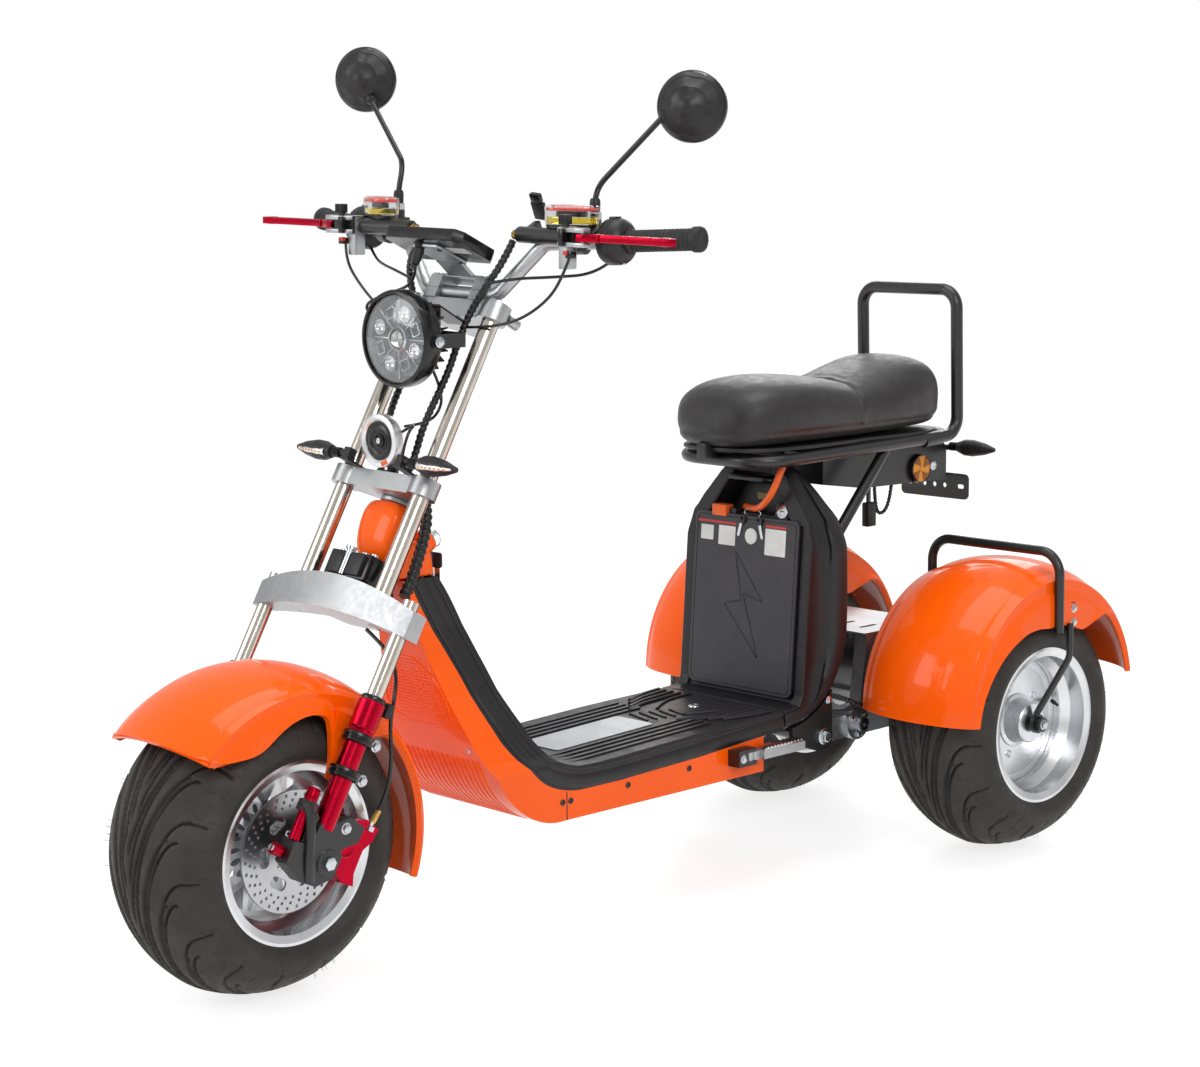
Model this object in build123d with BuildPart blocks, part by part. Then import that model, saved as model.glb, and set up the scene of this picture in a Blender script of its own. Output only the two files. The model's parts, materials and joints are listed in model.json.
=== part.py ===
from build123d import *
import os
from math import asin, atan2, cos, degrees, hypot, pi, radians, sin, tan

# ============================================================ driving dimensions (mm, degrees)
# The frame: X forwards, Y to the rider's left, Z up; X = 0 at the rear axle, Z = 0 on the floor.
WHEELBASE = 1431
REAR_TRACK = 544          # between the rear wheels' mid-planes
SEAT_GAP = 0.3            # between pieces that sit on each other with curved faces
RUN_GAP = 1.5             # between pieces that turn past each other

# wheels
TYRE_R = 230
TYRE_CROWN_HALF = 60      # half width of the crown arc
TYRE_CROWN_DROP = 14.7
TYRE_HALF = 114.5         # half of the section width
RIM_R = 140               # outer radius of the rim flange
RIM_HALF = 101            # mid-plane to the flange's outer face
RIM_LIP = 6
BEAD_R = 127
RIM_WALL = 5
WELL_DEPTH = 12
HUB_R = 34
AXLE_R = 8
SPOKE_COUNT = 10
SPOKE_W = 9
SPOKE_Y = 12              # mid-plane of the front spokes, towards the disc
SPOKE_DEPTH = 26
FRONT_HUB_HALF = 66
DISC_R = 92
DISC_Y = 84               # mid-plane of the brake disc
DISC_T = 4
REAR_DISC_Y = 38          # outer face of the rear wheel's web
REAR_HUB_Y = 72           # outer end of the rear hub
REAR_AXLE_Y = 78          # mid-plane to the seat of the axle's strut

# steering
RAKE = 29.5
PARKED_STEER = 3.2
STEER_LIMIT = 35
FORK_AHEAD = 22.5         # fork tubes lie this far ahead of the front axle
STEM_BEHIND = 44          # steering axis behind the fork tubes
STEM_D = 30
UPPER_TUBE_D = 28
UPPER_TUBE_Y = 86.5
LOWER_TUBE_D = 25
LOWER_TUBE_Y = 154
SLIDER_D = 33
COLLAR_D = 41
SLIDER_LOW = 42           # heights along the fork above the axle
SLIDER_HIGH = 240
CLAMP_HEIGHTS = (128, 182)
PLATE_LOW = 354
PLATE_HIGH = 408
BRIDGE_LOW = 556
BRIDGE_HIGH = 584

# handlebar
BAR_D = 22
BAR_HALF = 423
BAR_HEIGHT = 893          # centre of the bar at the risers, along the fork
RISER_RISE = 15           # from the top yoke up to the bar's centre
YOKE_T = 29
RISER_Y = 50
GRIP_D = 33
GRIP_L = 118

# body
FLOOR_HALF = 145
NECK_HALF = 40
SKIN = 4
BODY_BOTTOM = 192
FLOOR_TOP = 276
HOUSING_HALF = 150
BATTERY_HALF = 124
SEAT_HALF = 124
SEAT_BASE = 732

# rear end
FENDER_DROP = 25          # height of the crown over the edges
FENDER_SKIN = 3
GUARD_D = 17

YOKE_HIGH = BAR_HEIGHT - RISER_RISE
YOKE_LOW = YOKE_HIGH - YOKE_T
HOUSING_TOP = SEAT_BASE - 38
BATTERY_TOP = HOUSING_TOP - 94
NECK_TOP = TYRE_R + 360
FENDER_R = TYRE_R + 23
FENDER_Z = TYRE_R + 32     # centre of the fender's arc

os.makedirs("parts", exist_ok=True)

# ============================================================ shared places and helpers
crown_r = (TYRE_CROWN_HALF**2 + TYRE_CROWN_DROP**2) / (2 * TYRE_CROWN_DROP)
wheel_lean = asin(sin(radians(PARKED_STEER)) * sin(radians(RAKE)))
front_axle_z = (TYRE_R - crown_r) * cos(wheel_lean) + crown_r
FRONT_AXLE = Vector(WHEELBASE, 0, front_axle_z)
FORE = Vector(cos(radians(RAKE)), 0, sin(radians(RAKE)))
ALONG = Vector(-sin(radians(RAKE)), 0, cos(radians(RAKE)))
LEFT = Vector(0, 1, 0)
FORK = Plane(origin=FRONT_AXLE + FORE * FORK_AHEAD, x_dir=FORE, z_dir=ALONG)
STEM = Axis(FORK.from_local_coords(Vector(-STEM_BEHIND, 0, 0)), ALONG)
SIDE_VIEW = Plane.XZ      # sketches of side profiles: local X forwards, local Y up
well_inner = BEAD_R - WELL_DEPTH - RIM_WALL


def fork_at(fore, y, height):
    """A point ahead of the fork tubes' plane, to the left and up along the fork."""
    return FORK.from_local_coords(Vector(fore, y, height))


def rod(start, end, diameter, bore=0):
    """A straight round bar, or a tube with a bore, between two points."""
    way = Vector(*end) - Vector(*start)
    with BuildPart(Plane(origin=start, z_dir=way)) as bar:
        Cylinder(diameter / 2, way.length, align=(Align.CENTER, Align.CENTER, Align.MIN))
        if bore:
            Cylinder(
                bore / 2, way.length, align=(Align.CENTER, Align.CENTER, Align.MIN), mode=Mode.SUBTRACT
            )
    return bar.part


def tube(points, radius, diameter):
    """A round tube along straight runs joined by tangent arcs."""
    with BuildPart() as pipe:
        with BuildLine() as route:
            FilletPolyline(*points, radius=radius)
        with BuildSketch(Plane(origin=route.line @ 0, z_dir=route.line % 0)):
            Circle(diameter / 2)
        sweep()
    return pipe.part


def held_cord(name, points, diameter):
    """A cord held along its route, each bend as large as its two runs allow."""
    places = [Vector(*p) for p in points]
    runs = [end - start for start, end in zip(places, places[1:])]
    radii = [
        0.45 * min(before.length, after.length) / tan(radians(before.get_angle(after)) / 2)
        for before, after in zip(runs, runs[1:])
    ]
    cord = tube(points, radii, diameter)
    length = cord.volume / (pi * diameter**2 / 4)
    print(f"{name}: length {length:.0f} mm, bends of", [round(radius) for radius in radii])
    return cord


def turned(profile, centre, axis_dir=LEFT, radial=(0, 0, 1)):
    """A solid turned about an axis from (radius, distance along the axis) points."""
    frame = Plane(origin=centre, x_dir=radial, z_dir=Vector(*radial).cross(Vector(*axis_dir)))
    with BuildPart() as lathe:
        with BuildSketch(frame):
            with BuildLine():
                Polyline(*profile, close=True)
            make_face()
        revolve(axis=Axis(centre, axis_dir))
    return lathe.part


def strip(start, end, width):
    """Adds a straight strip between two points to the sketch being drawn."""
    run = (end[0] - start[0], end[1] - start[1])
    with Locations(((start[0] + end[0]) / 2, (start[1] + end[1]) / 2)):
        Rectangle(hypot(*run), width, rotation=degrees(atan2(run[1], run[0])))


def polar(radius, angle):
    return (radius * cos(radians(angle)), radius * sin(radians(angle)))


# ============================================================ wheels
def make_tyre(centre):
    edge = TYRE_R - TYRE_CROWN_DROP
    lip = RIM_R + 2
    seat_y = RIM_HALF - RIM_LIP - SEAT_GAP
    with BuildPart() as tyre:
        with BuildSketch(Plane(origin=centre, x_dir=(0, 0, 1), z_dir=(-1, 0, 0))):
            with BuildLine():
                crown = ThreePointArc((TYRE_R, 0), polar_arc_mid(edge), (edge, TYRE_CROWN_HALF))
                shoulder = TangentArc(crown @ 1, (TYRE_R - 52, TYRE_HALF - 7.5), tangent=crown % 1)
                wall = TangentArc(shoulder @ 1, (TYRE_R - 70, TYRE_HALF), tangent=shoulder % 1)
                bead = TangentArc(wall @ 1, (lip, RIM_HALF + 3), tangent=wall % 1)
                Polyline(
                    bead @ 1, (lip, seat_y), (BEAD_R + SEAT_GAP, seat_y), (BEAD_R + SEAT_GAP, 0), (TYRE_R, 0)
                )
            make_face()
            mirror(about=Plane.XZ)
        revolve(axis=Axis(centre, LEFT))
    return tyre.part


def polar_arc_mid(edge):
    """The point half way along the crown's arc."""
    half = asin(TYRE_CROWN_HALF / crown_r) / 2
    return (TYRE_R - crown_r + crown_r * cos(half), crown_r * sin(half))


def rim_barrel(centre):
    """The rim's barrel with two flanges, bead seats and a drop centre."""
    well = BEAD_R - WELL_DEPTH
    outer = [
        (RIM_R, RIM_HALF),
        (RIM_R, RIM_HALF - RIM_LIP),
        (BEAD_R, RIM_HALF - RIM_LIP),
        (BEAD_R, RIM_HALF - 32),
        (well, RIM_HALF - 46),
    ]
    inner = [
        (well_inner, RIM_HALF - 48),
        (BEAD_R - RIM_WALL, RIM_HALF - 34),
        (BEAD_R - RIM_WALL, RIM_HALF - 4),
        (RIM_R - 7, RIM_HALF),
    ]
    profile = outer + [(r, -y) for r, y in reversed(outer)] + [(r, -y) for r, y in reversed(inner)] + inner
    return turned(profile, centre)


def ring(centre, r_in, r_out, y_low, y_high):
    """A plain ring about a wheel's axle."""
    return turned([(r_in, y_low), (r_out, y_low), (r_out, y_high), (r_in, y_high)], centre)


SPOKES_LOW = SPOKE_Y - SPOKE_DEPTH / 2
SPOKES_HIGH = SPOKE_Y + SPOKE_DEPTH / 2
disc_face = DISC_Y - DISC_T / 2
with BuildPart() as front_rim:
    add(rim_barrel(FRONT_AXLE))
    add(ring(FRONT_AXLE, AXLE_R + SEAT_GAP, HUB_R, -FRONT_HUB_HALF, disc_face))
    add(ring(FRONT_AXLE, HUB_R - 1, HUB_R + 14, SPOKES_LOW, SPOKES_HIGH))
    add(ring(FRONT_AXLE, well_inner - 8, well_inner + 1, SPOKES_LOW, SPOKES_HIGH))
    with BuildSketch(Plane(origin=FRONT_AXLE + LEFT * SPOKES_LOW, x_dir=(1, 0, 0), z_dir=(0, 1, 0))):
        for i in range(SPOKE_COUNT):
            pitch = 360 / SPOKE_COUNT
            root = polar(HUB_R + 8, pitch * i)
            for lean in (-0.9, 0.9):
                strip(root, polar(well_inner - 4, pitch * (i + lean)), SPOKE_W)
    extrude(amount=SPOKE_DEPTH)

with BuildPart() as front_tyre:
    add(make_tyre(FRONT_AXLE))

with BuildPart() as brake_disc:
    with BuildSketch(Plane(origin=FRONT_AXLE + LEFT * disc_face, x_dir=(1, 0, 0), z_dir=(0, 1, 0))):
        Circle(DISC_R)
        Circle(AXLE_R + 8, mode=Mode.SUBTRACT)
        with PolarLocations(52, 6):
            SlotOverall(34, 16, rotation=90, mode=Mode.SUBTRACT)
    extrude(amount=DISC_T)

rear_wheels = {}
for side, name in ((1, "left"), (-1, "right")):
    rear_axle_end = Vector(0, side * REAR_TRACK / 2, TYRE_R)
    out = LEFT * side
    web = [
        (AXLE_R + SEAT_GAP, REAR_DISC_Y - 14),
        (well_inner + 1, REAR_DISC_Y - 6),
        (well_inner + 1, REAR_DISC_Y),
        (HUB_R + 10, REAR_DISC_Y),
        (HUB_R, REAR_DISC_Y + 8),
        (HUB_R, REAR_HUB_Y),
        (AXLE_R + SEAT_GAP, REAR_HUB_Y),
    ]
    with BuildPart() as rear_rim:
        add(rim_barrel(rear_axle_end))
        add(turned(web, rear_axle_end, out))
    rear_wheels[f"rear_rim_{name}"] = rear_rim.part
    rear_wheels[f"rear_tyre_{name}"] = make_tyre(rear_axle_end)

# ============================================================ front fork, all modelled straight ahead
FORK_MID = Plane(origin=FRONT_AXLE, x_dir=FORE, z_dir=LEFT)      # local X ahead, local Y down the fork


def fork_slab(height):
    """Sketch plane across the fork: local X ahead of the tubes, local Y to the left."""
    return FORK.offset(height)


stem_place = (-STEM_BEHIND, 0)
with BuildPart() as lower_plate:
    depth = LOWER_TUBE_D + 16
    bow = 14
    with BuildSketch(fork_slab(PLATE_LOW - bow)):
        with BuildLine():
            reach = LOWER_TUBE_Y + depth / 2
            front = ThreePointArc((depth / 2 - 12, -reach), (depth / 2 + 12, 0), (depth / 2 - 12, reach))
            Polyline(front @ 1, (-depth / 2, reach), (-depth / 2, -reach), front @ 0)
        make_face()
    extrude(amount=PLATE_HIGH - PLATE_LOW + bow)
    arch_cut = Plane(origin=fork_at(0, 0, PLATE_LOW), x_dir=LEFT, z_dir=FORE)
    with BuildSketch(arch_cut.offset(-60)):
        with BuildLine():
            under = ThreePointArc((-reach - 1, -bow), (0, 0), (reach + 1, -bow))
            Polyline(under @ 1, (reach + 1, -60), (-reach - 1, -60), under @ 0)
        make_face()
        with BuildLine():
            top = PLATE_HIGH - PLATE_LOW
            over = ThreePointArc((-reach - 1, top - 2 * bow), (0, top), (reach + 1, top - 2 * bow))
            Polyline(over @ 1, (reach + 1, top + 60), (-reach - 1, top + 60), over @ 0)
        make_face()
    extrude(amount=120, mode=Mode.SUBTRACT)
    with BuildSketch(fork_slab(PLATE_LOW + 4)):
        with BuildLine():
            Polyline((-STEM_BEHIND - 26, -34), (-STEM_BEHIND - 26, 34), (-5, 70), (-5, -70), close=True)
        make_face()
    extrude(amount=34)
    with BuildSketch(fork_slab(PLATE_LOW - 40)):
        with Locations((0, -LOWER_TUBE_Y), (0, LOWER_TUBE_Y)):
            Circle(LOWER_TUBE_D / 2 + SEAT_GAP)
    extrude(amount=200, mode=Mode.SUBTRACT)
    with BuildSketch(fork_slab(PLATE_LOW + 4)):
        with Locations((0, -UPPER_TUBE_Y), (0, UPPER_TUBE_Y)):
            Circle(UPPER_TUBE_D / 2 + SEAT_GAP)
    extrude(amount=200, mode=Mode.SUBTRACT)
    with BuildSketch(fork_slab(PLATE_LOW + 4)):
        with Locations(stem_place):
            Circle(STEM_D / 2)
    extrude(amount=BRIDGE_LOW - PLATE_LOW - 4 - SEAT_GAP)

with BuildPart() as fork_tubes:
    with BuildSketch(fork_slab(PLATE_LOW + 4)):
        with Locations((0, -UPPER_TUBE_Y), (0, UPPER_TUBE_Y)):
            Circle(UPPER_TUBE_D / 2)
    extrude(amount=YOKE_HIGH + 1 - PLATE_LOW - 4)
    with BuildSketch(fork_slab(SLIDER_LOW + 20)):
        with Locations((0, -LOWER_TUBE_Y), (0, LOWER_TUBE_Y)):
            Circle(LOWER_TUBE_D / 2)
    extrude(amount=PLATE_HIGH - 12 - SLIDER_LOW - 20)


def yoke_outline(ear, waist, nose):
    """Adds a fork yoke's outline: two ears round the upper tubes and a web back to the stem."""
    with Locations((0, -UPPER_TUBE_Y), (0, UPPER_TUBE_Y)):
        Circle(UPPER_TUBE_D / 2 + ear)
    with Locations(stem_place):
        Circle(STEM_D / 2 + ear)
    with BuildLine() as web:
        Polyline(
            (nose, -UPPER_TUBE_Y), (nose, UPPER_TUBE_Y), (-nose, UPPER_TUBE_Y), (-STEM_BEHIND - waist, 18),
            (-STEM_BEHIND - waist, -18), (-nose, -UPPER_TUBE_Y), close=True
        )
    add(make_face(web.line, mode=Mode.PRIVATE))


with BuildPart() as mid_bridge:
    with BuildSketch(fork_slab(BRIDGE_LOW)):
        yoke_outline(9, 14, 14)
        with Locations((0, -UPPER_TUBE_Y), (0, UPPER_TUBE_Y)):
            Circle(UPPER_TUBE_D / 2 + SEAT_GAP, mode=Mode.SUBTRACT)
    extrude(amount=BRIDGE_HIGH - BRIDGE_LOW)
    with BuildSketch(fork_slab(BRIDGE_HIGH)):
        with Locations(stem_place):
            RegularPolygon(19, 6)
    extrude(amount=9)

CLAMP_HALF = 18           # half length of the bar clamps along the travel
CLAMP_W = 26
with BuildPart() as top_yoke:
    with BuildSketch(fork_slab(YOKE_LOW)):
        yoke_outline(9, 14, 14)
        with Locations((0, -UPPER_TUBE_Y), (0, UPPER_TUBE_Y)):
            Circle(UPPER_TUBE_D / 2 + SEAT_GAP, mode=Mode.SUBTRACT)
    extrude(amount=YOKE_HIGH - YOKE_LOW)
    with BuildSketch(fork_slab(YOKE_HIGH - 1)):
        with Locations((0, -RISER_Y), (0, RISER_Y)):
            Rectangle(2 * CLAMP_HALF, CLAMP_W)
    extrude(amount=BAR_HEIGHT - YOKE_HIGH + 1 - SEAT_GAP)
    bar_bore = rod(fork_at(0, -90, BAR_HEIGHT), fork_at(0, 90, BAR_HEIGHT), BAR_D + 2 * SEAT_GAP)
    add(bar_bore, mode=Mode.SUBTRACT)
    for side in (1, -1):
        add(rod(fork_at(-18, side * (UPPER_TUBE_Y + 12), (YOKE_LOW + YOKE_HIGH) / 2),
                fork_at(-40, side * (UPPER_TUBE_Y + 14), (YOKE_LOW + YOKE_HIGH) / 2), 17))


# sliders with their collars, and the damper cans that stand ahead of them
CAN_D = 20
CAN_FORE = 38
CAN_Y = LOWER_TUBE_Y - 4
CAN_LOW = 12
CAN_HIGH = 92
with BuildPart() as fork_sliders:
    for side in (1, -1):
        leg = fork_at(0, side * LOWER_TUBE_Y, SLIDER_LOW)
        bore = LOWER_TUBE_D / 2 + SEAT_GAP
        length = SLIDER_HIGH - SLIDER_LOW
        add(turned(
            [
                (0, 0), (SLIDER_D / 2, 0), (SLIDER_D / 2, length - 48), (COLLAR_D / 2, length - 42),
                (COLLAR_D / 2, length - 2), (COLLAR_D / 2 - 2, length), (bore, length), (bore, 18), (0, 18),
            ],
            leg, ALONG, FORE,
        ))
        can = fork_at(CAN_FORE, side * CAN_Y, CAN_LOW)
        high = CAN_HIGH - CAN_LOW
        add(turned(
            [
                (0, 0), (CAN_D / 2, 0), (CAN_D / 2, high - 16), (CAN_D / 2 - 1.5, high - 14),
                (CAN_D / 2, high - 12), (CAN_D / 2 - 1, high - 4), (CAN_D / 2 - 4, high), (0, high),
            ],
            can, ALONG, FORE,
        ))
        add(rod(fork_at(CAN_FORE + 14, side * CAN_Y, CAN_LOW - 22),
                fork_at(CAN_FORE + 34, side * CAN_Y, CAN_LOW - 22), 17))

# cast legs below the sliders, with the axle lugs, the can's arm and the two clamps of the fender
LEG_IN = LOWER_TUBE_Y - 13
LEG_OUT = LOWER_TUBE_Y + 13
CALIPER_OUT = LEG_IN - 12 # outer face of the caliper, where the left leg's lug lies on it
with BuildPart() as leg_castings:
    with BuildSketch(FORK_MID.offset(LEG_IN)):
        with BuildLine():
            axle_x = 0
            tube_x = FORK_AHEAD
            Polyline(
                (tube_x - 17, -SLIDER_LOW - 6), (tube_x + 17, -SLIDER_LOW - 6), (tube_x + 20, -14),
                (tube_x + CAN_FORE + 13, -10), (tube_x + CAN_FORE + 13, 24), (tube_x + 10, 40),
                (tube_x - 18, 38), (-22, 16), (-22, -16), close=True
            )
        make_face()
    extrude(amount=LEG_OUT - LEG_IN)
    fillet(leg_castings.edges().filter_by(Axis(FORK_MID.origin, LEFT)), 5)
    with BuildSketch(FORK_MID.offset(LEG_IN + 4)):
        strip((tube_x + 2, -36), (tube_x + CAN_FORE, -CAN_LOW - 50), 13)
    extrude(amount=14)
    add(rod(fork_at(CAN_FORE, CAN_Y, CAN_LOW + 43), fork_at(CAN_FORE, CAN_Y, CAN_LOW + 58), CAN_D + 11))
    add(rod(fork_at(CAN_FORE, CAN_Y, CAN_LOW), fork_at(CAN_FORE, CAN_Y, 200), CAN_D + 2 * SEAT_GAP),
        mode=Mode.SUBTRACT)
    add(rod(fork_at(0, LOWER_TUBE_Y, SLIDER_LOW), fork_at(0, LOWER_TUBE_Y, 300), SLIDER_D + 2 * SEAT_GAP),
        mode=Mode.SUBTRACT)
    add(rod(fork_at(CAN_FORE + 14, CAN_Y, CAN_LOW - 22), fork_at(CAN_FORE + 60, CAN_Y, CAN_LOW - 22), 18),
        mode=Mode.SUBTRACT)
    mirror(about=Plane.XZ)
    # axle, and the caliper's lug on the disc side
    add(rod(FRONT_AXLE - LEFT * LEG_OUT, FRONT_AXLE + LEFT * (LEG_OUT + 4), AXLE_R * 2))
    with BuildSketch(FORK_MID.offset(CALIPER_OUT)):
        with BuildLine():
            Polyline(
                (10, -44), (-34, -76), (-66, -70), (-64, -46), (-42, -30), (-20, 10), (14, 14), close=True
            )
        make_face()
    extrude(amount=LEG_IN + 2 - CALIPER_OUT)

CALIPER_IN = DISC_Y - 26
CALIPER_FACE = 118        # beyond this plane the caliper may stand over the rim's edge


def caliper_outline():
    """A closed outline of the brake caliper in side view."""
    with BuildLine() as outline:
        Polyline(
            (-52, -74), (-78, -84), (-106, -78), (-104, -58), (-92, -40), (-92, -4),
            (-100, 14), (-74, 16), (-52, 0), (-46, -30), close=True
        )
    return make_face(outline.line, mode=Mode.PRIVATE)


with BuildPart() as brake_caliper:
    with BuildSketch(FORK_MID.offset(CALIPER_IN)):
        add(caliper_outline())
        Circle(well_inner - 4, mode=Mode.INTERSECT)
    extrude(amount=CALIPER_FACE - CALIPER_IN)
    with BuildSketch(FORK_MID.offset(DISC_Y - DISC_T / 2 - RUN_GAP)):
        Circle(DISC_R + RUN_GAP)
    extrude(amount=DISC_T + 2 * RUN_GAP, mode=Mode.SUBTRACT)
    with BuildSketch(FORK_MID.offset(CALIPER_FACE)):
        add(caliper_outline())
    extrude(amount=CALIPER_OUT - SEAT_GAP - CALIPER_FACE)

# ============================================================ front fender
FRONT_FENDER_R = 262
FRONT_FENDER_HALF = 112
FRONT_FENDER_EDGE = 184   # radius of the skirt's lowest edge
FRONT_START = 44          # degrees above the level, ahead of the axle
FRONT_END = 200
TAB_Y = 124               # outer face of the fender's tabs at the fork legs


def crowned_arch(centre, crown, half, edge, skin, start, end):
    """A crowned shell turned about a wheel's axle between two angles, its walls reaching down to edge."""
    shoulder = crown - FENDER_DROP
    with BuildPart() as arch:
        with BuildSketch(Plane(origin=centre, x_dir=(1, 0, 0), z_dir=(0, 0, 1))):
            with BuildLine():
                outer = ThreePointArc((shoulder, -half), (crown, 0), (shoulder, half))
                inner = ThreePointArc(
                    (shoulder - skin, half - skin), (crown - skin, 0), (shoulder - skin, -half + skin)
                )
                Polyline(outer @ 1, (edge, half), (edge, half - skin), inner @ 0)
                Polyline(inner @ 1, (edge, -half + skin), (edge, -half), outer @ 0)
            make_face()
        revolve(axis=Axis(centre, -LEFT), revolution_arc=end - start)
    return arch.part.rotate(Axis(centre, -LEFT), start)


with BuildPart() as front_fender:
    add(crowned_arch(
        FRONT_AXLE, FRONT_FENDER_R, FRONT_FENDER_HALF, FRONT_FENDER_EDGE, FENDER_SKIN, FRONT_START, FRONT_END
    ))
    side_cut = FRONT_FENDER_R - FENDER_DROP - 14
    with BuildSketch(Plane(origin=FRONT_AXLE, x_dir=(1, 0, 0), z_dir=(0, -1, 0))):
        with BuildLine():
            lip = Line(polar(FRONT_FENDER_R, FRONT_START - 2), polar(side_cut, FRONT_START + 1))
            dip = Spline(
                lip @ 1, polar(196, 56), polar(186, 64), polar(194, 76), polar(206, 90), polar(204, 102),
            )
            Polyline(dip @ 1, polar(197, 107), polar(197, 128), polar(side_cut, 138))
            back = CenterArc((0, 0), side_cut, 138, FRONT_END - 136)
            Polyline(back @ 1, (0, -60), lip @ 0)
        make_face()
    extrude(amount=200, both=True, mode=Mode.SUBTRACT)
    for side in (1, -1):
        tab_face = Plane(origin=FRONT_AXLE + LEFT * side * TAB_Y, x_dir=(1, 0, 0), z_dir=(0, -1, 0))
        for low, depth in ((116, 3), (200, TAB_Y - FRONT_FENDER_HALF + 2)):
            with BuildSketch(tab_face):
                with BuildLine():
                    Polyline(polar(low, 107), polar(low, 126), polar(215, 123), polar(215, 106), close=True)
                make_face()
            extrude(amount=side * depth)

with BuildPart() as fender_clamps:
    for side in (1, -1):
        for height in CLAMP_HEIGHTS:
            add(rod(fork_at(0, side * LOWER_TUBE_Y, height - 7), fork_at(0, side * LOWER_TUBE_Y, height + 7),
                    SLIDER_D + 12))
            with BuildSketch(fork_slab(height - 6)):
                near = TAB_Y + SEAT_GAP
                with Locations((-10, side * (near + LOWER_TUBE_Y) / 2)):
                    Rectangle(14, LOWER_TUBE_Y - near)
            extrude(amount=12)
        add(rod(fork_at(0, side * LOWER_TUBE_Y, 0), fork_at(0, side * LOWER_TUBE_Y, 240),
                SLIDER_D + 2 * SEAT_GAP), mode=Mode.SUBTRACT)


# ============================================================ lamps, horn and indicators on the fork
AHEAD = Vector(1, 0, 0)
LAMP_R = 73
LAMP_FRONT = fork_at(90, 0, YOKE_LOW - 79.5)
LAMP_DEPTH = 62
bracket_t = 3
strap_x = LAMP_FRONT.X - LAMP_DEPTH - 12
with BuildPart() as headlight:
    add(turned(
        [
            (0, -LAMP_DEPTH), (28, -LAMP_DEPTH), (40, -50), (58, -44), (LAMP_R - 2, -30), (LAMP_R, -26),
            (LAMP_R, 0), (LAMP_R - 5, 3), (LAMP_R - 5, -8), (LAMP_R - 12, -16), (0, -16),
        ],
        LAMP_FRONT, AHEAD,
    ))
    for side in (1, -1):
        ear = LAMP_FRONT + Vector(-16, side * LAMP_R, 0)
        add(rod(ear - Vector(0, side * 4, 0), ear + Vector(0, side * 9, 0), 14))
        with BuildSketch(SIDE_VIEW.offset(-side * (LAMP_R + 3) - bracket_t / 2)):
            strip((LAMP_FRONT.X - 16, LAMP_FRONT.Z), (strap_x, LAMP_FRONT.Z), 22)
            with Locations((LAMP_FRONT.X - 16, LAMP_FRONT.Z)):
                Circle(11)
        extrude(amount=bracket_t)
    with BuildSketch(Plane(origin=(strap_x, 0, LAMP_FRONT.Z), x_dir=LEFT, z_dir=AHEAD)):
        Rectangle(2 * LAMP_R + 6 + bracket_t, 22)
        with Locations((0, 22)):
            Rectangle(44, 50)
    extrude(amount=bracket_t)
    with BuildSketch(fork_slab(YOKE_LOW - SEAT_GAP)):
        with Locations((20, 0)):
            Rectangle(66, 44)
    extrude(amount=-bracket_t)

with BuildPart() as headlight_lens:
    add(turned(
        [
            (0, -15.7), (LAMP_R - 12.5, -15.7), (LAMP_R - 5.5, -8), (LAMP_R - 5.5, 1), (LAMP_R - 16, 7),
            (LAMP_R - 36, 11), (0, 13),
        ],
        LAMP_FRONT, AHEAD,
    ))

HORN_R = 40
HORN_FRONT = fork_at(43, 0, BRIDGE_HIGH + 37.4)
with BuildPart() as horn:
    add(turned(
        [
            (0, -30), (16, -30), (20, -20), (HORN_R - 4, -16), (HORN_R, -12), (HORN_R, -2), (HORN_R - 3, 0),
            (HORN_R - 8, 0), (HORN_R - 10, -5), (12, -9), (10, -5), (0, -5),
        ],
        HORN_FRONT, AHEAD,
    ))
    with BuildSketch(fork_slab(BRIDGE_HIGH)):
        with Locations((0, 0)):
            Rectangle(26, 24)
    extrude(amount=3)
    with BuildSketch(SIDE_VIEW.offset(-10)):
        foot = fork_at(-8, 0, BRIDGE_HIGH + 2)
        strip((foot.X, foot.Z), (HORN_FRONT.X - 28, HORN_FRONT.Z), 6)
    extrude(amount=20)

with BuildPart() as front_indicators:
    for side in (1, -1):
        with BuildSketch(fork_slab(BRIDGE_HIGH)):
            with Locations((24, side * 60)):
                Rectangle(44, 18)
        extrude(amount=3)
        with BuildSketch(fork_slab(BRIDGE_HIGH + 2)):
            with Locations((38, side * 60)):
                Rectangle(14, 14)
        extrude(amount=18)
        add(rod(fork_at(38, side * 60, BRIDGE_HIGH + 13), fork_at(38, side * 106, BRIDGE_HIGH + 11), 11))
        add(turned(
            [(0, 0), (10, 3), (15, 18), (15.5, 36), (11, 62), (4, 84), (0, 88)],
            fork_at(38, side * 96, BRIDGE_HIGH + 11), LEFT * side,
        ))

# ============================================================ handlebar and its controls
BAR_MID = fork_at(0, 0, BAR_HEIGHT)


def bar_point(ahead, left, up):
    """A point ahead of, to the left of and above the middle of the handlebar."""
    return BAR_MID + Vector(ahead, left, up)


BAR_KNEE = bar_point(-26, 155, 82)
BAR_END = bar_point(-78, BAR_HALF, 98)
bar_bend = bar_point(0, 77, 0)


def bar_at(y):
    """A point on the left outer run of the handlebar."""
    return BAR_KNEE + (BAR_END - BAR_KNEE) * ((y - BAR_KNEE.Y) / (BAR_HALF - BAR_KNEE.Y))


OUTBOARD = (bar_at(BAR_HALF) - bar_at(155)).normalized()


def bar_slab(y):
    """Sketch plane across the left outer run of the handlebar: local X ahead, local Y down."""
    return Plane(origin=bar_at(y), x_dir=(1, 0.19, 0), z_dir=OUTBOARD)


with BuildPart() as handlebar:
    left_half = [BAR_END, BAR_KNEE, bar_bend]
    add(tube(left_half + [Vector(p.X, -p.Y, p.Z) for p in reversed(left_half)], 30, BAR_D))

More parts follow.
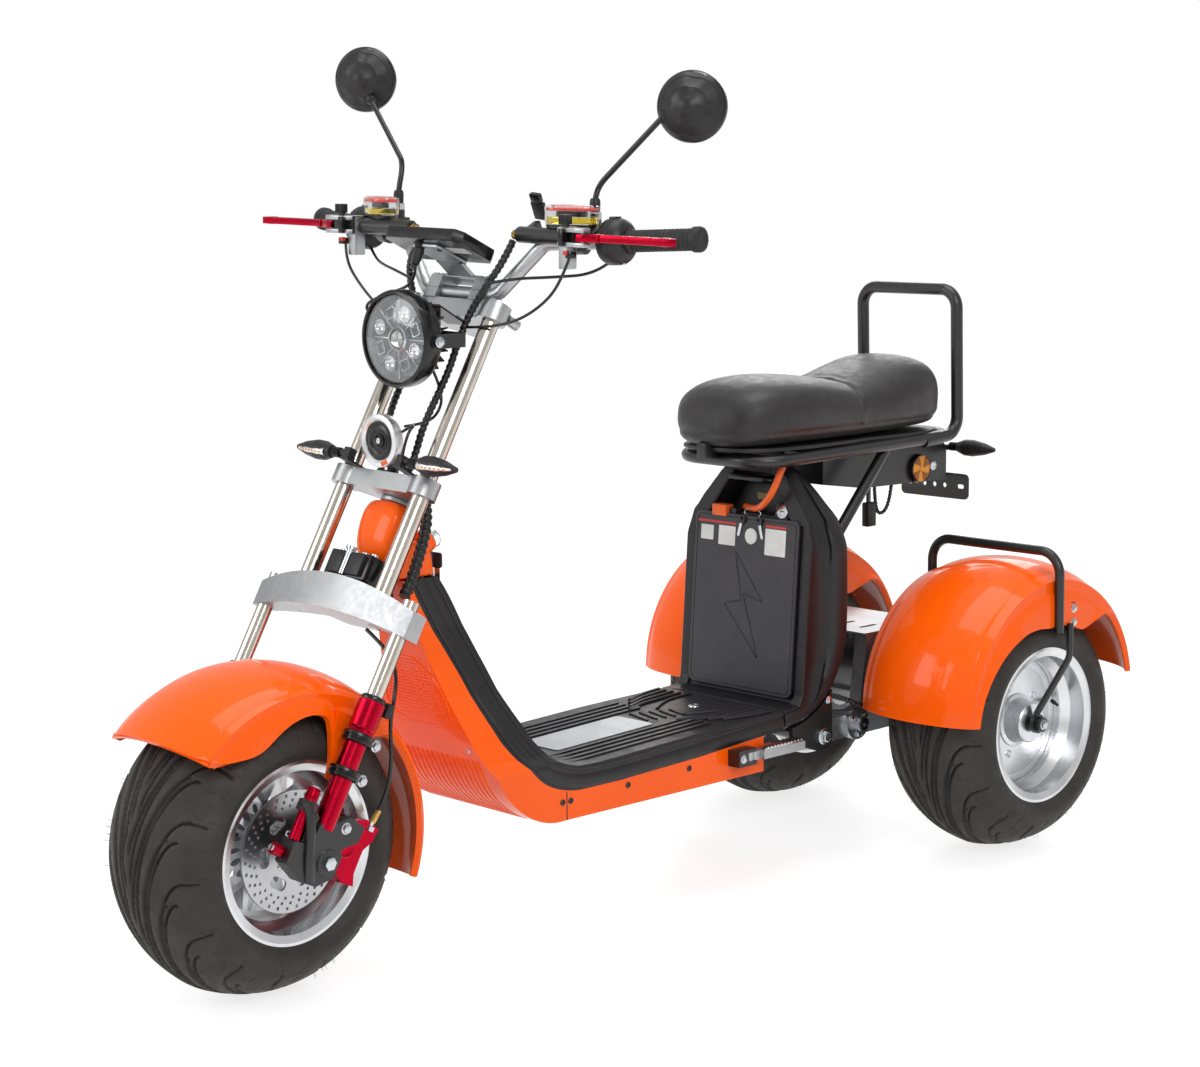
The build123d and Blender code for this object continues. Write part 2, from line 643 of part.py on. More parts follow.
DISPLAY_TILT = 24.9
DISPLAY_SIZE = (92, 170, 20)
DISPLAY = Plane(
    origin=bar_point(42.6, 0, 85.7),
    x_dir=(cos(radians(DISPLAY_TILT)), 0, sin(radians(DISPLAY_TILT))),
    z_dir=(-sin(radians(DISPLAY_TILT)), 0, cos(radians(DISPLAY_TILT))),
)
with BuildPart() as display:
    with BuildSketch(DISPLAY.offset(-DISPLAY_SIZE[2])) as face:
        Rectangle(DISPLAY_SIZE[0], DISPLAY_SIZE[1])
        chamfer(face.vertices(), 12)
    extrude(amount=DISPLAY_SIZE[2])

with BuildPart() as bar_clamps:
    with BuildSketch(fork_slab(BAR_HEIGHT + SEAT_GAP)):
        with Locations((0, -RISER_Y), (0, RISER_Y)):
            Rectangle(2 * CLAMP_HALF, CLAMP_W)
    extrude(amount=21)
    bar_bore = rod(fork_at(0, -90, BAR_HEIGHT), fork_at(0, 90, BAR_HEIGHT), BAR_D + 2 * SEAT_GAP)
    add(bar_bore, mode=Mode.SUBTRACT)
    with BuildSketch(fork_slab(BAR_HEIGHT + 20)):
        Rectangle(30, 2 * RISER_Y + CLAMP_W)
    extrude(amount=5)
    under = DISPLAY.from_local_coords(Vector(-26, 0, -DISPLAY_SIZE[2] - 4))
    tip = DISPLAY.from_local_coords(Vector(24, 0, -DISPLAY_SIZE[2] - 2))
    root = fork_at(-6, 0, BAR_HEIGHT + 20)
    with BuildSketch(SIDE_VIEW.offset(-26)):
        strip((root.X, root.Z), (under.X, under.Z), 6)
        strip((under.X, under.Z + 2), (tip.X, tip.Z), 4)
    extrude(amount=52)

with BuildPart() as grips:
    add(rod(bar_at(BAR_HALF - GRIP_L), bar_at(BAR_HALF + 6), GRIP_D))
    add(rod(bar_at(BAR_HALF - 3), bar_at(BAR_HALF + 5), GRIP_D + 5))
    add(rod(bar_at(BAR_HALF - GRIP_L - 5), bar_at(BAR_HALF), BAR_D + 2 * SEAT_GAP), mode=Mode.SUBTRACT)
    mirror(about=Plane.XZ)

SWITCH_Y = (258, 303)
with BuildPart() as switch_housings:
    width = SWITCH_Y[1] - SWITCH_Y[0]
    add(turned(
        [(BAR_D / 2 + SEAT_GAP, 0), (24, 0), (34, 9), (35, width - 18), (29, width - 5), (23, width),
         (BAR_D / 2 + SEAT_GAP, width)],
        bar_at(SWITCH_Y[0]), OUTBOARD, AHEAD.cross(OUTBOARD),
    ))
    mirror(about=Plane.XZ)

CUP_CENTRE = (BAR_MID.X - 23, 214)
CUP_LOW = BAR_MID.Z + 113
CUP_HIGH = CUP_LOW + 29
CUP_TURN = 115            # the cup's long side from the X axis
PIVOT = bar_point(23, 281, 97)
MIRROR_BASE = bar_point(-66, 220, 120)
with BuildPart() as master_cylinders:
    with BuildSketch(bar_slab(205)):
        Circle(BAR_D / 2 + 7)
        with Locations((22, -6)):
            Rectangle(30, 20)
        with Locations((-22, -14)):
            Rectangle(26, 18)
    extrude(amount=22)
    add(rod(bar_point(-6, 122, 95), bar_point(2, 244, 95), 25))
    add(rod(bar_point(-7, 112, 95), bar_point(-6, 126, 95), 15))
    with BuildSketch(Plane.XY.offset(PIVOT.Z - 14)):
        with Locations((BAR_MID.X + 6, 240)):
            Rectangle(34, 22)
        strip((BAR_MID.X + 9, 240), (PIVOT.X, PIVOT.Y), 18)
        with Locations((PIVOT.X, PIVOT.Y)):
            Circle(9)
    extrude(amount=28)
    with BuildSketch(Plane.XY.offset(CUP_LOW - 24)):
        with Locations((CUP_CENTRE[0] + 6, CUP_CENTRE[1])):
            Rectangle(30, 26)
    extrude(amount=20)
    with BuildSketch(Plane.XY.offset(CUP_LOW - 5)):
        with Locations(CUP_CENTRE):
            SlotOverall(76, 40, rotation=CUP_TURN)
    extrude(amount=5)
    add(rod(MIRROR_BASE - Vector(0, 0, 30), MIRROR_BASE, 20))
    add(rod(bar_at(190), bar_at(243), BAR_D + 2 * SEAT_GAP), mode=Mode.SUBTRACT)
    with BuildSketch(Plane.XY.offset(PIVOT.Z - 6.5)):
        with Locations((PIVOT.X + 4, PIVOT.Y + 10)):
            Rectangle(44, 44)
    extrude(amount=13, mode=Mode.SUBTRACT)
    mirror(about=Plane.XZ)

with BuildPart() as fluid_cups:
    with BuildSketch(Plane.XY.offset(CUP_LOW)):
        with Locations(CUP_CENTRE):
            SlotOverall(84, 46, rotation=CUP_TURN)
    extrude(amount=CUP_HIGH - CUP_LOW)
    mirror(about=Plane.XZ)

with BuildPart() as brake_levers:
    with BuildSketch(Plane.XY.offset(PIVOT.Z - 6)):
        pivot = (PIVOT.X, PIVOT.Y)
        knee = (PIVOT.X - 8, PIVOT.Y + 31)
        tip = (PIVOT.X - 4, PIVOT.Y + 171)
        with Locations(pivot):
            Circle(9)
        strip(pivot, knee, 14)
        strip(knee, tip, 12)
        with Locations(knee):
            Circle(7)
        with Locations(tip):
            Circle(7.5)
    extrude(amount=12)
    mirror(about=Plane.XZ)

# mirrors: the stem's knee, its end on the shell's back and the shell's centre, on each side
HEAD_R = 53.5
HEAD_FACING = Vector(0.89, 0.454, 0)
MIRRORS = (
    (1, bar_point(-75, 221, 172), bar_point(-107, 322, 276), bar_point(-132, 352, 288)),
    (-1, bar_point(-77, -221, 195), bar_point(-97, -322, 295), bar_point(-111, -352, 328)),
)
with BuildPart() as mirrors:
    for side, knee, stem_end, shell in MIRRORS:
        base = Vector(MIRROR_BASE.X, side * MIRROR_BASE.Y, MIRROR_BASE.Z + SEAT_GAP)
        foot = base + Vector(0, 0, 30)
        add(rod(base, foot, 13))
        add(tube([foot - Vector(0, 0, 8), knee, stem_end], 18, 9))
        with Locations(stem_end):
            Sphere(9)
        add(turned(
            [(0, 34), (20, 32), (38, 22), (49, 9), (HEAD_R, 0), (HEAD_R, -7), (HEAD_R - 3, -7),
             (HEAD_R - 3, -4), (0, -4)],
            shell, HEAD_FACING,
        ))

with BuildPart() as mirror_glass:
    for side, knee, stem_end, shell in MIRRORS:
        back = shell - HEAD_FACING.normalized() * (4 + SEAT_GAP)
        add(rod(back, back - HEAD_FACING.normalized() * 2.2, 2 * HEAD_R - 6.8))

# looms and hoses on the fork
LOOM_D = 12
with BuildPart() as wiring_looms:
    for side, lag in ((1, 0), (-1, 3)):
        route = [
            bar_point(-8, side * 104, 84), bar_point(14, side * 104, 52),
            bar_point(32, side * (88 - lag), 18), bar_point(42, side * (62 - lag), -24),
            bar_point(56, side * 50, -70), bar_point(72, side * 46, -116),
            fork_at(10, side * 42, BRIDGE_HIGH + 84), fork_at(-8, side * 31, BRIDGE_HIGH + 38),
            fork_at(-8, side * 31, BRIDGE_HIGH + SEAT_GAP),
        ]
        add(held_cord("wiring loom", route, LOOM_D))
with BuildPart() as brake_hose:
    hose = [
        fork_at(-114.5, 124, 81.8), fork_at(-118, 128, 118), fork_at(-104, 137, 154), fork_at(-76, 148, 190),
        fork_at(-46, 156, 222), fork_at(-35, 157, 258), fork_at(-36, 142, 292), fork_at(-40, 112, 318),
        fork_at(-36, 78, 336), fork_at(-30, 50, 348),
    ]
    add(held_cord("brake hose", hose, 6))


# ============================================================ body: belly, footboard and battery housing
# half width of the body at heights, seen from the front
BODY_WIDTHS = ((150, 145), (285, 145), (300, 127), (330, 112), (350, 105), (405, 76), (465, 58), (510, 48),
               (600, 42), (760, 40))
BELLY_LINE = ((WHEELBASE - 259, NECK_TOP), (WHEELBASE - 281, 510), (WHEELBASE - 293, 465),
    (WHEELBASE - 313, 405), (WHEELBASE - 326, 354), (WHEELBASE - 345, 303), (WHEELBASE - 368, 257),
              (WHEELBASE - 404, 220), (WHEELBASE - 448, 197), (WHEELBASE - 491, BODY_BOTTOM))
TRIM_LINE = ((WHEELBASE - 271, NECK_TOP), (WHEELBASE - 299, 530), (WHEELBASE - 330, 472),
    (WHEELBASE - 354, 419), (WHEELBASE - 373, 368), (WHEELBASE - 394, 323), (WHEELBASE - 420, 288),
             (WHEELBASE - 446, 262), (WHEELBASE - 486, 243), (WHEELBASE - 527, 236))
TREAD_LINE = ((WHEELBASE - 327, NECK_TOP), (WHEELBASE - 346, 560), (WHEELBASE - 366, 520),
    (WHEELBASE - 400, 444), (WHEELBASE - 421, 390), (WHEELBASE - 443, 342), (WHEELBASE - 465, 307),
              (WHEELBASE - 488, 287), (WHEELBASE - 531, FLOOR_TOP - 1))
BELLY_REAR = 480
HOUSING_FRONT = 430       # the footboard meets the battery housing here
REAR_ARC = (430, 421)
REAR_ARC_R = 168
MOTOR_PLATE = 384
MOTOR_R = 61


def side_region(curve, closing):
    """A prism across the body from a side-view spline closed by straight runs."""
    with BuildPart() as region:
        with BuildSketch(SIDE_VIEW):
            with BuildLine():
                edge = Spline(*curve)
                Polyline(edge @ 1, *closing, edge @ 0)
            make_face()
        extrude(amount=300, both=True)
    return region.part


def front_outline(inset):
    """The body's front-view outline, inset by a skin, as a prism along the body's length."""
    side = [(half - inset, z) for z, half in BODY_WIDTHS]
    with BuildPart() as prism:
        with BuildSketch(Plane.YZ.offset(HOUSING_FRONT)):
            with BuildLine():
                Polyline(*side, *[(-y, z) for y, z in reversed(side)], close=True)
            make_face()
        extrude(amount=WHEELBASE - HOUSING_FRONT - 201)
    return prism.part


# the frame's backbone: swinging arm pivot, and the route of the main tube from the steering head
PIVOT_PLACE = (330, 228)
BACKBONE_D = 32
down_route = [(WHEELBASE - 253, 0, NECK_TOP + 44), (WHEELBASE - 301, 0, 520), (WHEELBASE - 328, 0, 430),
    (WHEELBASE - 359, 0, 340), (WHEELBASE - 401, 0, 262), (WHEELBASE - 461, 0, 218),
              (WHEELBASE - 791, 0, 218.1), (PIVOT_PLACE[0], 0, 218)]

belly_inside = [(x - SKIN, z + SKIN / 2) for x, z in BELLY_LINE[:-2]]
belly_inside.append((WHEELBASE - 491, BODY_BOTTOM + SKIN))
over_trim = side_region(TRIM_LINE, [(WHEELBASE - 611, 236), (WHEELBASE - 797, 243), (480, 253),
    (400, 253), (400, NECK_TOP + 110), (WHEELBASE - 271, NECK_TOP + 110)])
with BuildPart() as belly_panel:
    add(side_region(BELLY_LINE, [(BELLY_REAR, BODY_BOTTOM), (BELLY_REAR, NECK_TOP)]))
    add(side_region(belly_inside, [(BELLY_REAR - 20, BODY_BOTTOM + SKIN), (BELLY_REAR - 20, NECK_TOP + 10)])
        & front_outline(SKIN), mode=Mode.SUBTRACT)
    add(front_outline(0), mode=Mode.INTERSECT)
    add(over_trim, mode=Mode.SUBTRACT)
    add(tube(down_route, 50, BACKBONE_D + 1), mode=Mode.SUBTRACT)

floor_front = Vector(WHEELBASE - 568, 0, 274)
floor_slope = Vector(WHEELBASE - 792, 0, 283) - floor_front
FLOOR = Plane(origin=floor_front + floor_slope * 0.5, x_dir=-floor_slope, z_dir=(-floor_slope).cross(LEFT))
RIB_PLACES = (58, 76, 94, 112)
RIB_RISE = 2.5
with BuildPart() as footboard:
    add(side_region(BELLY_LINE, [(HOUSING_FRONT, BODY_BOTTOM), (HOUSING_FRONT, NECK_TOP)]))
    add(front_outline(0), mode=Mode.INTERSECT)
    add(over_trim, mode=Mode.INTERSECT)
    add(side_region(TREAD_LINE, [(WHEELBASE - 568, 274), (WHEELBASE - 792, 283), (417, 288),
        (300, 288), (300, NECK_TOP + 110), (WHEELBASE - 327, NECK_TOP + 110)]),
        mode=Mode.SUBTRACT)
    with BuildSketch(FLOOR.offset(-3)):
        for y in RIB_PLACES:
            with Locations((0, y), (0, -y)):
                SlotOverall(floor_slope.length + 130, 8)
    extrude(amount=3 + RIB_RISE)
    add(tube(down_route[:5], 50, BACKBONE_D + 1), mode=Mode.SUBTRACT)

with BuildPart() as floor_insert:
    with BuildSketch(FLOOR):
        RectangleRounded(floor_slope.length - 4, 88, 10)
    extrude(amount=1.6)

HOUSING_LINE = ((HOUSING_FRONT, 288), (386, 291), (362, BATTERY_TOP))
BATTERY_DEPTH = 92
(face_low_x, face_low_z), (face_top_x, face_top_z) = HOUSING_LINE[1:3]
battery_lean = degrees(atan2(face_low_x - face_top_x, face_top_z - face_low_z))
BATTERY_FACE = Plane(
    origin=((HOUSING_LINE[1][0] + HOUSING_LINE[2][0]) / 2, 0, (303 + BATTERY_TOP) / 2),
    x_dir=LEFT,
    z_dir=(cos(radians(battery_lean)), 0, sin(radians(battery_lean))),
)
battery_high = (BATTERY_TOP - 303) / cos(radians(battery_lean))
with BuildPart() as battery_housing:
    with BuildSketch(SIDE_VIEW):
        with BuildLine():
            arc = CenterArc(REAR_ARC, REAR_ARC_R, 183, 87)
            rear = Polyline(arc @ 0, (262, HOUSING_TOP - 134), (287, HOUSING_TOP - 43),
                            (312, HOUSING_TOP), (346, HOUSING_TOP), (356, HOUSING_TOP - 54),
                            *reversed(HOUSING_LINE), arc @ 1)
        make_face()
    extrude(amount=HOUSING_HALF, both=True)
    with BuildSketch(Plane.YZ.offset(200)):
        with BuildLine():
            Polyline(
                (-HOUSING_HALF, 200), (HOUSING_HALF, 200), (HOUSING_HALF, HOUSING_TOP - 134),
                (HOUSING_HALF - 14, HOUSING_TOP - 90),
                (76, HOUSING_TOP - 12), (64, HOUSING_TOP), (-64, HOUSING_TOP), (-76, HOUSING_TOP - 12),
                (14 - HOUSING_HALF, HOUSING_TOP - 90), (-HOUSING_HALF, HOUSING_TOP - 134), close=True,
            )
        make_face()
    extrude(amount=300, mode=Mode.INTERSECT)
    with BuildSketch(BATTERY_FACE.offset(2)):
        RectangleRounded(2 * BATTERY_HALF + 4, battery_high + 4, 14)
    extrude(amount=-BATTERY_DEPTH, mode=Mode.SUBTRACT)
    with BuildSketch(Plane.YZ.offset(306)):
        with Locations((0, HOUSING_TOP - 52)):
            Trapezoid(190, 80, 58)
    extrude(amount=100, mode=Mode.SUBTRACT)

with BuildPart() as battery_pack:
    with BuildSketch(BATTERY_FACE.offset(3)):
        RectangleRounded(2 * BATTERY_HALF, battery_high, 12)
    extrude(amount=SEAT_GAP - BATTERY_DEPTH - 1)

with BuildPart() as battery_lead:
    lead = [
        (334, -32, HOUSING_TOP - 80), (346, -10, HOUSING_TOP - 79), (360, 14, HOUSING_TOP - 77),
        (373, 40, HOUSING_TOP - 70), (381, 64, HOUSING_TOP - 54), (383, 81, HOUSING_TOP - 32),
        (378, 88, HOUSING_TOP - 9), (370, 90, HOUSING_TOP + 7.5),
    ]
    add(held_cord("battery lead", lead, 12))
    with BuildSketch(Plane.XY.offset(HOUSING_TOP - 90)):
        with Locations((329, -54)):
            Rectangle(20, 46)
    extrude(amount=22)

# ============================================================ seat and its frame
SEAT_NOSE = 478
SEAT_TAIL = -60
with BuildPart() as seat:
    with BuildSketch(SIDE_VIEW):
        with BuildLine():
            top = Spline(
                (SEAT_NOSE, SEAT_BASE + 44), (466, SEAT_BASE + 83), (430, SEAT_BASE + 108),
                (330, SEAT_BASE + 118), (235, SEAT_BASE + 110), (180, SEAT_BASE + 101),
                (110, SEAT_BASE + 111),
                (20, SEAT_BASE + 136), (-20, SEAT_BASE + 130), (-50, SEAT_BASE + 96),
                (SEAT_TAIL, SEAT_BASE + 48),
            )
            Polyline(top @ 1, (SEAT_TAIL + 4, SEAT_BASE + 4), (430, SEAT_BASE),
                (SEAT_NOSE - 12, SEAT_BASE + 10), top @ 0)
        make_face()
    extrude(amount=SEAT_HALF, both=True)
    with BuildSketch(Plane.XY.offset(SEAT_BASE - 10)):
        with BuildLine():
            plan = Spline(
                (SEAT_NOSE, 0), (470, 62), (430, 104), (340, SEAT_HALF - 2), (180, SEAT_HALF - 6),
                (20, SEAT_HALF), (-34, 104), (SEAT_TAIL, 0),
                tangents=((0, 1), (0, -1)),
            )
            Line(plan @ 1, plan @ 0)
        make_face()
        mirror(about=Plane.XZ)
    extrude(amount=200, mode=Mode.INTERSECT)

LOOP_HALF = 110
LOOP_D = 22
GRAB_TOP = SEAT_BASE + 251
with BuildPart() as seat_frame:
    add(tube([(-75, 0, SEAT_BASE - 12), (-75, LOOP_HALF, SEAT_BASE - 12),
        (440, LOOP_HALF, SEAT_BASE - 22), (440, 0, SEAT_BASE - 22)], 66, LOOP_D))
    mirror(about=Plane.XZ)
    add(tube(
        [(20, LOOP_HALF + 1, SEAT_BASE - 18), (-76, LOOP_HALF + 1, SEAT_BASE - 10),
            (-70, LOOP_HALF + 1, GRAB_TOP),
         (-70, -LOOP_HALF - 1, GRAB_TOP), (-76, -LOOP_HALF - 1, SEAT_BASE - 10),
         (20, -LOOP_HALF - 1, SEAT_BASE - 18)],
        34, LOOP_D,
    ))
    for x in (-20, 110, 330):
        with BuildSketch(Plane.XY.offset(SEAT_BASE - 28)):
            with Locations((x, 0)):
                Rectangle(30, 2 * LOOP_HALF)
        extrude(amount=6)
    for side in (1, -1):
        add(rod((112, side * 100, SEAT_BASE - 24), (238, side * 100, SEAT_BASE - 160), 20))
        add(rod((238, side * 100, SEAT_BASE - 165), (257, side * 100, SEAT_BASE - 173), 20))
        with Locations((259.2, side * 100, SEAT_BASE - 179)):
            Box(5, 34, 46)
        with Locations((238, side * 100, SEAT_BASE - 162)):
            Sphere(10)
    for x, y in ((425, 0), (360, 70), (360, -70), (60, 70), (60, -70)):
        with Locations((x, y, SEAT_BASE - 28)):
            Cylinder(11, 28 - SEAT_GAP, align=(Align.CENTER, Align.CENTER, Align.MIN))
    with BuildSketch(Plane.XY.offset(SEAT_BASE - 28)):
        with Locations((330, 0)):
            Rectangle(90, 210)
        with Locations((60, 0)):
            Rectangle(60, 170)
        with Locations((400, 0)):
            Rectangle(80, 40)
    extrude(amount=4)
    with BuildSketch(Plane.XY.offset(HOUSING_TOP)):
        with Locations((329, 0)):
            Rectangle(28, 110)
    extrude(amount=12)

# ============================================================ tail: bracket, plate strap and lamps
TAIL_HALF = 55
with BuildPart() as tail_bracket:
    with BuildSketch(SIDE_VIEW):
        with BuildLine():
            Polyline((229, SEAT_BASE - 28.3), (229, SEAT_BASE - 82), (120, SEAT_BASE - 98),
                (-115, SEAT_BASE - 103), (-115, SEAT_BASE - 42), (-100, SEAT_BASE - 28.3), close=True)
        make_face()
    extrude(amount=TAIL_HALF, both=True)
    with BuildSketch(SIDE_VIEW):
        with BuildLine():
            Polyline((226, SEAT_BASE - 31.3), (226, SEAT_BASE - 79), (120, SEAT_BASE - 95),
                (-60, SEAT_BASE - 99), (-60, SEAT_BASE - 31.3), close=True)
        make_face()
    extrude(amount=TAIL_HALF - 3, both=True, mode=Mode.SUBTRACT)
    with BuildSketch(Plane.YZ.offset(-152)):
        with Locations((0, SEAT_BASE - 120)):
            RectangleRounded(160, 48, 10)
            with Locations((-24, 0), (0, 0), (24, 0)):
                Circle(4.5, mode=Mode.SUBTRACT)
            with Locations((-62, 0), (62, 0)):
                SlotOverall(16, 8, mode=Mode.SUBTRACT)
    extrude(amount=3)
    with BuildSketch(Plane.XY.offset(SEAT_BASE - 101)):
        with Locations((-127, 0)):
            Rectangle(46, 60)
    extrude(amount=4)
    for side in (1, -1):
        add(tube([(-96, side * 14, SEAT_BASE - 48), (-130, side * 40, SEAT_BASE - 46),
            (-130, side * 70, SEAT_BASE - 43)], 9, 11))
with BuildPart() as rear_indicators:
    for side in (1, -1):
        add(turned(
            [(0, 0), (10, 3), (15, 18), (15.5, 36), (11, 62), (4, 84), (0, 88)],
            (-130, side * 70.3, SEAT_BASE - 43), LEFT * side,
        ))
with BuildPart() as reflectors:
    for side in (1, -1):
        add(rod((-34, side * (TAIL_HALF + 0), SEAT_BASE - 76),
            (-34, side * (TAIL_HALF + 7), SEAT_BASE - 76), 50))

# ============================================================ frame, pegs, rear axle and drive
ARM_Y = 112
ARM_W = 26
HEAD_TUBE_D = 46
head_low = fork_at(-STEM_BEHIND, 0, 402)
head_high = fork_at(-STEM_BEHIND, 0, 550)
with BuildPart() as main_frame:
    add(tube(down_route, 50, BACKBONE_D))
    add(rod(head_low, head_high, HEAD_TUBE_D))
    add(rod(head_low, head_high, STEM_D + 1), mode=Mode.SUBTRACT)
    add(rod((PIVOT_PLACE[0], -146, PIVOT_PLACE[1]), (PIVOT_PLACE[0], 146, PIVOT_PLACE[1]), 30))
    for side in (1, -1):
        with BuildSketch(SIDE_VIEW.offset(-side * 142 - 4)):
            with BuildLine():
                Polyline((408, 262), (306, 330), (306, 214), (320, 204), (344, 204), (408, 226), close=True)
            make_face()
            with Locations(REAR_ARC):
                Circle(REAR_ARC_R + SEAT_GAP, mode=Mode.SUBTRACT)
        extrude(amount=8)

with BuildPart() as head_cover:
    with BuildSketch(fork_slab(454)):
        with Locations((-38, 0)):
            Circle(42)
        with Locations((-62, 0)):
            Rectangle(56, 80)
    extrude(amount=92)
    fillet(head_cover.faces().sort_by(Axis(FORK.origin, ALONG))[-1].edges(), 8)
    with BuildSketch(SIDE_VIEW):
        with BuildLine():
            Polyline((WHEELBASE - 326.5, NECK_TOP + 0.3), (WHEELBASE - 259, NECK_TOP + 0.3),
                (WHEELBASE - 235, NECK_TOP + 24),
                (WHEELBASE - 251, NECK_TOP + 54), (WHEELBASE - 318, NECK_TOP + 65),
                (WHEELBASE - 330, NECK_TOP + 50),
                     close=True)
        make_face()
    extrude(amount=NECK_HALF, both=True)
    add(rod(head_low, fork_at(-STEM_BEHIND, 0, 560), HEAD_TUBE_D + 2 * SEAT_GAP), mode=Mode.SUBTRACT)
    add(tube(down_route[:3], 50, BACKBONE_D + 1), mode=Mode.SUBTRACT)

with BuildPart() as peg_brackets:
    for side in (1, -1):
        with BuildSketch(Plane.XY.offset(216)):
            with Locations((545, side * (FLOOR_HALF + 13))):
                Rectangle(44, 26)
        extrude(amount=28)
        with BuildSketch(Plane.XY.offset(222)):
            with Locations((520, side * (FLOOR_HALF + 25))):
                Rectangle(50, 42)
        extrude(amount=16, mode=Mode.SUBTRACT)

PEG_PIVOT = (532, FLOOR_HALF + 15, 230)
foot_pegs = {}
for side, name in ((1, "left"), (-1, "right")):
    with BuildPart() as foot_peg:
        with BuildSketch(Plane.XY.offset(PEG_PIVOT[2] - 7.5)):
            with Locations((PEG_PIVOT[0], side * PEG_PIVOT[1])):
                Circle(8)
            strip((PEG_PIVOT[0], side * PEG_PIVOT[1]), (508, side * PEG_PIVOT[1]), 14)
            strip((510, side * (PEG_PIVOT[1] + 3)), (408, side * (PEG_PIVOT[1] + 3)), 24)
        extrude(amount=15)
    foot_pegs[f"foot_peg_{name}"] = foot_peg.part

with BuildPart() as rear_subframe:
    for side in (1, -1):
        with BuildSketch(SIDE_VIEW.offset(-side * ARM_Y - ARM_W / 2)):
            strip(PIVOT_PLACE, (0, TYRE_R), 40)
            with Locations(PIVOT_PLACE):
                Circle(24)
            with Locations((0, TYRE_R)):
                Circle(34)
            with BuildLine() as column:
                Polyline((10, 240), (10, MOTOR_PLATE), (50, MOTOR_PLATE), (50, 240), close=True)
            add(make_face(column.line, mode=Mode.PRIVATE))
            with BuildLine() as column:
                Polyline((150, 240), (150, MOTOR_PLATE), (190, MOTOR_PLATE), (210, 240), close=True)
            add(make_face(column.line, mode=Mode.PRIVATE))
        extrude(amount=ARM_W)
        add(rod((222, side * ARM_Y, 232), (222, side * (ARM_Y + ARM_W / 2 + 9), 232), 58))
        add(rod((222, side * ARM_Y, 232), (222, side * (ARM_Y + ARM_W / 2 + 22), 232), 26))
    with BuildSketch(Plane.XY.offset(MOTOR_PLATE)):
        with Locations((100, 0)):
            Rectangle(190, 2 * ARM_Y + ARM_W)
            with Locations((35, 80), (35, 30), (35, -30), (35, -80)):
                SlotOverall(44, 9, mode=Mode.SUBTRACT)
    extrude(amount=4)
    add(rod((0, -148, TYRE_R), (0, 148, TYRE_R), 52))
    add(rod((0, -150, TYRE_R), (0, 150, TYRE_R), 2 * AXLE_R + 2 * SEAT_GAP), mode=Mode.SUBTRACT)
    add(rod((PIVOT_PLACE[0], -150, PIVOT_PLACE[1]),
        (PIVOT_PLACE[0], 150, PIVOT_PLACE[1]), 30 + 2 * SEAT_GAP),
        mode=Mode.SUBTRACT)

AXLE_END = REAR_TRACK / 2 + REAR_AXLE_Y
with BuildPart() as rear_axle:
    add(rod((0, -AXLE_END - 18, TYRE_R), (0, AXLE_END + 18, TYRE_R), 2 * AXLE_R))
    for side in (1, -1):
        add(rod((0, side * (AXLE_END + 11), TYRE_R), (0, side * (AXLE_END + 20), TYRE_R), 26))
        add(rod((0, side * 149, TYRE_R), (0, side * 262, TYRE_R), 34))

with BuildPart() as drive_motor:
    with BuildSketch(SIDE_VIEW):
        with Locations((100, MOTOR_PLATE - MOTOR_R - SEAT_GAP)):
            Circle(MOTOR_R)
    extrude(amount=92, both=True)
    with BuildSketch(SIDE_VIEW):
        with BuildLine():
            Polyline((40, 310), (30, 262), (60, 258), (130, 262), (130, 300), close=True)
        make_face()
    extrude(amount=60, both=True)

# ============================================================ rear fenders with their guards
REAR_FENDER_HALF = 123
fenders = {}
for side, name in ((1, "left"), (-1, "right")):
    fender_centre = Vector(0, side * REAR_TRACK / 2, FENDER_Z)
    with BuildPart() as rear_fender:
        add(crowned_arch(fender_centre, FENDER_R, REAR_FENDER_HALF, 150, 3, 0, 170))
        low = FENDER_R - FENDER_DROP - 14
        with BuildSketch(Plane(origin=fender_centre, x_dir=(1, 0, 0), z_dir=(0, -1, 0))):
            with BuildLine():
                skirt = Spline(polar(low, -1), polar(196, 30), polar(168, 62), polar(146, 84))
                Polyline(skirt @ 1, polar(146, 116), polar(low, 134))
                CenterArc((0, 0), low, 134, 38)
                Polyline(polar(low, 172), (0, -60), polar(low, -1))
            make_face()
        extrude(amount=REAR_FENDER_HALF + 2, both=True, mode=Mode.SUBTRACT)
    fenders[f"rear_fender_{name}"] = rear_fender.part

GUARD_OUT = REAR_TRACK / 2 + REAR_FENDER_HALF + GUARD_D / 2 + SEAT_GAP
GUARD_IN = 122
GUARD_TOP = 540
with BuildPart() as fender_guards:
    add(tube(
        [(5, GUARD_OUT, 400), (5, GUARD_OUT, GUARD_TOP), (5, GUARD_IN, GUARD_TOP),
            (5, GUARD_IN, MOTOR_PLATE + 4)],
        40, GUARD_D,
    ))
    add(rod((5, GUARD_IN, MOTOR_PLATE + 4.3), (5, GUARD_IN, MOTOR_PLATE + 9), 30))
    add(tube(
        [(-28, GUARD_OUT, 412), (-26, GUARD_OUT + 1, 352), (0, AXLE_END + 4.5, 246)], 30, 12,
    ))
    add(rod((0, AXLE_END + 3, TYRE_R), (0, AXLE_END + 10.7, TYRE_R), 34))
    add(rod((0, AXLE_END, TYRE_R),
        (0, AXLE_END + 12, TYRE_R), 2 * AXLE_R + 2 * SEAT_GAP), mode=Mode.SUBTRACT)
    with BuildSketch(SIDE_VIEW.offset(-GUARD_OUT + GUARD_D / 2 - 4)):
        with Locations((-18, 424)):
            RectangleRounded(66, 48, 8)
    extrude(amount=4)
    mirror(about=Plane.XZ)


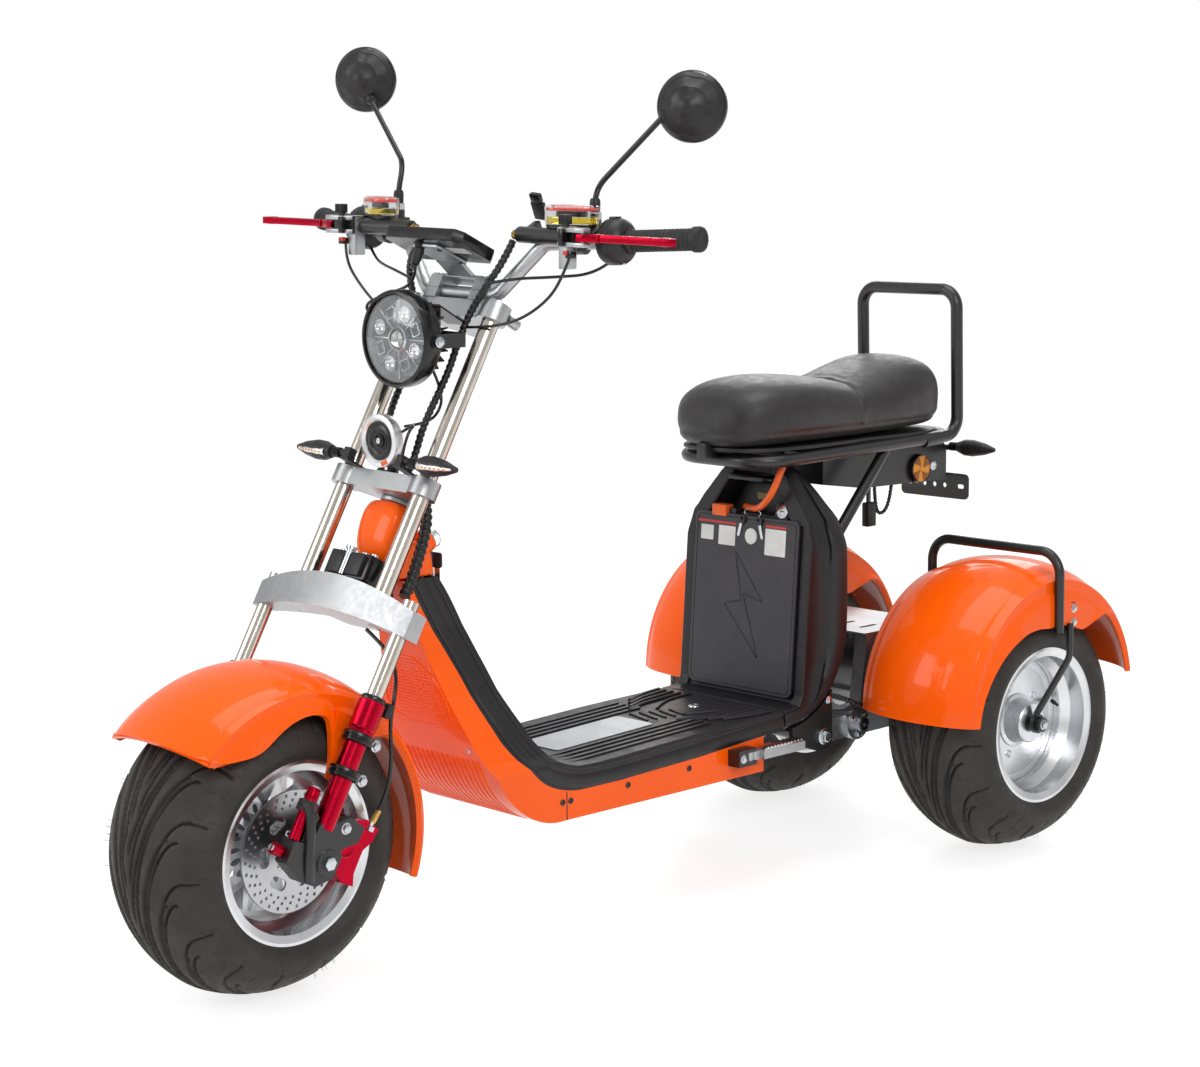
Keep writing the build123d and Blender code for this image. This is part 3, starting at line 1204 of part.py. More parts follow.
# ============================================================ export
steered = {
    "front_rim": front_rim, "front_tyre": front_tyre, "brake_disc": brake_disc, "lower_plate": lower_plate,
    "fork_tubes": fork_tubes, "mid_bridge": mid_bridge, "top_yoke": top_yoke, "fork_sliders": fork_sliders,
    "leg_castings": leg_castings, "brake_caliper": brake_caliper, "front_fender": front_fender,
    "fender_clamps": fender_clamps, "headlight": headlight, "headlight_lens": headlight_lens, "horn": horn,
    "front_indicators": front_indicators, "handlebar": handlebar, "bar_clamps": bar_clamps,
    "display": display, "grips": grips, "switch_housings": switch_housings,
    "master_cylinders": master_cylinders, "fluid_cups": fluid_cups, "brake_levers": brake_levers,
    "mirrors": mirrors, "mirror_glass": mirror_glass, "wiring_looms": wiring_looms, "brake_hose": brake_hose,
}
pieces = {name: builder.part.rotate(STEM, PARKED_STEER) for name, builder in steered.items()}
chassis = {
    "main_frame": main_frame, "head_cover": head_cover, "belly_panel": belly_panel, "footboard": footboard,
    "floor_insert": floor_insert, "battery_housing": battery_housing, "battery_pack": battery_pack,
    "battery_lead": battery_lead, "seat_frame": seat_frame, "seat": seat, "tail_bracket": tail_bracket,
    "rear_indicators": rear_indicators, "reflectors": reflectors, "peg_brackets": peg_brackets,
    "rear_subframe": rear_subframe, "rear_axle": rear_axle, "drive_motor": drive_motor,
    "fender_guards": fender_guards,
}
pieces.update({name: builder.part for name, builder in chassis.items()})
pieces.update(rear_wheels)
pieces.update(foot_pegs)
pieces.update(fenders)
for name, piece in pieces.items():
    piece.label = name
    export_step(piece, f"parts/{name}.step")
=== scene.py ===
"""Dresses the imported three-wheeled electric chopper scooter: tyres, trim, controls, fabric and finishes."""

import json
from math import asin, atan2, cos, exp, hypot, pi, radians, sin, tau

import bmesh
import bpy
import numpy as np
from bpy.props import FloatProperty, FloatVectorProperty, IntProperty, PointerProperty
from mathutils import Matrix, Vector
from mathutils.bvhtree import BVHTree


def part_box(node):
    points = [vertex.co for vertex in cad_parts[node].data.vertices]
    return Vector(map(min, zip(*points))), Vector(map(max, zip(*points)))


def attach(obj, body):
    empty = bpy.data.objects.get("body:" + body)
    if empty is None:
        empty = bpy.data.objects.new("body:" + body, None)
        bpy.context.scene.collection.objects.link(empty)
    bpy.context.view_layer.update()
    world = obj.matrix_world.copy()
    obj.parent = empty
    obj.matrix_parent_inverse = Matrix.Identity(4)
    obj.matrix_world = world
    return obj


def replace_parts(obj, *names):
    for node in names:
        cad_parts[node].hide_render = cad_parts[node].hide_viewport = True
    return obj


bl_info = {
    "name": "Electric chopper scooter",
    "version": (1, 0, 0),
    "blender": (4, 5, 0),
    "location": "3D View > Sidebar > Scooter",
    "description": "Tyres, trim, controls, seat cover and finishes of a three-wheeled chopper scooter",
    "category": "Object",
}

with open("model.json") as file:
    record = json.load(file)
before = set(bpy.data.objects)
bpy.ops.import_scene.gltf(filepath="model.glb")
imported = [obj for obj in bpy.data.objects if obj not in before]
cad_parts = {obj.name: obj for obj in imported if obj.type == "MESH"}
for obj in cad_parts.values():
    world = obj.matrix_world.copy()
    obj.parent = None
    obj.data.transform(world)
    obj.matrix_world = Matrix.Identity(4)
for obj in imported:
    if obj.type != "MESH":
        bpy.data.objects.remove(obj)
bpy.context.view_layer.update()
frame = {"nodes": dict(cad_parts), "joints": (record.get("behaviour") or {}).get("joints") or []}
BOXES = {name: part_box(name) for name in frame["nodes"]}
MM = 0.001

# ------------------------------------------------------------------ places taken from the frame
JOINTS = {joint["name"]: joint for joint in frame["joints"]}
stem = JOINTS["steering_turn"]
STEM_AXIS = Vector(stem["axis"]).normalized()
STEM_POINT = Vector(stem["pos_m"])
RAKE = asin(-STEM_AXIS.x)
PARKED = radians(-sum(stem["range_deg"]) / 2)
PARK = (
    Matrix.Translation(STEM_POINT) @ Matrix.Rotation(PARKED, 4, STEM_AXIS) @ Matrix.Translation(-STEM_POINT)
)
FRONT_AXLE = PARK.inverted() @ Vector(JOINTS["front_wheel_spin"]["pos_m"])
FORE = Vector((cos(RAKE), 0, sin(RAKE)))
ALONG = Vector((-sin(RAKE), 0, cos(RAKE)))
LEFT = Vector((0, 1, 0))
AHEAD = Vector((1, 0, 0))
UP = Vector((0, 0, 1))
REAR_AXLE = {side: Vector(JOINTS[f"rear_wheel_{side}_spin"]["pos_m"]) for side in ("left", "right")}
SIDES = (("left", 1), ("right", -1))
FORK_AHEAD = 22.5 * MM
FORK_ORIGIN = FRONT_AXLE + FORE * FORK_AHEAD


def fork_at(fore, y, height):
    """A point ahead of the fork tubes' plane, to the left and up along the fork, in mm, straight ahead."""
    return FORK_ORIGIN + (FORE * fore + LEFT * y + ALONG * height) * MM


def at(x, y, z):
    """A place or a step in the frame, from mm."""
    return Vector((x, y, z)) * MM


def shift(x, y, z):
    """A move as a matrix, from mm."""
    return Matrix.Translation((x * MM, y * MM, z * MM))


def spin(angle):
    """A turn about local Z."""
    return Matrix.Rotation(angle, 4, "Z")


# ------------------------------------------------------------------ user settings
def colour_setting(name, description, shade):
    """A colour property with its default from an sRGB hex value."""
    return FloatVectorProperty(
        name=name, description=description, subtype="COLOR", size=3, min=0, max=1, default=linear(shade))


def linear(shade):
    """Linear RGB of an sRGB hex value."""
    parts = [int(shade[i : i + 2], 16) / 255 for i in (1, 3, 5)]
    return tuple(c / 12.92 if c <= 0.04045 else ((c + 0.055) / 1.055) ** 2.4 for c in parts)


class ScooterFinish(bpy.types.PropertyGroup):
    """Colours of the scooter's main finishes."""

    body: colour_setting("Body", "Gloss colour of the fenders, the belly and the neck", "#FF5D00")
    anodised: colour_setting(
        "Anodised parts", "Colour of the fork sliders, the caliper and the levers", "#B60E2B"
    )
    moulding: colour_setting("Mouldings", "Colour of the footboard and the battery housing", "#19171A")
    cover: colour_setting("Seat cover", "Colour of the seat's vinyl", "#1E1B1D")


class ScooterSizes(bpy.types.PropertyGroup):
    """Sizes of the scooter's repeated details."""

    groove: FloatProperty(
        name="Tread groove", description="Width of the tyres' grooves", subtype="DISTANCE", default=4.2 * MM
    )
    groove_depth: FloatProperty(
        name="Groove depth", description="Depth of the tyres' grooves", subtype="DISTANCE", default=3.6 * MM
    )
    swell: FloatProperty(
        name="Seat swell", description="Most that the seat cover may swell", subtype="DISTANCE",
        default=7 * MM,
    )
    wrap_pitch: FloatProperty(
        name="Wrap pitch", description="Rise of the looms' spiral wrap in a turn", subtype="DISTANCE",
        default=9 * MM,
    )
    grip_ribs: IntProperty(name="Grip ribs", description="Rings along each grip", default=14, min=4, max=40)


# ------------------------------------------------------------------ material nodes
def add_node(tree, kind, inputs=None, **settings):
    """Adds a node, sets its settings and gives its inputs values or links."""
    new = tree.nodes.new(kind)
    for key, value in settings.items():
        setattr(new, key, value)
    for key, value in (inputs or {}).items():
        if isinstance(value, bpy.types.NodeSocket):
            tree.links.new(value, new.inputs[key])
        else:
            new.inputs[key].default_value = value
    return new


def maths(tree, operation, *values):
    """The result of a maths node."""
    return add_node(tree, "ShaderNodeMath", dict(enumerate(values)), operation=operation).outputs[0]


def new_material(name, base, rough, metal=0.0, **shader):
    """A material with its tree cleared to one shader; returns the material, tree and shader."""
    material = bpy.data.materials.new(name)
    material.use_nodes = True
    tree = material.node_tree
    tree.nodes.clear()
    values = {"Base Color": (*base, 1), "Roughness": rough, "Metallic": metal}
    values.update({key.replace("_", " "): value for key, value in shader.items()})
    bsdf = add_node(tree, "ShaderNodeBsdfPrincipled", values)
    out = add_node(tree, "ShaderNodeOutputMaterial")
    tree.links.new(bsdf.outputs[0], out.inputs[0])
    return material, tree, bsdf


def noise(tree, size_mm, detail=3.0, stretch=(1, 1, 1), rough=0.5):
    """Noise whose grain is size_mm across, on Object coordinates."""
    place = add_node(tree, "ShaderNodeTexCoord").outputs["Object"]
    scaled = add_node(tree, "ShaderNodeMapping", {"Vector": place, "Scale": stretch}).outputs[0]
    return add_node(
        tree, "ShaderNodeTexNoise", {"Vector": scaled, "Scale": 1 / (size_mm * MM), "Detail": detail,
        "Roughness": rough}).outputs["Fac"]


def spread(tree, value, low, high, from_low=0.3, from_high=0.7):
    """A value brought from one range to another."""
    return add_node(
        tree, "ShaderNodeMapRange", {"Value": value, "From Min": from_low, "From Max": from_high,
        "To Min": low, "To Max": high}).outputs[0]


def tint(tree, value, dark, light):
    """A colour between two sRGB or linear shades."""
    dark = linear(dark) if isinstance(dark, str) else tuple(dark)
    light = linear(light) if isinstance(light, str) else tuple(light)
    return add_node(
        tree, "ShaderNodeMix", {"Factor": value, "A": (*dark, 1), "B": (*light, 1)},
        data_type="RGBA").outputs["Result"]


def bump(tree, bsdf, height, depth_mm, strength=1.0):
    """Adds a bump of a real depth under the shader."""
    below = bsdf.inputs["Normal"].links
    chain = {"Normal": below[0].from_socket} if below else {}
    made = add_node(
        tree, "ShaderNodeBump", {"Height": height, "Strength": strength, "Distance": depth_mm * MM, **chain})
    tree.links.new(made.outputs[0], bsdf.inputs["Normal"])


def shade_of(base, factor):
    """A linear colour made lighter or darker."""
    return tuple(min(1.0, c * factor) for c in base)


def mottle(tree, bsdf, base, grain, dark, light):
    """Lets the base colour drift between a darker and a lighter shade, on a grain of (size in mm, detail)."""
    share = spread(tree, noise(tree, *grain), 0, 1)
    colour = tint(tree, share, shade_of(base, dark), shade_of(base, light))
    tree.links.new(colour, bsdf.inputs["Base Color"])


def vary_rough(tree, bsdf, value, low, high, *reach):
    """Lets the roughness follow a value."""
    tree.links.new(spread(tree, value, low, high, *reach), bsdf.inputs["Roughness"])


def gloss_paint(name, base):
    """Two-coat gloss enamel on moulded panels: deep colour, slight orange-peel and a clear coat."""
    material, tree, bsdf = new_material(
        name, base, 0.34, Coat_Weight=0.5, Coat_Roughness=0.04, Coat_IOR=1.42, Specular_IOR_Level=0.1)
    mottle(tree, bsdf, base, (180, 2), 0.94, 1.04)
    vary_rough(tree, bsdf, noise(tree, 35, 4), 0.27, 0.38)
    bump(tree, bsdf, noise(tree, 3.5, 2), 0.02, 0.35)  # orange peel about 3.5 mm across
    return material


def grained_plastic(name, base, rough=0.42, grain_mm=1.3, depth=0.1):
    """ABS moulded in a spark-eroded tool: an even fine grain that softens the highlights."""
    material, tree, bsdf = new_material(name, base, rough, Specular_IOR_Level=0.45)
    mottle(tree, bsdf, base, (60, 3), 0.86, 1.12)
    vary_rough(tree, bsdf, noise(tree, 22, 4), rough - 0.06, rough + 0.1)
    bump(tree, bsdf, noise(tree, grain_mm, 2), depth, 0.5)
    return material


def powder_coat(name, base, rough=0.38):
    """Steel in satin powder coat: small even ripples, and slightly lighter where it is rubbed."""
    material, tree, bsdf = new_material(name, base, rough, Coat_Weight=0.25, Coat_Roughness=0.2)
    mottle(tree, bsdf, base, (12, 4), 0.85, 1.25)
    bump(tree, bsdf, noise(tree, 1.8, 2), 0.06, 0.5)
    return material


def satin_metal(name, shade, rough, grain_mm, depth, stretch=(1, 1, 1)):
    """Cast or drawn metal with a satin finish: brightness drifts, and fine marks follow the making."""
    base = linear(shade) if isinstance(shade, str) else shade
    material, tree, bsdf = new_material(name, base, rough, 1.0)
    mottle(tree, bsdf, base, (45, 3), 0.9, 1.06)
    grain = noise(tree, grain_mm * 6, 4, stretch)
    vary_rough(tree, bsdf, grain, max(0.03, rough - 0.06), rough + 0.07)
    bump(tree, bsdf, noise(tree, grain_mm, 3, stretch), depth, 0.4)
    return material


def ground_metal(name, shade, centre):
    """Machined aluminium or steel: fine rings about the wheel's axle from the lathe tool."""
    base = linear(shade)
    material, tree, bsdf = new_material(name, base, 0.2, 1.0)
    place = add_node(tree, "ShaderNodeTexCoord").outputs["Object"]
    local = add_node(
        tree, "ShaderNodeVectorMath", {0: place, 1: tuple(-c for c in centre)}, operation="ADD"
    ).outputs[0]
    flat = add_node(tree, "ShaderNodeVectorMath", {0: local, 1: (1, 0, 1)}, operation="MULTIPLY").outputs[0]
    radius = add_node(tree, "ShaderNodeVectorMath", {0: flat}, operation="LENGTH").outputs["Value"]
    # tool marks 1.1 mm apart
    rings = maths(tree, "SINE", maths(tree, "MULTIPLY", radius, tau / (1.1 * MM)))
    mottle(tree, bsdf, base, (50, 3), 0.9, 1.05)
    vary_rough(tree, bsdf, rings, 0.22, 0.34, -1, 1)
    bump(tree, bsdf, rings, 0.03, 0.25)
    return material


def moulded_rubber(name, base, rough=0.62):
    """Carbon-black rubber from a mould: matt, slightly dusty in the hollows, with a fine mould skin."""
    material, tree, bsdf = new_material(name, base, rough, Specular_IOR_Level=0.35)
    dust = spread(tree, noise(tree, 55, 5), 0, 1, 0.35, 0.75)
    colour = tint(tree, dust, shade_of(base, 0.85), shade_of(base, 1.35))
    tree.links.new(colour, bsdf.inputs["Base Color"])
    vary_rough(tree, bsdf, noise(tree, 14, 4), rough - 0.08, rough + 0.1)
    bump(tree, bsdf, noise(tree, 1.6, 3), 0.09, 0.5)
    return material


def tyre_rubber(name, base):
    """Tyre rubber: painted shade that darkens the grooves by their depth, and a matt, dusted crown."""
    material = moulded_rubber(name, base, 0.6)
    tree = material.node_tree
    bsdf = tree.nodes["Principled BSDF"]
    # painted shade in the grooves: the colour darkens toward a quarter of the rubber's, the deeper the groove
    groove = add_node(tree, "ShaderNodeAttribute", attribute_name="groove").outputs["Fac"]
    above = bsdf.inputs["Base Color"].links[0].from_socket
    colour = add_node(
        tree, "ShaderNodeMix", {"Factor": groove, "A": above, "B": (*shade_of(base, 0.25), 1)},
        data_type="RGBA").outputs["Result"]
    tree.links.new(colour, bsdf.inputs["Base Color"])
    return material


def seat_vinyl(name, base):
    """Embossed upholstery vinyl: pebbled grain of 2.2 mm cells, a soft sheen and faint creases."""
    material, tree, bsdf = new_material(name, base, 0.44, Sheen_Weight=0.08, Specular_IOR_Level=0.5)
    place = add_node(tree, "ShaderNodeTexCoord").outputs["Object"]
    cells = add_node(
        tree, "ShaderNodeTexVoronoi", {"Vector": place, "Scale": 1 / (2.2 * MM)},
        feature="DISTANCE_TO_EDGE").outputs["Distance"]
    pebble = spread(tree, cells, 0, 1, 0.0, 0.28)
    mottle(tree, bsdf, base, (40, 3), 0.8, 1.2)
    vary_rough(tree, bsdf, noise(tree, 18, 4), 0.37, 0.52)
    bump(tree, bsdf, pebble, 0.13, 0.55)
    bump(tree, bsdf, noise(tree, 26, 4), 0.8, 0.22)  # soft creases about 26 mm apart
    return material


def clear_part(name, shade, rough=0.04, ior=1.49):
    """Clear moulded polycarbonate or acrylic: it lets light through and keeps a faint tint."""
    material, tree, bsdf = new_material(name, linear(shade), rough, IOR=ior, Transmission_Weight=1.0)
    if ior < 1.1:  # a thin cover bends no light, so only its hard coat reflects
        bsdf.inputs["Coat Weight"].default_value = 0.8
        return material
    bump(tree, bsdf, noise(tree, 30, 2), 0.05, 0.15)  # slight mould waviness
    return material


MATERIALS = {}


def make_materials(finish):
    """Makes every finish of the scooter once."""
    colours = finish.body, finish.anodised, finish.moulding, finish.cover
    body, anodised, trim, cover = (tuple(colour) for colour in colours)
    wheel = tuple(FRONT_AXLE)
    rear = tuple(REAR_AXLE["left"])
    MATERIALS.update({
        "tyre": tyre_rubber("tyre_rubber", linear("#322F2C")),
        "hub_grey": satin_metal("bead_blasted_aluminium", "#8E9194", 0.5, 0.8, 0.05),
        "rim": ground_metal("machined_aluminium_front", "#DCDEE0", wheel),
        "rear_rim": ground_metal("machined_aluminium_rear", "#DADCDE", (0, 0, rear[2])),
        "disc": ground_metal("ground_disc_steel", "#BDBEC0", wheel),
        "orange_body": gloss_paint("gloss_enamel_on_abs", body),
        "black_plastic": grained_plastic("grained_abs", trim),
        "black_gloss": grained_plastic("polished_abs", linear("#121113"), 0.2, 4, 0.02),
        "black_metal": powder_coat("satin_powder_coat", linear("#151415")),
        "silver_cast": satin_metal("satin_cast_aluminium", "#B4B6B8", 0.4, 1.4, 0.05),
        "bright_steel": satin_metal("hard_chrome", "#D6D7D9", 0.1, 2.0, 0.01, (6, 6, 0.4)),
        "fork_chrome": satin_metal("polished_fork_tube", "#CDC6BB", 0.15, 2.0, 0.01, (6, 6, 0.4)),
        # painted light: the battery's face is the black moulding made lighter where the light falls full on
        # it
        "battery_face": grained_plastic("abs_face_painted_lighter", linear("#343236"), 0.4, 1.3, 0.08),
        "pale_cast": satin_metal("silver_painted_plastic", "#E4E5E7", 0.34, 1.4, 0.02),
        "zinc": satin_metal("bright_zinc_plate", "#C8CCD0", 0.22, 0.9, 0.04),
        "red_anodised": satin_metal("anodised_aluminium", anodised, 0.25, 1.1, 0.006),
        "seat_cover": seat_vinyl("embossed_vinyl", cover),
        "grip_rubber": moulded_rubber("grip_rubber_compound", linear("#242426"), 0.55),
        "lens": clear_part("clear_polycarbonate", "#FCFDFE", 0.0, 1.03),
        "fluid_cup": clear_part("clear_reservoir", "#F4F4EE", 0.06, 1.49),
        "mirror": satin_metal("silvered_mirror_glass", "#E6E8EA", 0.03, 20, 0.005),
        "amber": clear_part("amber_acrylic", "#FF9A18", 0.08),
        "loom": grained_plastic("spiral_wrap_nylon", linear("#121112"), 0.3, 2.0, 0.05),
        "lead_orange": grained_plastic("orange_lead_jacket", linear("#F0641E"), 0.45, 1.5, 0.05),
        "white_lamp": satin_metal("vacuum_metallised_reflector", "#F2F3F4", 0.08, 6, 0.01),
        "label": grained_plastic("bare_vinyl_label", linear("#D9D9D6"), 0.5, 3, 0.02),
        "brass": satin_metal("lock_brass", "#C9A45A", 0.25, 1.0, 0.03),
        "red_seal": grained_plastic("red_seal_rubber", linear("#C5382E"), 0.45, 2, 0.03),
        "fluid_yellow": clear_part("yellow_brake_fluid", "#F2D63A", 0.06, 1.43),
        "dark_amber": grained_plastic("deep_amber_prism", linear("#8C4F0C"), 0.25, 2, 0.02),
        "amber_led": grained_plastic("amber_led_resin", linear("#E89A1C"), 0.3, 2, 0.02),
        "screen": grained_plastic("display_glass", linear("#0C0D0F"), 0.08, 30, 0.01),
    })


# finishes of the CAD nodes that stay as they are
NODE_FINISH = {
    "rim": ("front_rim",),
    "rear_rim": ("rear_rim_left", "rear_rim_right"),
    "orange_body": ("front_fender", "rear_fender_left", "rear_fender_right", "belly_panel", "head_cover"),
    "black_plastic": ("footboard", "battery_housing", "battery_pack", "rear_indicators", "front_indicators",
                      "switch_housings", "mirrors"),
    "black_metal": ("main_frame", "seat_frame", "tail_bracket", "fender_guards", "leg_castings",
                    "fender_clamps", "headlight", "horn", "peg_brackets", "rear_axle",
                    "drive_motor", "master_cylinders", "display"),
    "silver_cast": ("lower_plate", "mid_bridge", "top_yoke", "rear_subframe", "foot_peg_left",
                    "foot_peg_right", "floor_insert", "handlebar", "bar_clamps"),
    "fork_chrome": ("fork_tubes",),
    "disc": ("brake_disc",),
    "red_anodised": ("fork_sliders", "brake_caliper", "brake_levers"),
    "tyre": ("front_tyre", "rear_tyre_left", "rear_tyre_right"),
    "seat_cover": ("seat",),
    "grip_rubber": ("grips",),
    "lens": ("headlight_lens",),
    "fluid_cup": ("fluid_cups",),
    "mirror": ("mirror_glass",),
    "amber": ("reflectors",),
    "loom": ("wiring_looms", "brake_hose"),
    "lead_orange": ("battery_lead",),
}


# ------------------------------------------------------------------ shaping helpers
def turned_frame(direction, hint=UP):
    """A rotation whose Z is a direction and whose X lies as near as it can to a hint."""
    z = Vector(direction).normalized()
    x = Vector(hint) - z * z.dot(Vector(hint))
    if x.length < 1e-6:
        x = z.orthogonal()
    x.normalize()
    return Matrix((x, z.cross(x), z)).transposed().to_4x4()


def place_on(centre, direction=UP, hint=AHEAD):
    """A matrix that brings local Z to a direction and local X near a hint, at a centre."""
    return Matrix.Translation(centre) @ turned_frame(direction, hint)


def on_fork(fore, y, height):
    """A place by the fork whose Z runs up along it and whose X points ahead of it."""
    return place_on(fork_at(fore, y, height), ALONG, FORE)


def smooth_line(points, order=3, closed=False, steps=8):
    """Points along the NURBS spline of a route."""
    curve = bpy.data.curves.new("route", "CURVE")
    curve.dimensions = "3D"
    curve.resolution_u = steps
    line = curve.splines.new("NURBS")
    line.points.add(len(points) - 1)
    for place, point in zip(line.points, points):
        place.co = (*point, 1)
    line.order_u = order
    line.use_endpoint_u = not closed
    line.use_cyclic_u = closed
    holder = bpy.data.objects.new("route", curve)
    mesh = bpy.data.meshes.new_from_object(holder)
    found = [v.co.copy() for v in mesh.vertices]
    bpy.data.objects.remove(holder)
    bpy.data.curves.remove(curve)
    bpy.data.meshes.remove(mesh)
    return found


class Shape:
    """Collects the faces of one piece, each with its finish."""

    def __init__(self):
        self.faces = bmesh.new()
        self.finishes = []

    def slot(self, finish):
        if finish not in self.finishes:
            self.finishes.append(finish)
        return self.finishes.index(finish)

    def grid(self, rows, finish, close_rows=False, close_cols=False, cap=False):
        """Skins rows of points with quads."""
        index = self.slot(finish)
        made = [[self.faces.verts.new(p) for p in row] for row in rows]
        count = len(made)
        for i in range(count if close_rows else count - 1):
            a, b = made[i], made[(i + 1) % count]
            for j in range(len(a) if close_cols else len(a) - 1):
                k = (j + 1) % len(a)
                self.faces.faces.new((a[j], a[k], b[k], b[j])).material_index = index
        if cap:
            for row, flip in ((made[0], True), (made[-1], False)):
                face = self.faces.faces.new(row[::-1] if flip else row)
                face.material_index = index
        return self

    def lathe(self, profile, matrix, finish, segments=40, closed=True):
        """Turns (radius, height) points, in mm, about a matrix's Z."""
        rows = []
        for r, h in profile:
            ring = []
            for i in range(segments):
                a = tau * i / segments
                ring.append(matrix @ at(cos(a) * r, sin(a) * r, h))
            rows.append(ring)
        return self.grid(rows, finish, close_cols=True, cap=closed)

    def band(self, profile, matrix, finish, segments=40):
        """A turned skin that is left open at its ends."""
        return self.lathe(profile, matrix, finish, segments, closed=False)

    def tube(self, points, radius_mm, finish, sides=12, cap=True, closed=False):
        """A round tube along points, with its frame carried along."""
        radii = radius_mm if hasattr(radius_mm, "__len__") else [radius_mm] * len(points)
        count = len(points)
        rows = []
        side = None
        for i, point in enumerate(points):
            before = points[i - 1] if closed or i else point
            after = points[(i + 1) % count] if closed or i < count - 1 else point
            way = (after - before).normalized()
            side = way.orthogonal() if side is None else side - way * side.dot(way)
            side.normalize()
            up = way.cross(side)
            rows.append([
                point + (side * cos(tau * k / sides) + up * sin(tau * k / sides)) * radii[i] * MM
                for k in range(sides)
            ])
        return self.grid(rows, finish, close_rows=closed, close_cols=True, cap=cap and not closed)

    def plate(self, outlines, thick, matrix, finish, edge=0.0):
        """A flat plate, in mm, from an outer outline and holes, raised from local z=0 to its thickness."""
        curve = bpy.data.curves.new("outline", "CURVE")
        curve.dimensions = "2D"
        curve.fill_mode = "BOTH"
        for outline in outlines:
            line = curve.splines.new("POLY")
            line.points.add(len(outline) - 1)
            for place, (x, y) in zip(line.points, outline):
                place.co = (x, y, 0, 1)
            line.use_cyclic_u = True
        curve.extrude = thick / 2 - edge
        curve.bevel_depth = edge
        curve.bevel_resolution = 1
        curve.offset = -edge
        holder = bpy.data.objects.new("outline", curve)
        mesh = bpy.data.meshes.new_from_object(holder)
        mesh.transform(matrix @ Matrix.Scale(MM, 4) @ Matrix.Translation((0, 0, thick / 2)))
        bpy.data.objects.remove(holder)
        bpy.data.curves.remove(curve)
        return self.mesh(mesh, finish)

    def mesh(self, mesh, finish):
        """Takes in a mesh and drops it."""
        index = self.slot(finish)
        before = len(self.faces.faces)
        self.faces.from_mesh(mesh)
        bpy.data.meshes.remove(mesh)
        self.faces.faces.ensure_lookup_table()
        for face in self.faces.faces[before:]:
            face.material_index = index
        return self

    def block(self, size, matrix, finish, edge=1.0):
        """A block, in mm, centred on a matrix, with bevelled edges."""
        made = bmesh.new()
        bmesh.ops.create_cube(made, size=1)
        bmesh.ops.scale(made, vec=size, verts=made.verts)
        if edge:
            bmesh.ops.bevel(made, geom=made.edges[:], offset=edge, segments=2, profile=0.6, affect="EDGES",
                            clamp_overlap=True)
        mesh = bpy.data.meshes.new("block")
        made.to_mesh(mesh)
        made.free()
        mesh.transform(matrix @ Matrix.Scale(MM, 4))
        return self.mesh(mesh, finish)

    def mirrored(self):
        """Adds the same faces on the other side of the mid-plane."""
        copy = bmesh.ops.duplicate(
            self.faces, geom=self.faces.verts[:] + self.faces.edges[:] + self.faces.faces[:])
        for part in copy["geom"]:
            if isinstance(part, bmesh.types.BMVert):
                part.co.y *= -1
        bmesh.ops.reverse_faces(
            self.faces, faces=[f for f in copy["geom"] if isinstance(f, bmesh.types.BMFace)]
        )
        return self

    def piece(self, name, body, parked=False, angle=35, outward=True):
        """Makes the object, rides it on its body and returns it."""
        if outward:
            bmesh.ops.recalc_face_normals(self.faces, faces=self.faces.faces[:])
        mesh = bpy.data.meshes.new(name)
        self.faces.to_mesh(mesh)
        self.faces.free()
        return finished(name, mesh, self.finishes, body, parked, angle)


def finished(name, mesh, finishes, body, parked=False, angle=35):
    """An object of a mesh with its finishes, shaded smooth up to an angle, riding on a body."""
    if parked:
        mesh.transform(PARK)
    if mesh.materials:
        mesh.materials.clear()  # which also brings every face back to the first finish
    for finish in finishes:
        mesh.materials.append(MATERIALS[finish])
    mesh.shade_smooth()
    mesh.set_sharp_from_angle(angle=radians(angle))
    made = bpy.data.objects.new(name, mesh)
    bpy.context.scene.collection.objects.link(made)
    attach(made, body)
    return made


def circle(radius, count=32, centre=(0, 0), start=0.0):
    """Points of a circle in a plate's plane."""
    return [
        (centre[0] + radius * cos(start + tau * i / count), centre[1] + radius * sin(start + tau * i / count))
        for i in range(count)
    ]


def rounded(width, height, radius, centre=(0, 0), turn=0.0, steps=6):
    """Points of a rounded rectangle in a plate's plane."""
    made = []
    for k, (sx, sy) in enumerate(((1, 1), (-1, 1), (-1, -1), (1, -1))):
        for i in range(steps + 1):
            a = pi / 2 * (k + i / steps)
            x = sx * (width / 2 - radius) + radius * cos(a)
            y = sy * (height / 2 - radius) + radius * sin(a)
            made.append(
                (centre[0] + x * cos(turn) - y * sin(turn), centre[1] + x * sin(turn) + y * cos(turn)))
    return made


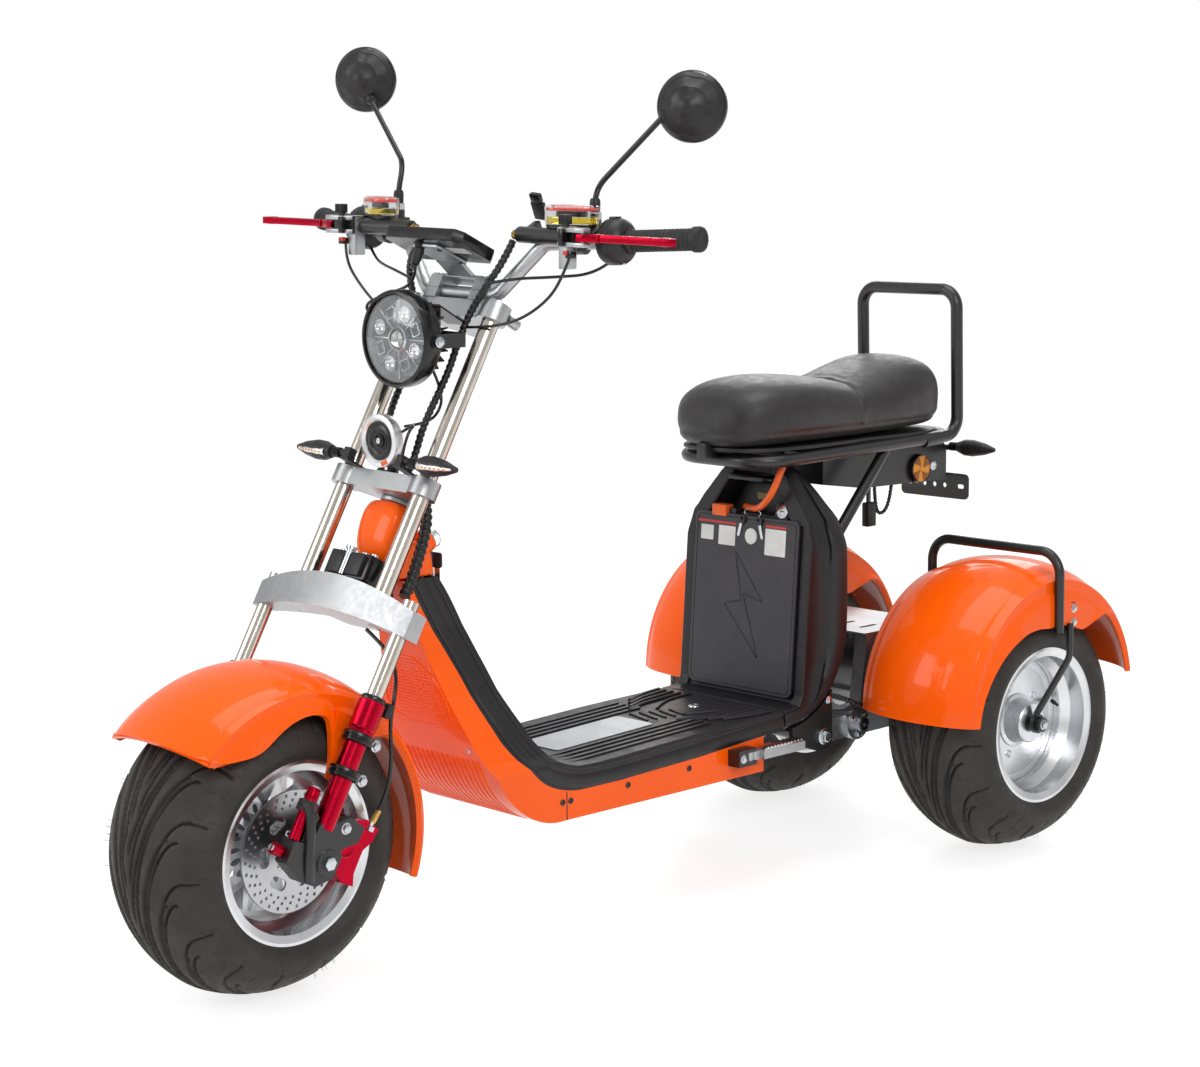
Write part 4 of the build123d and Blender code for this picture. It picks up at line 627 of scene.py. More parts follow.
# ------------------------------------------------------------------ repeated parts by Geometry Nodes
def repeat_tree(name, finish):
    """A tree that sets one shape on every point of a mesh, aimed along the points' "aim" attribute."""
    tree = bpy.data.node_groups.new(name, "GeometryNodeTree")
    tree.is_modifier = True
    for name, way, kind, value in (
        ("Geometry", "INPUT", "Geometry", None), ("Shape", "INPUT", "Object", None),
        ("Size", "INPUT", "Float", 1.0), ("Size spread", "INPUT", "Float", 0.0),
        ("Seed", "INPUT", "Int", 7), ("Geometry", "OUTPUT", "Geometry", None),
    ):
        made = tree.interface.new_socket(name, in_out=way, socket_type=f"NodeSocket{kind}")
        if value is not None:
            made.default_value = value
    start = add_node(tree, "NodeGroupInput")
    aim = add_node(tree, "GeometryNodeInputNamedAttribute", {"Name": "aim"}, data_type="FLOAT_VECTOR")
    side = add_node(tree, "GeometryNodeInputNamedAttribute", {"Name": "side"}, data_type="FLOAT_VECTOR")
    turn = add_node(
        tree, "FunctionNodeAlignRotationToVector", {"Vector": aim.outputs["Attribute"]}, axis="Z")
    turn = add_node(
        tree, "FunctionNodeAlignRotationToVector", {"Rotation": turn.outputs[0],
        "Vector": side.outputs["Attribute"]}, axis="X", pivot_axis="Z")
    less = maths(tree, "SUBTRACT", start.outputs["Size"], start.outputs["Size spread"])
    more = maths(tree, "ADD", start.outputs["Size"], start.outputs["Size spread"])
    size = add_node(
        tree, "FunctionNodeRandomValue", {"Min": less, "Max": more,
        "Seed": start.outputs["Seed"]}, data_type="FLOAT")
    shape = add_node(tree, "GeometryNodeObjectInfo", {"Object": start.outputs["Shape"]})
    laid = add_node(
        tree, "GeometryNodeInstanceOnPoints", {"Points": start.outputs["Geometry"],
        "Instance": shape.outputs["Geometry"], "Rotation": turn.outputs[0], "Scale": size.outputs["Value"]})
    real = add_node(tree, "GeometryNodeRealizeInstances", {"Geometry": laid.outputs[0]})
    done = add_node(
        tree, "GeometryNodeSetMaterial", {"Geometry": real.outputs[0], "Material": MATERIALS[finish]})
    end = add_node(tree, "NodeGroupOutput")
    tree.links.new(done.outputs[0], end.inputs[0])
    return tree


def repeated(name, spots, shape, finish, body, parked=False, size=1.0, size_spread=0.0, seed=7, angle=35):
    """Sets a shape, a closed Shape in mm about its own Z, on (place, aim, side) spots as one piece."""
    pattern_mesh = bpy.data.meshes.new("pattern")
    bmesh.ops.recalc_face_normals(shape.faces, faces=shape.faces.faces[:])
    shape.faces.to_mesh(pattern_mesh)
    shape.faces.free()
    pattern = bpy.data.objects.new("pattern", pattern_mesh)
    bpy.context.scene.collection.objects.link(pattern)
    points = bpy.data.meshes.new(name)
    points.from_pydata([place for place, _, _ in spots], [], [])
    for key, column in (("aim", 1), ("side", 2)):
        layer = points.attributes.new(key, "FLOAT_VECTOR", "POINT")
        layer.data.foreach_set("vector", [c for spot in spots for c in spot[column]])
    holder = bpy.data.objects.new(name + "_spots", points)
    bpy.context.scene.collection.objects.link(holder)
    tree = repeat_tree(name, finish)
    keys = {item.name: item.identifier for item in tree.interface.items_tree if item.in_out == "INPUT"}
    maker = holder.modifiers.new(name, "NODES")
    maker.node_group = tree
    maker[keys["Shape"]] = pattern
    maker[keys["Size"]] = size
    maker[keys["Size spread"]] = size_spread
    maker[keys["Seed"]] = seed
    graph = bpy.context.evaluated_depsgraph_get()
    mesh = bpy.data.meshes.new_from_object(holder.evaluated_get(graph), depsgraph=graph)
    for temp in (holder, pattern):
        bpy.data.objects.remove(temp)
    return finished(name, mesh, (finish,), body, parked, angle)


def hex_bolt(across=10.0, head=5.0, washer=7.5):
    """A flanged hexagon bolt head in mm, its seat at z=0."""
    shape = Shape()
    here = Matrix.Identity(4)
    shape.lathe([(0.3, 0), (washer, 0), (washer, 1.2), (across * 0.6, 1.8)], here, "zinc", 20)
    shape.lathe([(0.3, 1.2), (across / 2 / cos(pi / 6), 1.2), (across / 2 / cos(pi / 6), head - 0.8),
                 (across / 2 - 0.6, head), (0.3, head)], here, "zinc", 6)
    return shape


def button_screw(radius=4.0, height=2.2):
    """A button-head screw with a hexagon socket, in mm, its seat at z=0."""
    shape = Shape()
    here = Matrix.Identity(4)
    shape.lathe(
        [(0.2, 0), (radius, 0), (radius * 0.96, height * 0.45), (radius * 0.72, height * 0.9),
        (radius * 0.5, height), (radius * 0.46, height * 0.5), (0.2, height * 0.45)], here, "zinc", 18)
    return shape


# ------------------------------------------------------------------ wheels
# half of a tyre's outline in mm: distance from its mid-plane, radius
TYRE_PROFILE = (
    (0, 230), (30, 226.5), (60, 215.3), (88, 198.5), (106, 178), (114.2, 160), (112, 149), (104, 142),
)
TREAD_REPEATS = 14
TREAD_ROWS = 432
BEAD_SEAT = 127.4
BEAD_Y = 94
# sweeping grooves: (start across, end across, sweep, exponent, lag), in mm and in repeats
TREAD_GROOVES = ((8, 96, 2.9, 2.3, 0.0), (4, 66, 2.2, 1.6, 0.36), (18, 82, 1.9, 1.9, 0.66))
SIPE_PLACES = (104, 124)
WHISKERS = 230


def tyre_shell(centre, sizes):
    """A tyre's outer skin with swept grooves pressed into the crown and the shoulders."""
    line = smooth_line([Vector((y, r, 0)) for y, r in TYRE_PROFILE], 4, steps=12)
    half = np.array([(p.x, p.y) for p in line])
    run = np.concatenate([[0], np.cumsum(np.hypot(*np.diff(half, axis=0).T))])
    columns = np.unique(np.concatenate([np.arange(0, 118, 1.9), np.linspace(118, run[-1], 16)]))
    y = np.interp(columns, run, half[:, 0])
    r = np.interp(columns, run, half[:, 1])
    slope_y, slope_r = np.gradient(y, columns), np.gradient(r, columns)
    rows = TREAD_ROWS
    theta = np.linspace(0, 2 * pi, rows, endpoint=False)
    pitch = 2 * pi / TREAD_REPEATS
    width, depth = sizes.groove / MM, sizes.groove_depth / MM

    def dip(distance):
        """Groove depth at a distance from its middle line."""
        edge = np.clip((width / 2 + 0.9 - distance) / 1.8, 0, 1)
        return depth * edge * edge * (3 - 2 * edge)

    halves = []
    for side, lag in ((1, 0.0), (-1, 0.5)):
        angle, across = np.meshgrid(theta + lag * pitch, columns, indexing="ij")
        radius = np.broadcast_to(r, angle.shape)
        sunk = np.zeros_like(angle)
        for start, end, sweep, power, phase in TREAD_GROOVES:
            share = np.clip((across - start) / (end - start), 1e-3, 1)
            path = sweep * pitch * (1 - (1 - share) ** power)
            steep = sweep * pitch * power * (1 - share) ** (power - 1) / (end - start)
            gap = (angle - path - phase * pitch + pitch / 2) % pitch - pitch / 2
            flat = np.abs(gap) * radius / np.sqrt(1 + (steep * radius) ** 2)
            beyond = np.maximum(0, np.maximum(start - across, across - end))
            sunk = np.maximum(sunk, dip(np.hypot(flat, beyond)))
        # the outer groove's short leg, square across the shoulder
        leg = (angle - TREAD_GROOVES[0][2] * pitch + pi / TREAD_REPEATS) % pitch - pi / TREAD_REPEATS
        beyond = np.maximum(0, np.maximum(94 - across, across - 118))
        sunk = np.maximum(sunk, dip(np.hypot(leg * radius, beyond)) * 0.85)
        # small sipes along the shoulder, two to each repeat
        sipe = (angle * 2 + pi / TREAD_REPEATS) % pitch - pi / TREAD_REPEATS
        for place in SIPE_PLACES:
            near = np.hypot(sipe * radius / 2, np.maximum(0, np.abs(across - place) - 5))
            sunk = np.maximum(sunk, 0.3 * depth * np.clip(1.8 - near, 0, 1))
        halves.append((side, sunk))
    points = []
    for side, sunk in halves:
        out_r = r - sunk * slope_y
        out_y = side * (y + sunk * slope_r)
        points.append((out_r, out_y, sunk))
    # one ring of columns from the right bead over the crown to the left bead
    radius = np.concatenate([points[1][0][:, :0:-1], points[0][0]], axis=1)
    width_at = np.concatenate([points[1][1][:, :0:-1], points[0][1]], axis=1)
    depth_at = np.concatenate([points[1][2][:, :0:-1], points[0][2]], axis=1)
    inner = np.array([(BEAD_SEAT, BEAD_Y), (BEAD_SEAT, -BEAD_Y)])
    radius = np.concatenate([radius, np.tile(inner[:, 0], (rows, 1))], axis=1)
    width_at = np.concatenate([width_at, np.tile(inner[:, 1], (rows, 1))], axis=1)
    depth_at = np.concatenate([depth_at, np.zeros((rows, 2))], axis=1)
    x = np.cos(theta)[:, None] * radius * MM
    z = np.sin(theta)[:, None] * radius * MM
    places = np.stack([x, width_at * MM, z], -1).reshape(-1, 3)
    places = places + np.array(centre)
    count = radius.shape[1]
    i, j = np.meshgrid(np.arange(rows), np.arange(count), indexing="ij")
    ni, nj = (i + 1) % rows, (j + 1) % count
    quads = np.stack([i * count + j, i * count + nj, ni * count + nj, ni * count + j], -1).reshape(-1, 4)
    mesh = bpy.data.meshes.new("tyre")
    mesh.from_pydata(places.tolist(), [], quads.tolist())
    # each point's groove depth from 0 to 1, which the tyre's finish turns into painted shade
    layer = mesh.attributes.new("groove", "FLOAT", "POINT")
    layer.data.foreach_set("value", (depth_at / depth).reshape(-1).astype(np.float32))
    return mesh


def outward(mesh):
    """Turns a closed mesh's faces outwards."""
    made = bmesh.new()
    made.from_mesh(mesh)
    bmesh.ops.recalc_face_normals(made, faces=made.faces[:])
    made.to_mesh(mesh)
    made.free()
    return mesh


class SCOOTER_OT_tyres(bpy.types.Operator):
    """Presses the tread into the three wide tyres and adds their moulding whiskers"""

    bl_idname = "scooter.tyres"
    bl_label = "Tyres"

    def execute(self, context):
        sizes = context.scene.scooter_sizes
        rng = np.random.default_rng(11)
        wheels = [("front_tyre", "front_wheel", FRONT_AXLE, True)]
        wheels += [(f"rear_tyre_{s}", f"rear_wheel_{s}", REAR_AXLE[s], False) for s, _ in SIDES]
        across, radii = zip(*TYRE_PROFILE[:6])
        for name, body, centre, parked in wheels:
            mesh = outward(tyre_shell(centre, sizes))
            tyre = finished(f"{name}_tread", mesh, ("tyre",), body, parked, 50)
            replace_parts(tyre, name)
            spots = []
            for _ in range(WHISKERS):
                a = rng.uniform(0, tau)
                y = rng.choice((-1, 1)) * rng.uniform(70, 112)
                r = float(np.interp(abs(y), across, radii))
                out = Vector((cos(a) * 0.9, 0.45 * (1 if y > 0 else -1), sin(a) * 0.9)).normalized()
                spots.append((centre + at(cos(a) * r, y, sin(a) * r), out, (-sin(a), 0, cos(a))))
            whisker = Shape().lathe([(0.32, -1), (0.3, 3.5), (0.16, 7)], Matrix.Identity(4), "tyre", 4)
            repeated(f"{name}_whiskers", spots, whisker, "tyre", body, parked, 0.8, 0.4)
        return {"FINISHED"}


def teardrop(length, width):
    """A teardrop's outline along X."""
    return [
        (length / 2 * cos(a), width / 2 * sin(a) * (0.5 + 0.5 * sin((pi - abs(a)) / 2)) ** 1.2)
        for a in (tau * i / 24 - pi for i in range(24))
    ]


class SCOOTER_OT_front_wheel(bpy.types.Operator):
    """Adds the front hub's flutes and lugs, the valve and the drilled brake disc"""

    bl_idname = "scooter.front_wheel"
    bl_label = "Front wheel details"

    def execute(self, context):
        hub = Shape()
        # fluted hub barrel on the disc side
        rows = []
        flutes, sides = 24, 144
        for y, grow in ((27, 0.0), (30, 1.0), (64, 1.0), (68, 0.0)):
            row = []
            for i in range(sides):
                a = tau * i / sides
                r = 34.6 + grow * 2.2 * (0.5 + 0.5 * cos(flutes * tau * i / sides))
                row.append(FRONT_AXLE + at(cos(a) * r, y, sin(a) * r))
            rows.append(row)
        hub.grid(rows, "rim", close_cols=True)
        out = place_on(FRONT_AXLE + LEFT * 25.2 * MM, LEFT, AHEAD)
        for k in range(20):
            a = tau * k / 20
            spot = out @ spin(a) @ shift(57, 0, 0)
            hub.plate([teardrop(19, 9.5)], 1.6, spot, "hub_grey", 0.5)
        valve = place_on(FRONT_AXLE + at(88, 38, 40), Vector((-0.7, 0.6, -0.3)))
        hub.lathe([(1, 0), (4, 0), (3.6, 12), (2.6, 13), (2.6, 24), (1, 24)], valve, "grip_rubber", 14)
        hub.piece("front_hub_details", "front_wheel", True)

        disc_y = 82.0
        holes = []
        for ring, radius, hole in ((0, 85, 2.6), (1, 77, 2.4), (2, 69, 2.3)):
            for k in range(30):
                a = tau * (k + ring * 0.33) / 30
                holes.append(circle(hole, 10, (radius * cos(a), radius * sin(a))))
        for k in range(6):
            a = tau * k / 6
            holes.append(rounded(30, 17, 7, (50 * cos(a), 50 * sin(a)), a + pi / 2))
        holes.append(circle(16.2, 32))
        disc = Shape()
        face = place_on(FRONT_AXLE + LEFT * disc_y * MM, LEFT, AHEAD)
        disc.plate([circle(91.8, 120), *holes], 4, face, "disc", 0.3)
        made = disc.piece("drilled_brake_disc", "front_wheel", True)
        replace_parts(made, "brake_disc")
        spots = [
            (FRONT_AXLE + at(29 * cos(a), disc_y + 4, 29 * sin(a)), LEFT, AHEAD)
            for a in (tau * k / 6 + 0.3 for k in range(6))
        ]
        repeated("disc_screws", spots, button_screw(5.0, 3.0), "zinc", "front_wheel", True)
        return {"FINISHED"}


class SCOOTER_OT_rear_wheels(bpy.types.Operator):
    """Adds the rear wheels' centre caps, stepped rings, valves and bolts"""

    bl_idname = "scooter.rear_wheels"
    bl_label = "Rear wheel details"

    def execute(self, context):
        for name, sign in SIDES:
            centre = REAR_AXLE[name]
            out = LEFT * sign
            face = place_on(centre + out * 38.2 * MM, out, AHEAD)
            cap = Shape()
            cap.band([(35.4, 0), (48, 0), (47, 2.6), (40, 4), (36.5, 16), (35.6, 33), (35.4, 33)], face,
                     "rear_rim", 48)
            cap.band([(34.2, 32), (36, 33.4), (34, 35.6), (26, 36.6), (17, 36.8), (9.2, 36.4)], face,
                     "rear_rim", 40)
            # a stepped ring where the web meets the barrel, cut by the lathe
            cap.band([(109.6, -1), (109.6, 1.4), (106, 2.4), (98, 0.5), (97, -1)], face, "rear_rim", 96)
            valve = place_on(centre + at(-96, sign * 46, 20), Vector((0.5, sign * 0.85, -0.1)))
            cap.lathe([(1, 0), (4, 0), (3.6, 12), (2.6, 13), (2.6, 24), (1, 24)], valve, "grip_rubber", 14)
            cap.piece(f"rear_centre_cap_{name}", f"rear_wheel_{name}")
            spots = [
                (face @ at(62 * cos(a), 62 * sin(a), -0.6), out, AHEAD)
                for a in (tau * k / 5 for k in range(5))
            ]
            repeated(f"rear_wheel_bolts_{name}", spots, hex_bolt(9, 5, 7), "zinc", f"rear_wheel_{name}")
        return {"FINISHED"}


# ------------------------------------------------------------------ seat
SEAT_LOW = BOXES["seat"][0]
# stations from nose to tail in mm: x, half width, underside above the base, height above the base
SEAT_STATIONS = (
    (476, 22, 10, 40), (470, 56, 5, 66), (456, 82, 2, 88), (430, 102, 0, 105), (390, 114, 0, 114),
    (335, 120, 0, 117), (280, 121, 0, 114), (235, 120, 0, 108), (195, 118, 0, 102), (160, 117, 0, 103),
    (120, 119, 1, 110), (75, 121, 2, 122), (35, 121, 3, 133), (0, 118, 4, 136), (-26, 108, 5, 128),
    (-44, 88, 7, 104), (-54, 60, 12, 78), (-57, 24, 20, 58),
)
CROSS_SEAM_X = 178


def seat_section(half, low, high, count=40):
    """A crowned cross-section: nearly flat underside, tucked lower edge, bulging side and domed top."""
    points = []
    for i in range(count):
        a = tau * i / count
        c, s = cos(a), sin(a)
        y = half * (abs(c) ** 0.62) * (1 if c >= 0 else -1)
        rise = (high - low) / 2
        z = low + rise + rise * (abs(s) ** (0.72 if s > 0 else 0.42)) * (1 if s >= 0 else -1)
        if s > 0:
            z -= 5.0 * (y / half) ** 2
        else:
            y *= 1 - 0.07 * abs(s)
        points.append((y, z))
    return points


def seat_body():
    """The seat's closed form before its cover swells."""
    base = SEAT_LOW.z / MM
    xs = np.array([s[0] for s in SEAT_STATIONS][::-1], float)
    fine = np.concatenate(
        [np.linspace(xs[0], -20, 8)[:-1], np.arange(-20, 440, 14), np.linspace(440, xs[-1], 8)])
    ordered = SEAT_STATIONS[::-1]
    columns = [np.interp(fine, xs, [s[k] for s in ordered]) for k in (1, 2, 3)]
    for column in columns:
        for _ in range(2):
            column[1:-1] = (column[:-2] + 2 * column[1:-1] + column[2:]) / 4
    shape = Shape()
    rows = [
        [at(x, y, base + z) for y, z in seat_section(half, low, high)]
        for x, half, low, high in zip(fine, *columns)
    ]
    shape.grid(rows, "seat_cover", close_cols=True, cap=True)
    bmesh.ops.recalc_face_normals(shape.faces, faces=shape.faces.faces[:])
    mesh = bpy.data.meshes.new("seat_form")
    shape.faces.to_mesh(mesh)
    shape.faces.free()
    return mesh


class SCOOTER_OT_seat(bpy.types.Operator):
    """Swells the seat's cover over its foam, presses in the seams and adds the base pan"""

    bl_idname = "scooter.seat"
    bl_label = "Seat"

    def execute(self, context):
        scene = context.scene
        seat = bpy.data.objects.new("seat_cushion", seat_body())
        scene.collection.objects.link(seat)
        remesh = seat.modifiers.new("even_cells", "REMESH")
        remesh.mode = "VOXEL"
        remesh.voxel_size = 5.5 * MM
        graph = context.evaluated_depsgraph_get()
        even = bpy.data.meshes.new_from_object(seat.evaluated_get(graph), depsgraph=graph)
        seat.modifiers.clear()
        seat.data = even
        rest = np.array([v.co for v in even.vertices])
        hold = seat.vertex_groups.new(name="hold")
        for vertex in even.vertices:
            low = vertex.co.z < SEAT_LOW.z + 16 * MM
            seam = abs(vertex.co.x - CROSS_SEAM_X * MM) < 3 * MM
            hold.add([vertex.index], 1.0 if low or seam else 0.0, "REPLACE")
        cloth = seat.modifiers.new("cover", "CLOTH")
        cloth.settings.use_pressure = True
        cloth.settings.uniform_pressure_force = 3.0
        cloth.settings.vertex_group_mass = "hold"
        cloth.settings.effector_weights.gravity = 0
        cloth.settings.tension_stiffness = 18
        cloth.settings.bending_stiffness = 0.8
        cloth.point_cache.frame_start, cloth.point_cache.frame_end = 1, 16
        for number in range(1, 17):
            scene.frame_set(number)
        graph = context.evaluated_depsgraph_get()
        swollen = bpy.data.meshes.new_from_object(seat.evaluated_get(graph), depsgraph=graph)
        after = np.array([v.co for v in swollen.vertices])
        scene.frame_set(1)
        seat.modifiers.clear()
        seat.vertex_groups.clear()
        move = after - rest
        size = np.linalg.norm(move, axis=1, keepdims=True)
        cap = scene.scooter_sizes.swell
        rest = rest + move * np.minimum(1, cap / np.maximum(size, 1e-9))
        bpy.data.meshes.remove(swollen)
        # seams pressed into the cover: across the dip, and round the side 26 mm above the base
        x, y, z = rest.T / MM
        base = SEAT_LOW.z / MM
        across = np.exp(-(((x - CROSS_SEAM_X - 0.0009 * y * y) / 4.6) ** 2)) * (z > base + 30)
        puff = np.exp(-(((x - CROSS_SEAM_X) / 26) ** 2)) * (z > base + 60)
        pleat = np.sin(y / 9.0) * np.exp(-(((np.abs(x - CROSS_SEAM_X) - 12) / 10) ** 2)) * (z > base + 60)
        rim = np.exp(-(((z - base - 26) / 3.6) ** 2))
        rest[:, 2] -= (across * 6.5 + puff * 2.0 - pleat * 0.5) * MM
        inward = np.stack([x - np.clip(x, 0, 400), y, np.zeros_like(y)], 1)
        inward /= np.maximum(np.linalg.norm(inward, axis=1, keepdims=True), 1e-6)
        rest -= inward * (rim * 3.0 * MM)[:, None]
        low = np.array(SEAT_LOW) - 4 * MM
        rest = np.maximum(rest, [low[0], low[1], SEAT_LOW.z + 0.5 * MM])
        even.vertices.foreach_set("co", rest.reshape(-1))
        fine = seat.modifiers.new("fine", "SUBSURF")
        fine.levels = fine.render_levels = 1
        graph = context.evaluated_depsgraph_get()
        mesh = bpy.data.meshes.new_from_object(seat.evaluated_get(graph), depsgraph=graph)
        bpy.data.objects.remove(seat)
        cushion = finished("seat_cushion", mesh, ("seat_cover",), "chassis", angle=180)
        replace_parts(cushion, "seat")

        # the moulded pan under the foam
        trim = Shape()
        plan = [station[:2] for station in SEAT_STATIONS]
        loop = [(x_at, half) for x_at, half in plan] + [(x_at, -half) for x_at, half in reversed(plan)]
        pan = [(20 + (x_at - 20) * 0.975, y_at * 0.93) for x_at, y_at in loop]
        trim.plate([pan], 7, Matrix.Translation((0, 0, SEAT_LOW.z - 5.6 * MM)), "black_plastic", 1.5)
        trim.piece("seat_pan", "chassis")
        return {"FINISHED"}


# ------------------------------------------------------------------ lamps, horn and indicators
# the middles of the headlight's and the horn's faces
LAMP_FACE = fork_at(90, 0, 769.5)
HORN_FACE = fork_at(43, 0, 621.4)
# an indicator's (distance from its root, radius) stations in mm
INDICATOR = ((10, 14.4), (20, 16.0), (36, 16.0), (52, 13.6), (66, 10.4), (78, 6.4))


class SCOOTER_OT_lamps(bpy.types.Operator):
    """Fills the headlight, and dresses the horn, the indicators and the reflectors"""

    bl_idname = "scooter.lamps"
    bl_label = "Lamps and horn"

    def execute(self, context):
        face = place_on(LAMP_FACE, AHEAD, UP)
        lamp = Shape()
        lamp.band([(0.5, -15.2), (58, -15.2), (66, -8), (66.5, -4), (66, -3)], face, "hub_grey", 64)
        lamp.band([(72.6, -24), (74.6, -20), (74.6, -2), (73, 2.6), (69, 4.2), (67.6, 2.8), (67.4, -4)],
                  face, "black_gloss", 64)
        # the projector in the middle, its ring and the eight small reflectors about it
        lamp.band([(19, -15), (19.5, -6), (17.5, -4), (15.5, -6)], face, "bright_steel", 40)
        lamp.lathe([(15.4, -7), (14, -2.5), (9, 1.2), (4, 2.6), (0.4, 3)], face, "fluid_cup", 36)
        lamp.lathe([(9.6, -13.5), (9.6, -8.6), (0.4, -8.5)], face, "white_lamp", 24)
        for k in range(8):
            a = tau * k / 8 + pi / 8
            spot = face @ spin(a) @ shift(41, 0, -14)
            if k % 2:
                lamp.lathe([(0.4, 1), (5, 1.4), (9.5, 5), (10.6, 8.5), (11.6, 8.5), (11.8, 0.5)], spot,
                           "white_lamp", 24)
            else:
                lamp.plate([rounded(17, 20, 3), rounded(13, 16, 2)], 8, spot, "bright_steel", 0.6)
            rib = face @ spin(a + pi / 8)
            lamp.block((44, 1.6, 6), rib @ shift(42, 0, -12), "bright_steel", 0.5)
        # cooling fins on the back of the shell
        for k in range(20):
            rib = face @ spin(tau * k / 20)
            lamp.block((15, 2.2, 26), rib @ shift(50, 0, -46), "black_metal", 0.5)
        lamp.piece("headlight_inside", "steering", True)

        dome = Shape()
        dome.lathe(
            [(67.2, -1.5), (66.6, 1.5), (60, 5), (48, 9), (33, 12), (16, 13.6), (0.4, 14)], face, "lens", 72)
        dome.lathe([(65.6, -1.5), (65, 0.4), (59, 3.4), (47.4, 7.2), (32.6, 10.2), (16, 11.8), (0.4, 12.2)],
                   face, "lens", 72)
        glass = dome.piece("headlight_glass", "steering", True)
        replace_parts(glass, "headlight_lens")

        horn_face = place_on(HORN_FACE, AHEAD, UP)
        horn = Shape()
        horn.band([(29, -3), (30, 1.6), (33, 4), (38, 4), (40.6, 2.2), (41, -1), (40.6, -9), (40, -12)],
                  horn_face, "pale_cast", 56)
        horn.band([(26, -3), (25, 0.6), (20, 2), (17, 0.8), (14.4, -2)], horn_face, "black_gloss", 48)
        horn.band([(12, -2), (11, 2), (8.6, 2.4), (7, 0)], horn_face, "black_gloss", 40)
        horn.lathe([(0.4, 0), (5, 0), (4.8, 3), (2.6, 3.6), (0.4, 3.6)], horn_face, "zinc", 6)
        horn.lathe([(32, 0), (24, -4.2), (15, -4.6), (14, -1.4), (9, -0.6), (0.5, -0.4)], horn_face,
                   "black_gloss", 40)
        for k in range(24):
            rib = horn_face @ spin(tau * k / 24)
            horn.block((13, 1.3, 2), rib @ shift(24, 0, -2.6), "black_plastic", 0.3)
        spot = horn_face @ spin(radians(205)) @ shift(35.6, 0, 4)
        horn.block((7, 14, 1.0), spot, "lead_orange", 0.4)
        horn.piece("horn_ring", "steering", True)

        distances, radii = zip(*INDICATOR)
        for tag, body, parked, base in (
            ("front", "steering", True, fork_at(38, 96, 595)),
            ("rear", "chassis", False, at(-130, 70.3, 689)),
        ):
            light = Shape()
            for sign in (1, -1):
                root = Vector((base.x, base.y * sign, base.z))
                fore = AHEAD if tag == "front" else -AHEAD
                out = place_on(root, LEFT * sign, fore)
                rows = []
                for h, r in INDICATOR:
                    rows.append([
                        out @ at(cos(a) * r * 1.02, sin(a) * r * 0.62, h)
                        for a in (radians(-62 + 124 * i / 10) for i in range(11))
                    ])
                light.grid(rows, "amber" if tag == "rear" else "lens")
                heart = out @ Vector((0, 0, 44 * MM))
                light.grid([[heart + (p - heart) * 0.985 for p in row] for row in rows], "pale_cast")
                for k in range(7):
                    wide = np.interp(18 + 8 * k, distances, radii)
                    chip = out @ shift(float(wide) * 1.02 - 1.0, 0, 18 + 8 * k)
                    light.block((2.4, 3.2, 4), chip, "amber_led", 0.6)
                for k in range(5):
                    light.band([(5.6, -1.4), (8.2, -0.8), (8.2, 0.8), (5.6, 1.4)],
                               out @ shift(0, 0, -3.2 * k - 3), "black_gloss", 20)
            light.piece(f"{tag}_indicator_lenses", body, parked, outward=False)

        for name, sign in SIDES:
            spot = place_on(at(-34, sign * 62.2, 656), LEFT * sign, UP)
            glass = Shape()
            glass.band([(25.4, -6), (26.4, -5), (26.4, 0.6), (25, 1.6), (24, 1.4)], spot, "black_gloss", 48)
            glass.lathe([(24, 0.4), (0.5, 1.2)], spot, "amber_led", 48)
            for k in range(4):
                wedge = [(5, 0)] + [(23 * cos(a), 23 * sin(a)) for a in (pi / 4 * i / 6 for i in range(7))]
                turn = spot @ spin(pi / 2 * k + 0.3)
                glass.plate([wedge], 0.7, turn @ shift(0, 0, 1.3), "dark_amber", 0.2)
            glass.lathe([(5, 1.2), (4.6, 2.2), (0.5, 2.4)], spot, "amber_led", 24)
            glass.piece(f"reflector_face_{name}", "chassis")
        return {"FINISHED"}


# ------------------------------------------------------------------ handlebar and its controls
BAR_MID = fork_at(0, 0, 893)
BAR_HALF = 423
GRIP_IN = 305


def bar_point(ahead, left, up):
    """A point ahead of, to the left of and above the middle of the handlebar, in mm."""
    return BAR_MID + at(ahead, left, up)


BAR_KNEE = bar_point(-26, 155, 82)
BAR_END = bar_point(-78, BAR_HALF, 98)
OUTBOARD = (BAR_END - BAR_KNEE).normalized()
# side, the stalk's knee and end, and the middle of the shell
MIRRORS = (
    (1, bar_point(-75, 221, 172), bar_point(-107, 322, 276), bar_point(-132, 352, 288)),
    (-1, bar_point(-77, -221, 195), bar_point(-97, -322, 295), bar_point(-111, -352, 328)),
)
MIRROR_FACING = Vector((0.89, 0.454, 0)).normalized()
PIVOT = bar_point(23, 281, 97)
CUP = bar_point(-23, 214, 113)
CUP_TURN = radians(115)
DISPLAY_TILT = radians(24.9)
DISPLAY = Matrix.Translation(bar_point(42.6, 0, 85.7)) @ Matrix.Rotation(-DISPLAY_TILT, 4, "Y")


def bar_frame(y):
    """Across the left outer run of the handlebar: Z outboard, X ahead, at a distance from the mid-plane."""
    along = (y - 155) / (BAR_HALF - 155)
    return place_on(BAR_KNEE.lerp(BAR_END, along), OUTBOARD, AHEAD)


def stadium(length, width, count=14):
    """Points of a slot-shaped outline."""
    half = (length - width) / 2
    ends = []
    for sign, start in ((1, -pi / 2), (-1, pi / 2)):
        for i in range(count + 1):
            a = start + pi * i / count
            ends.append((sign * half + cos(a) * width / 2, sin(a) * width / 2))
    return ends


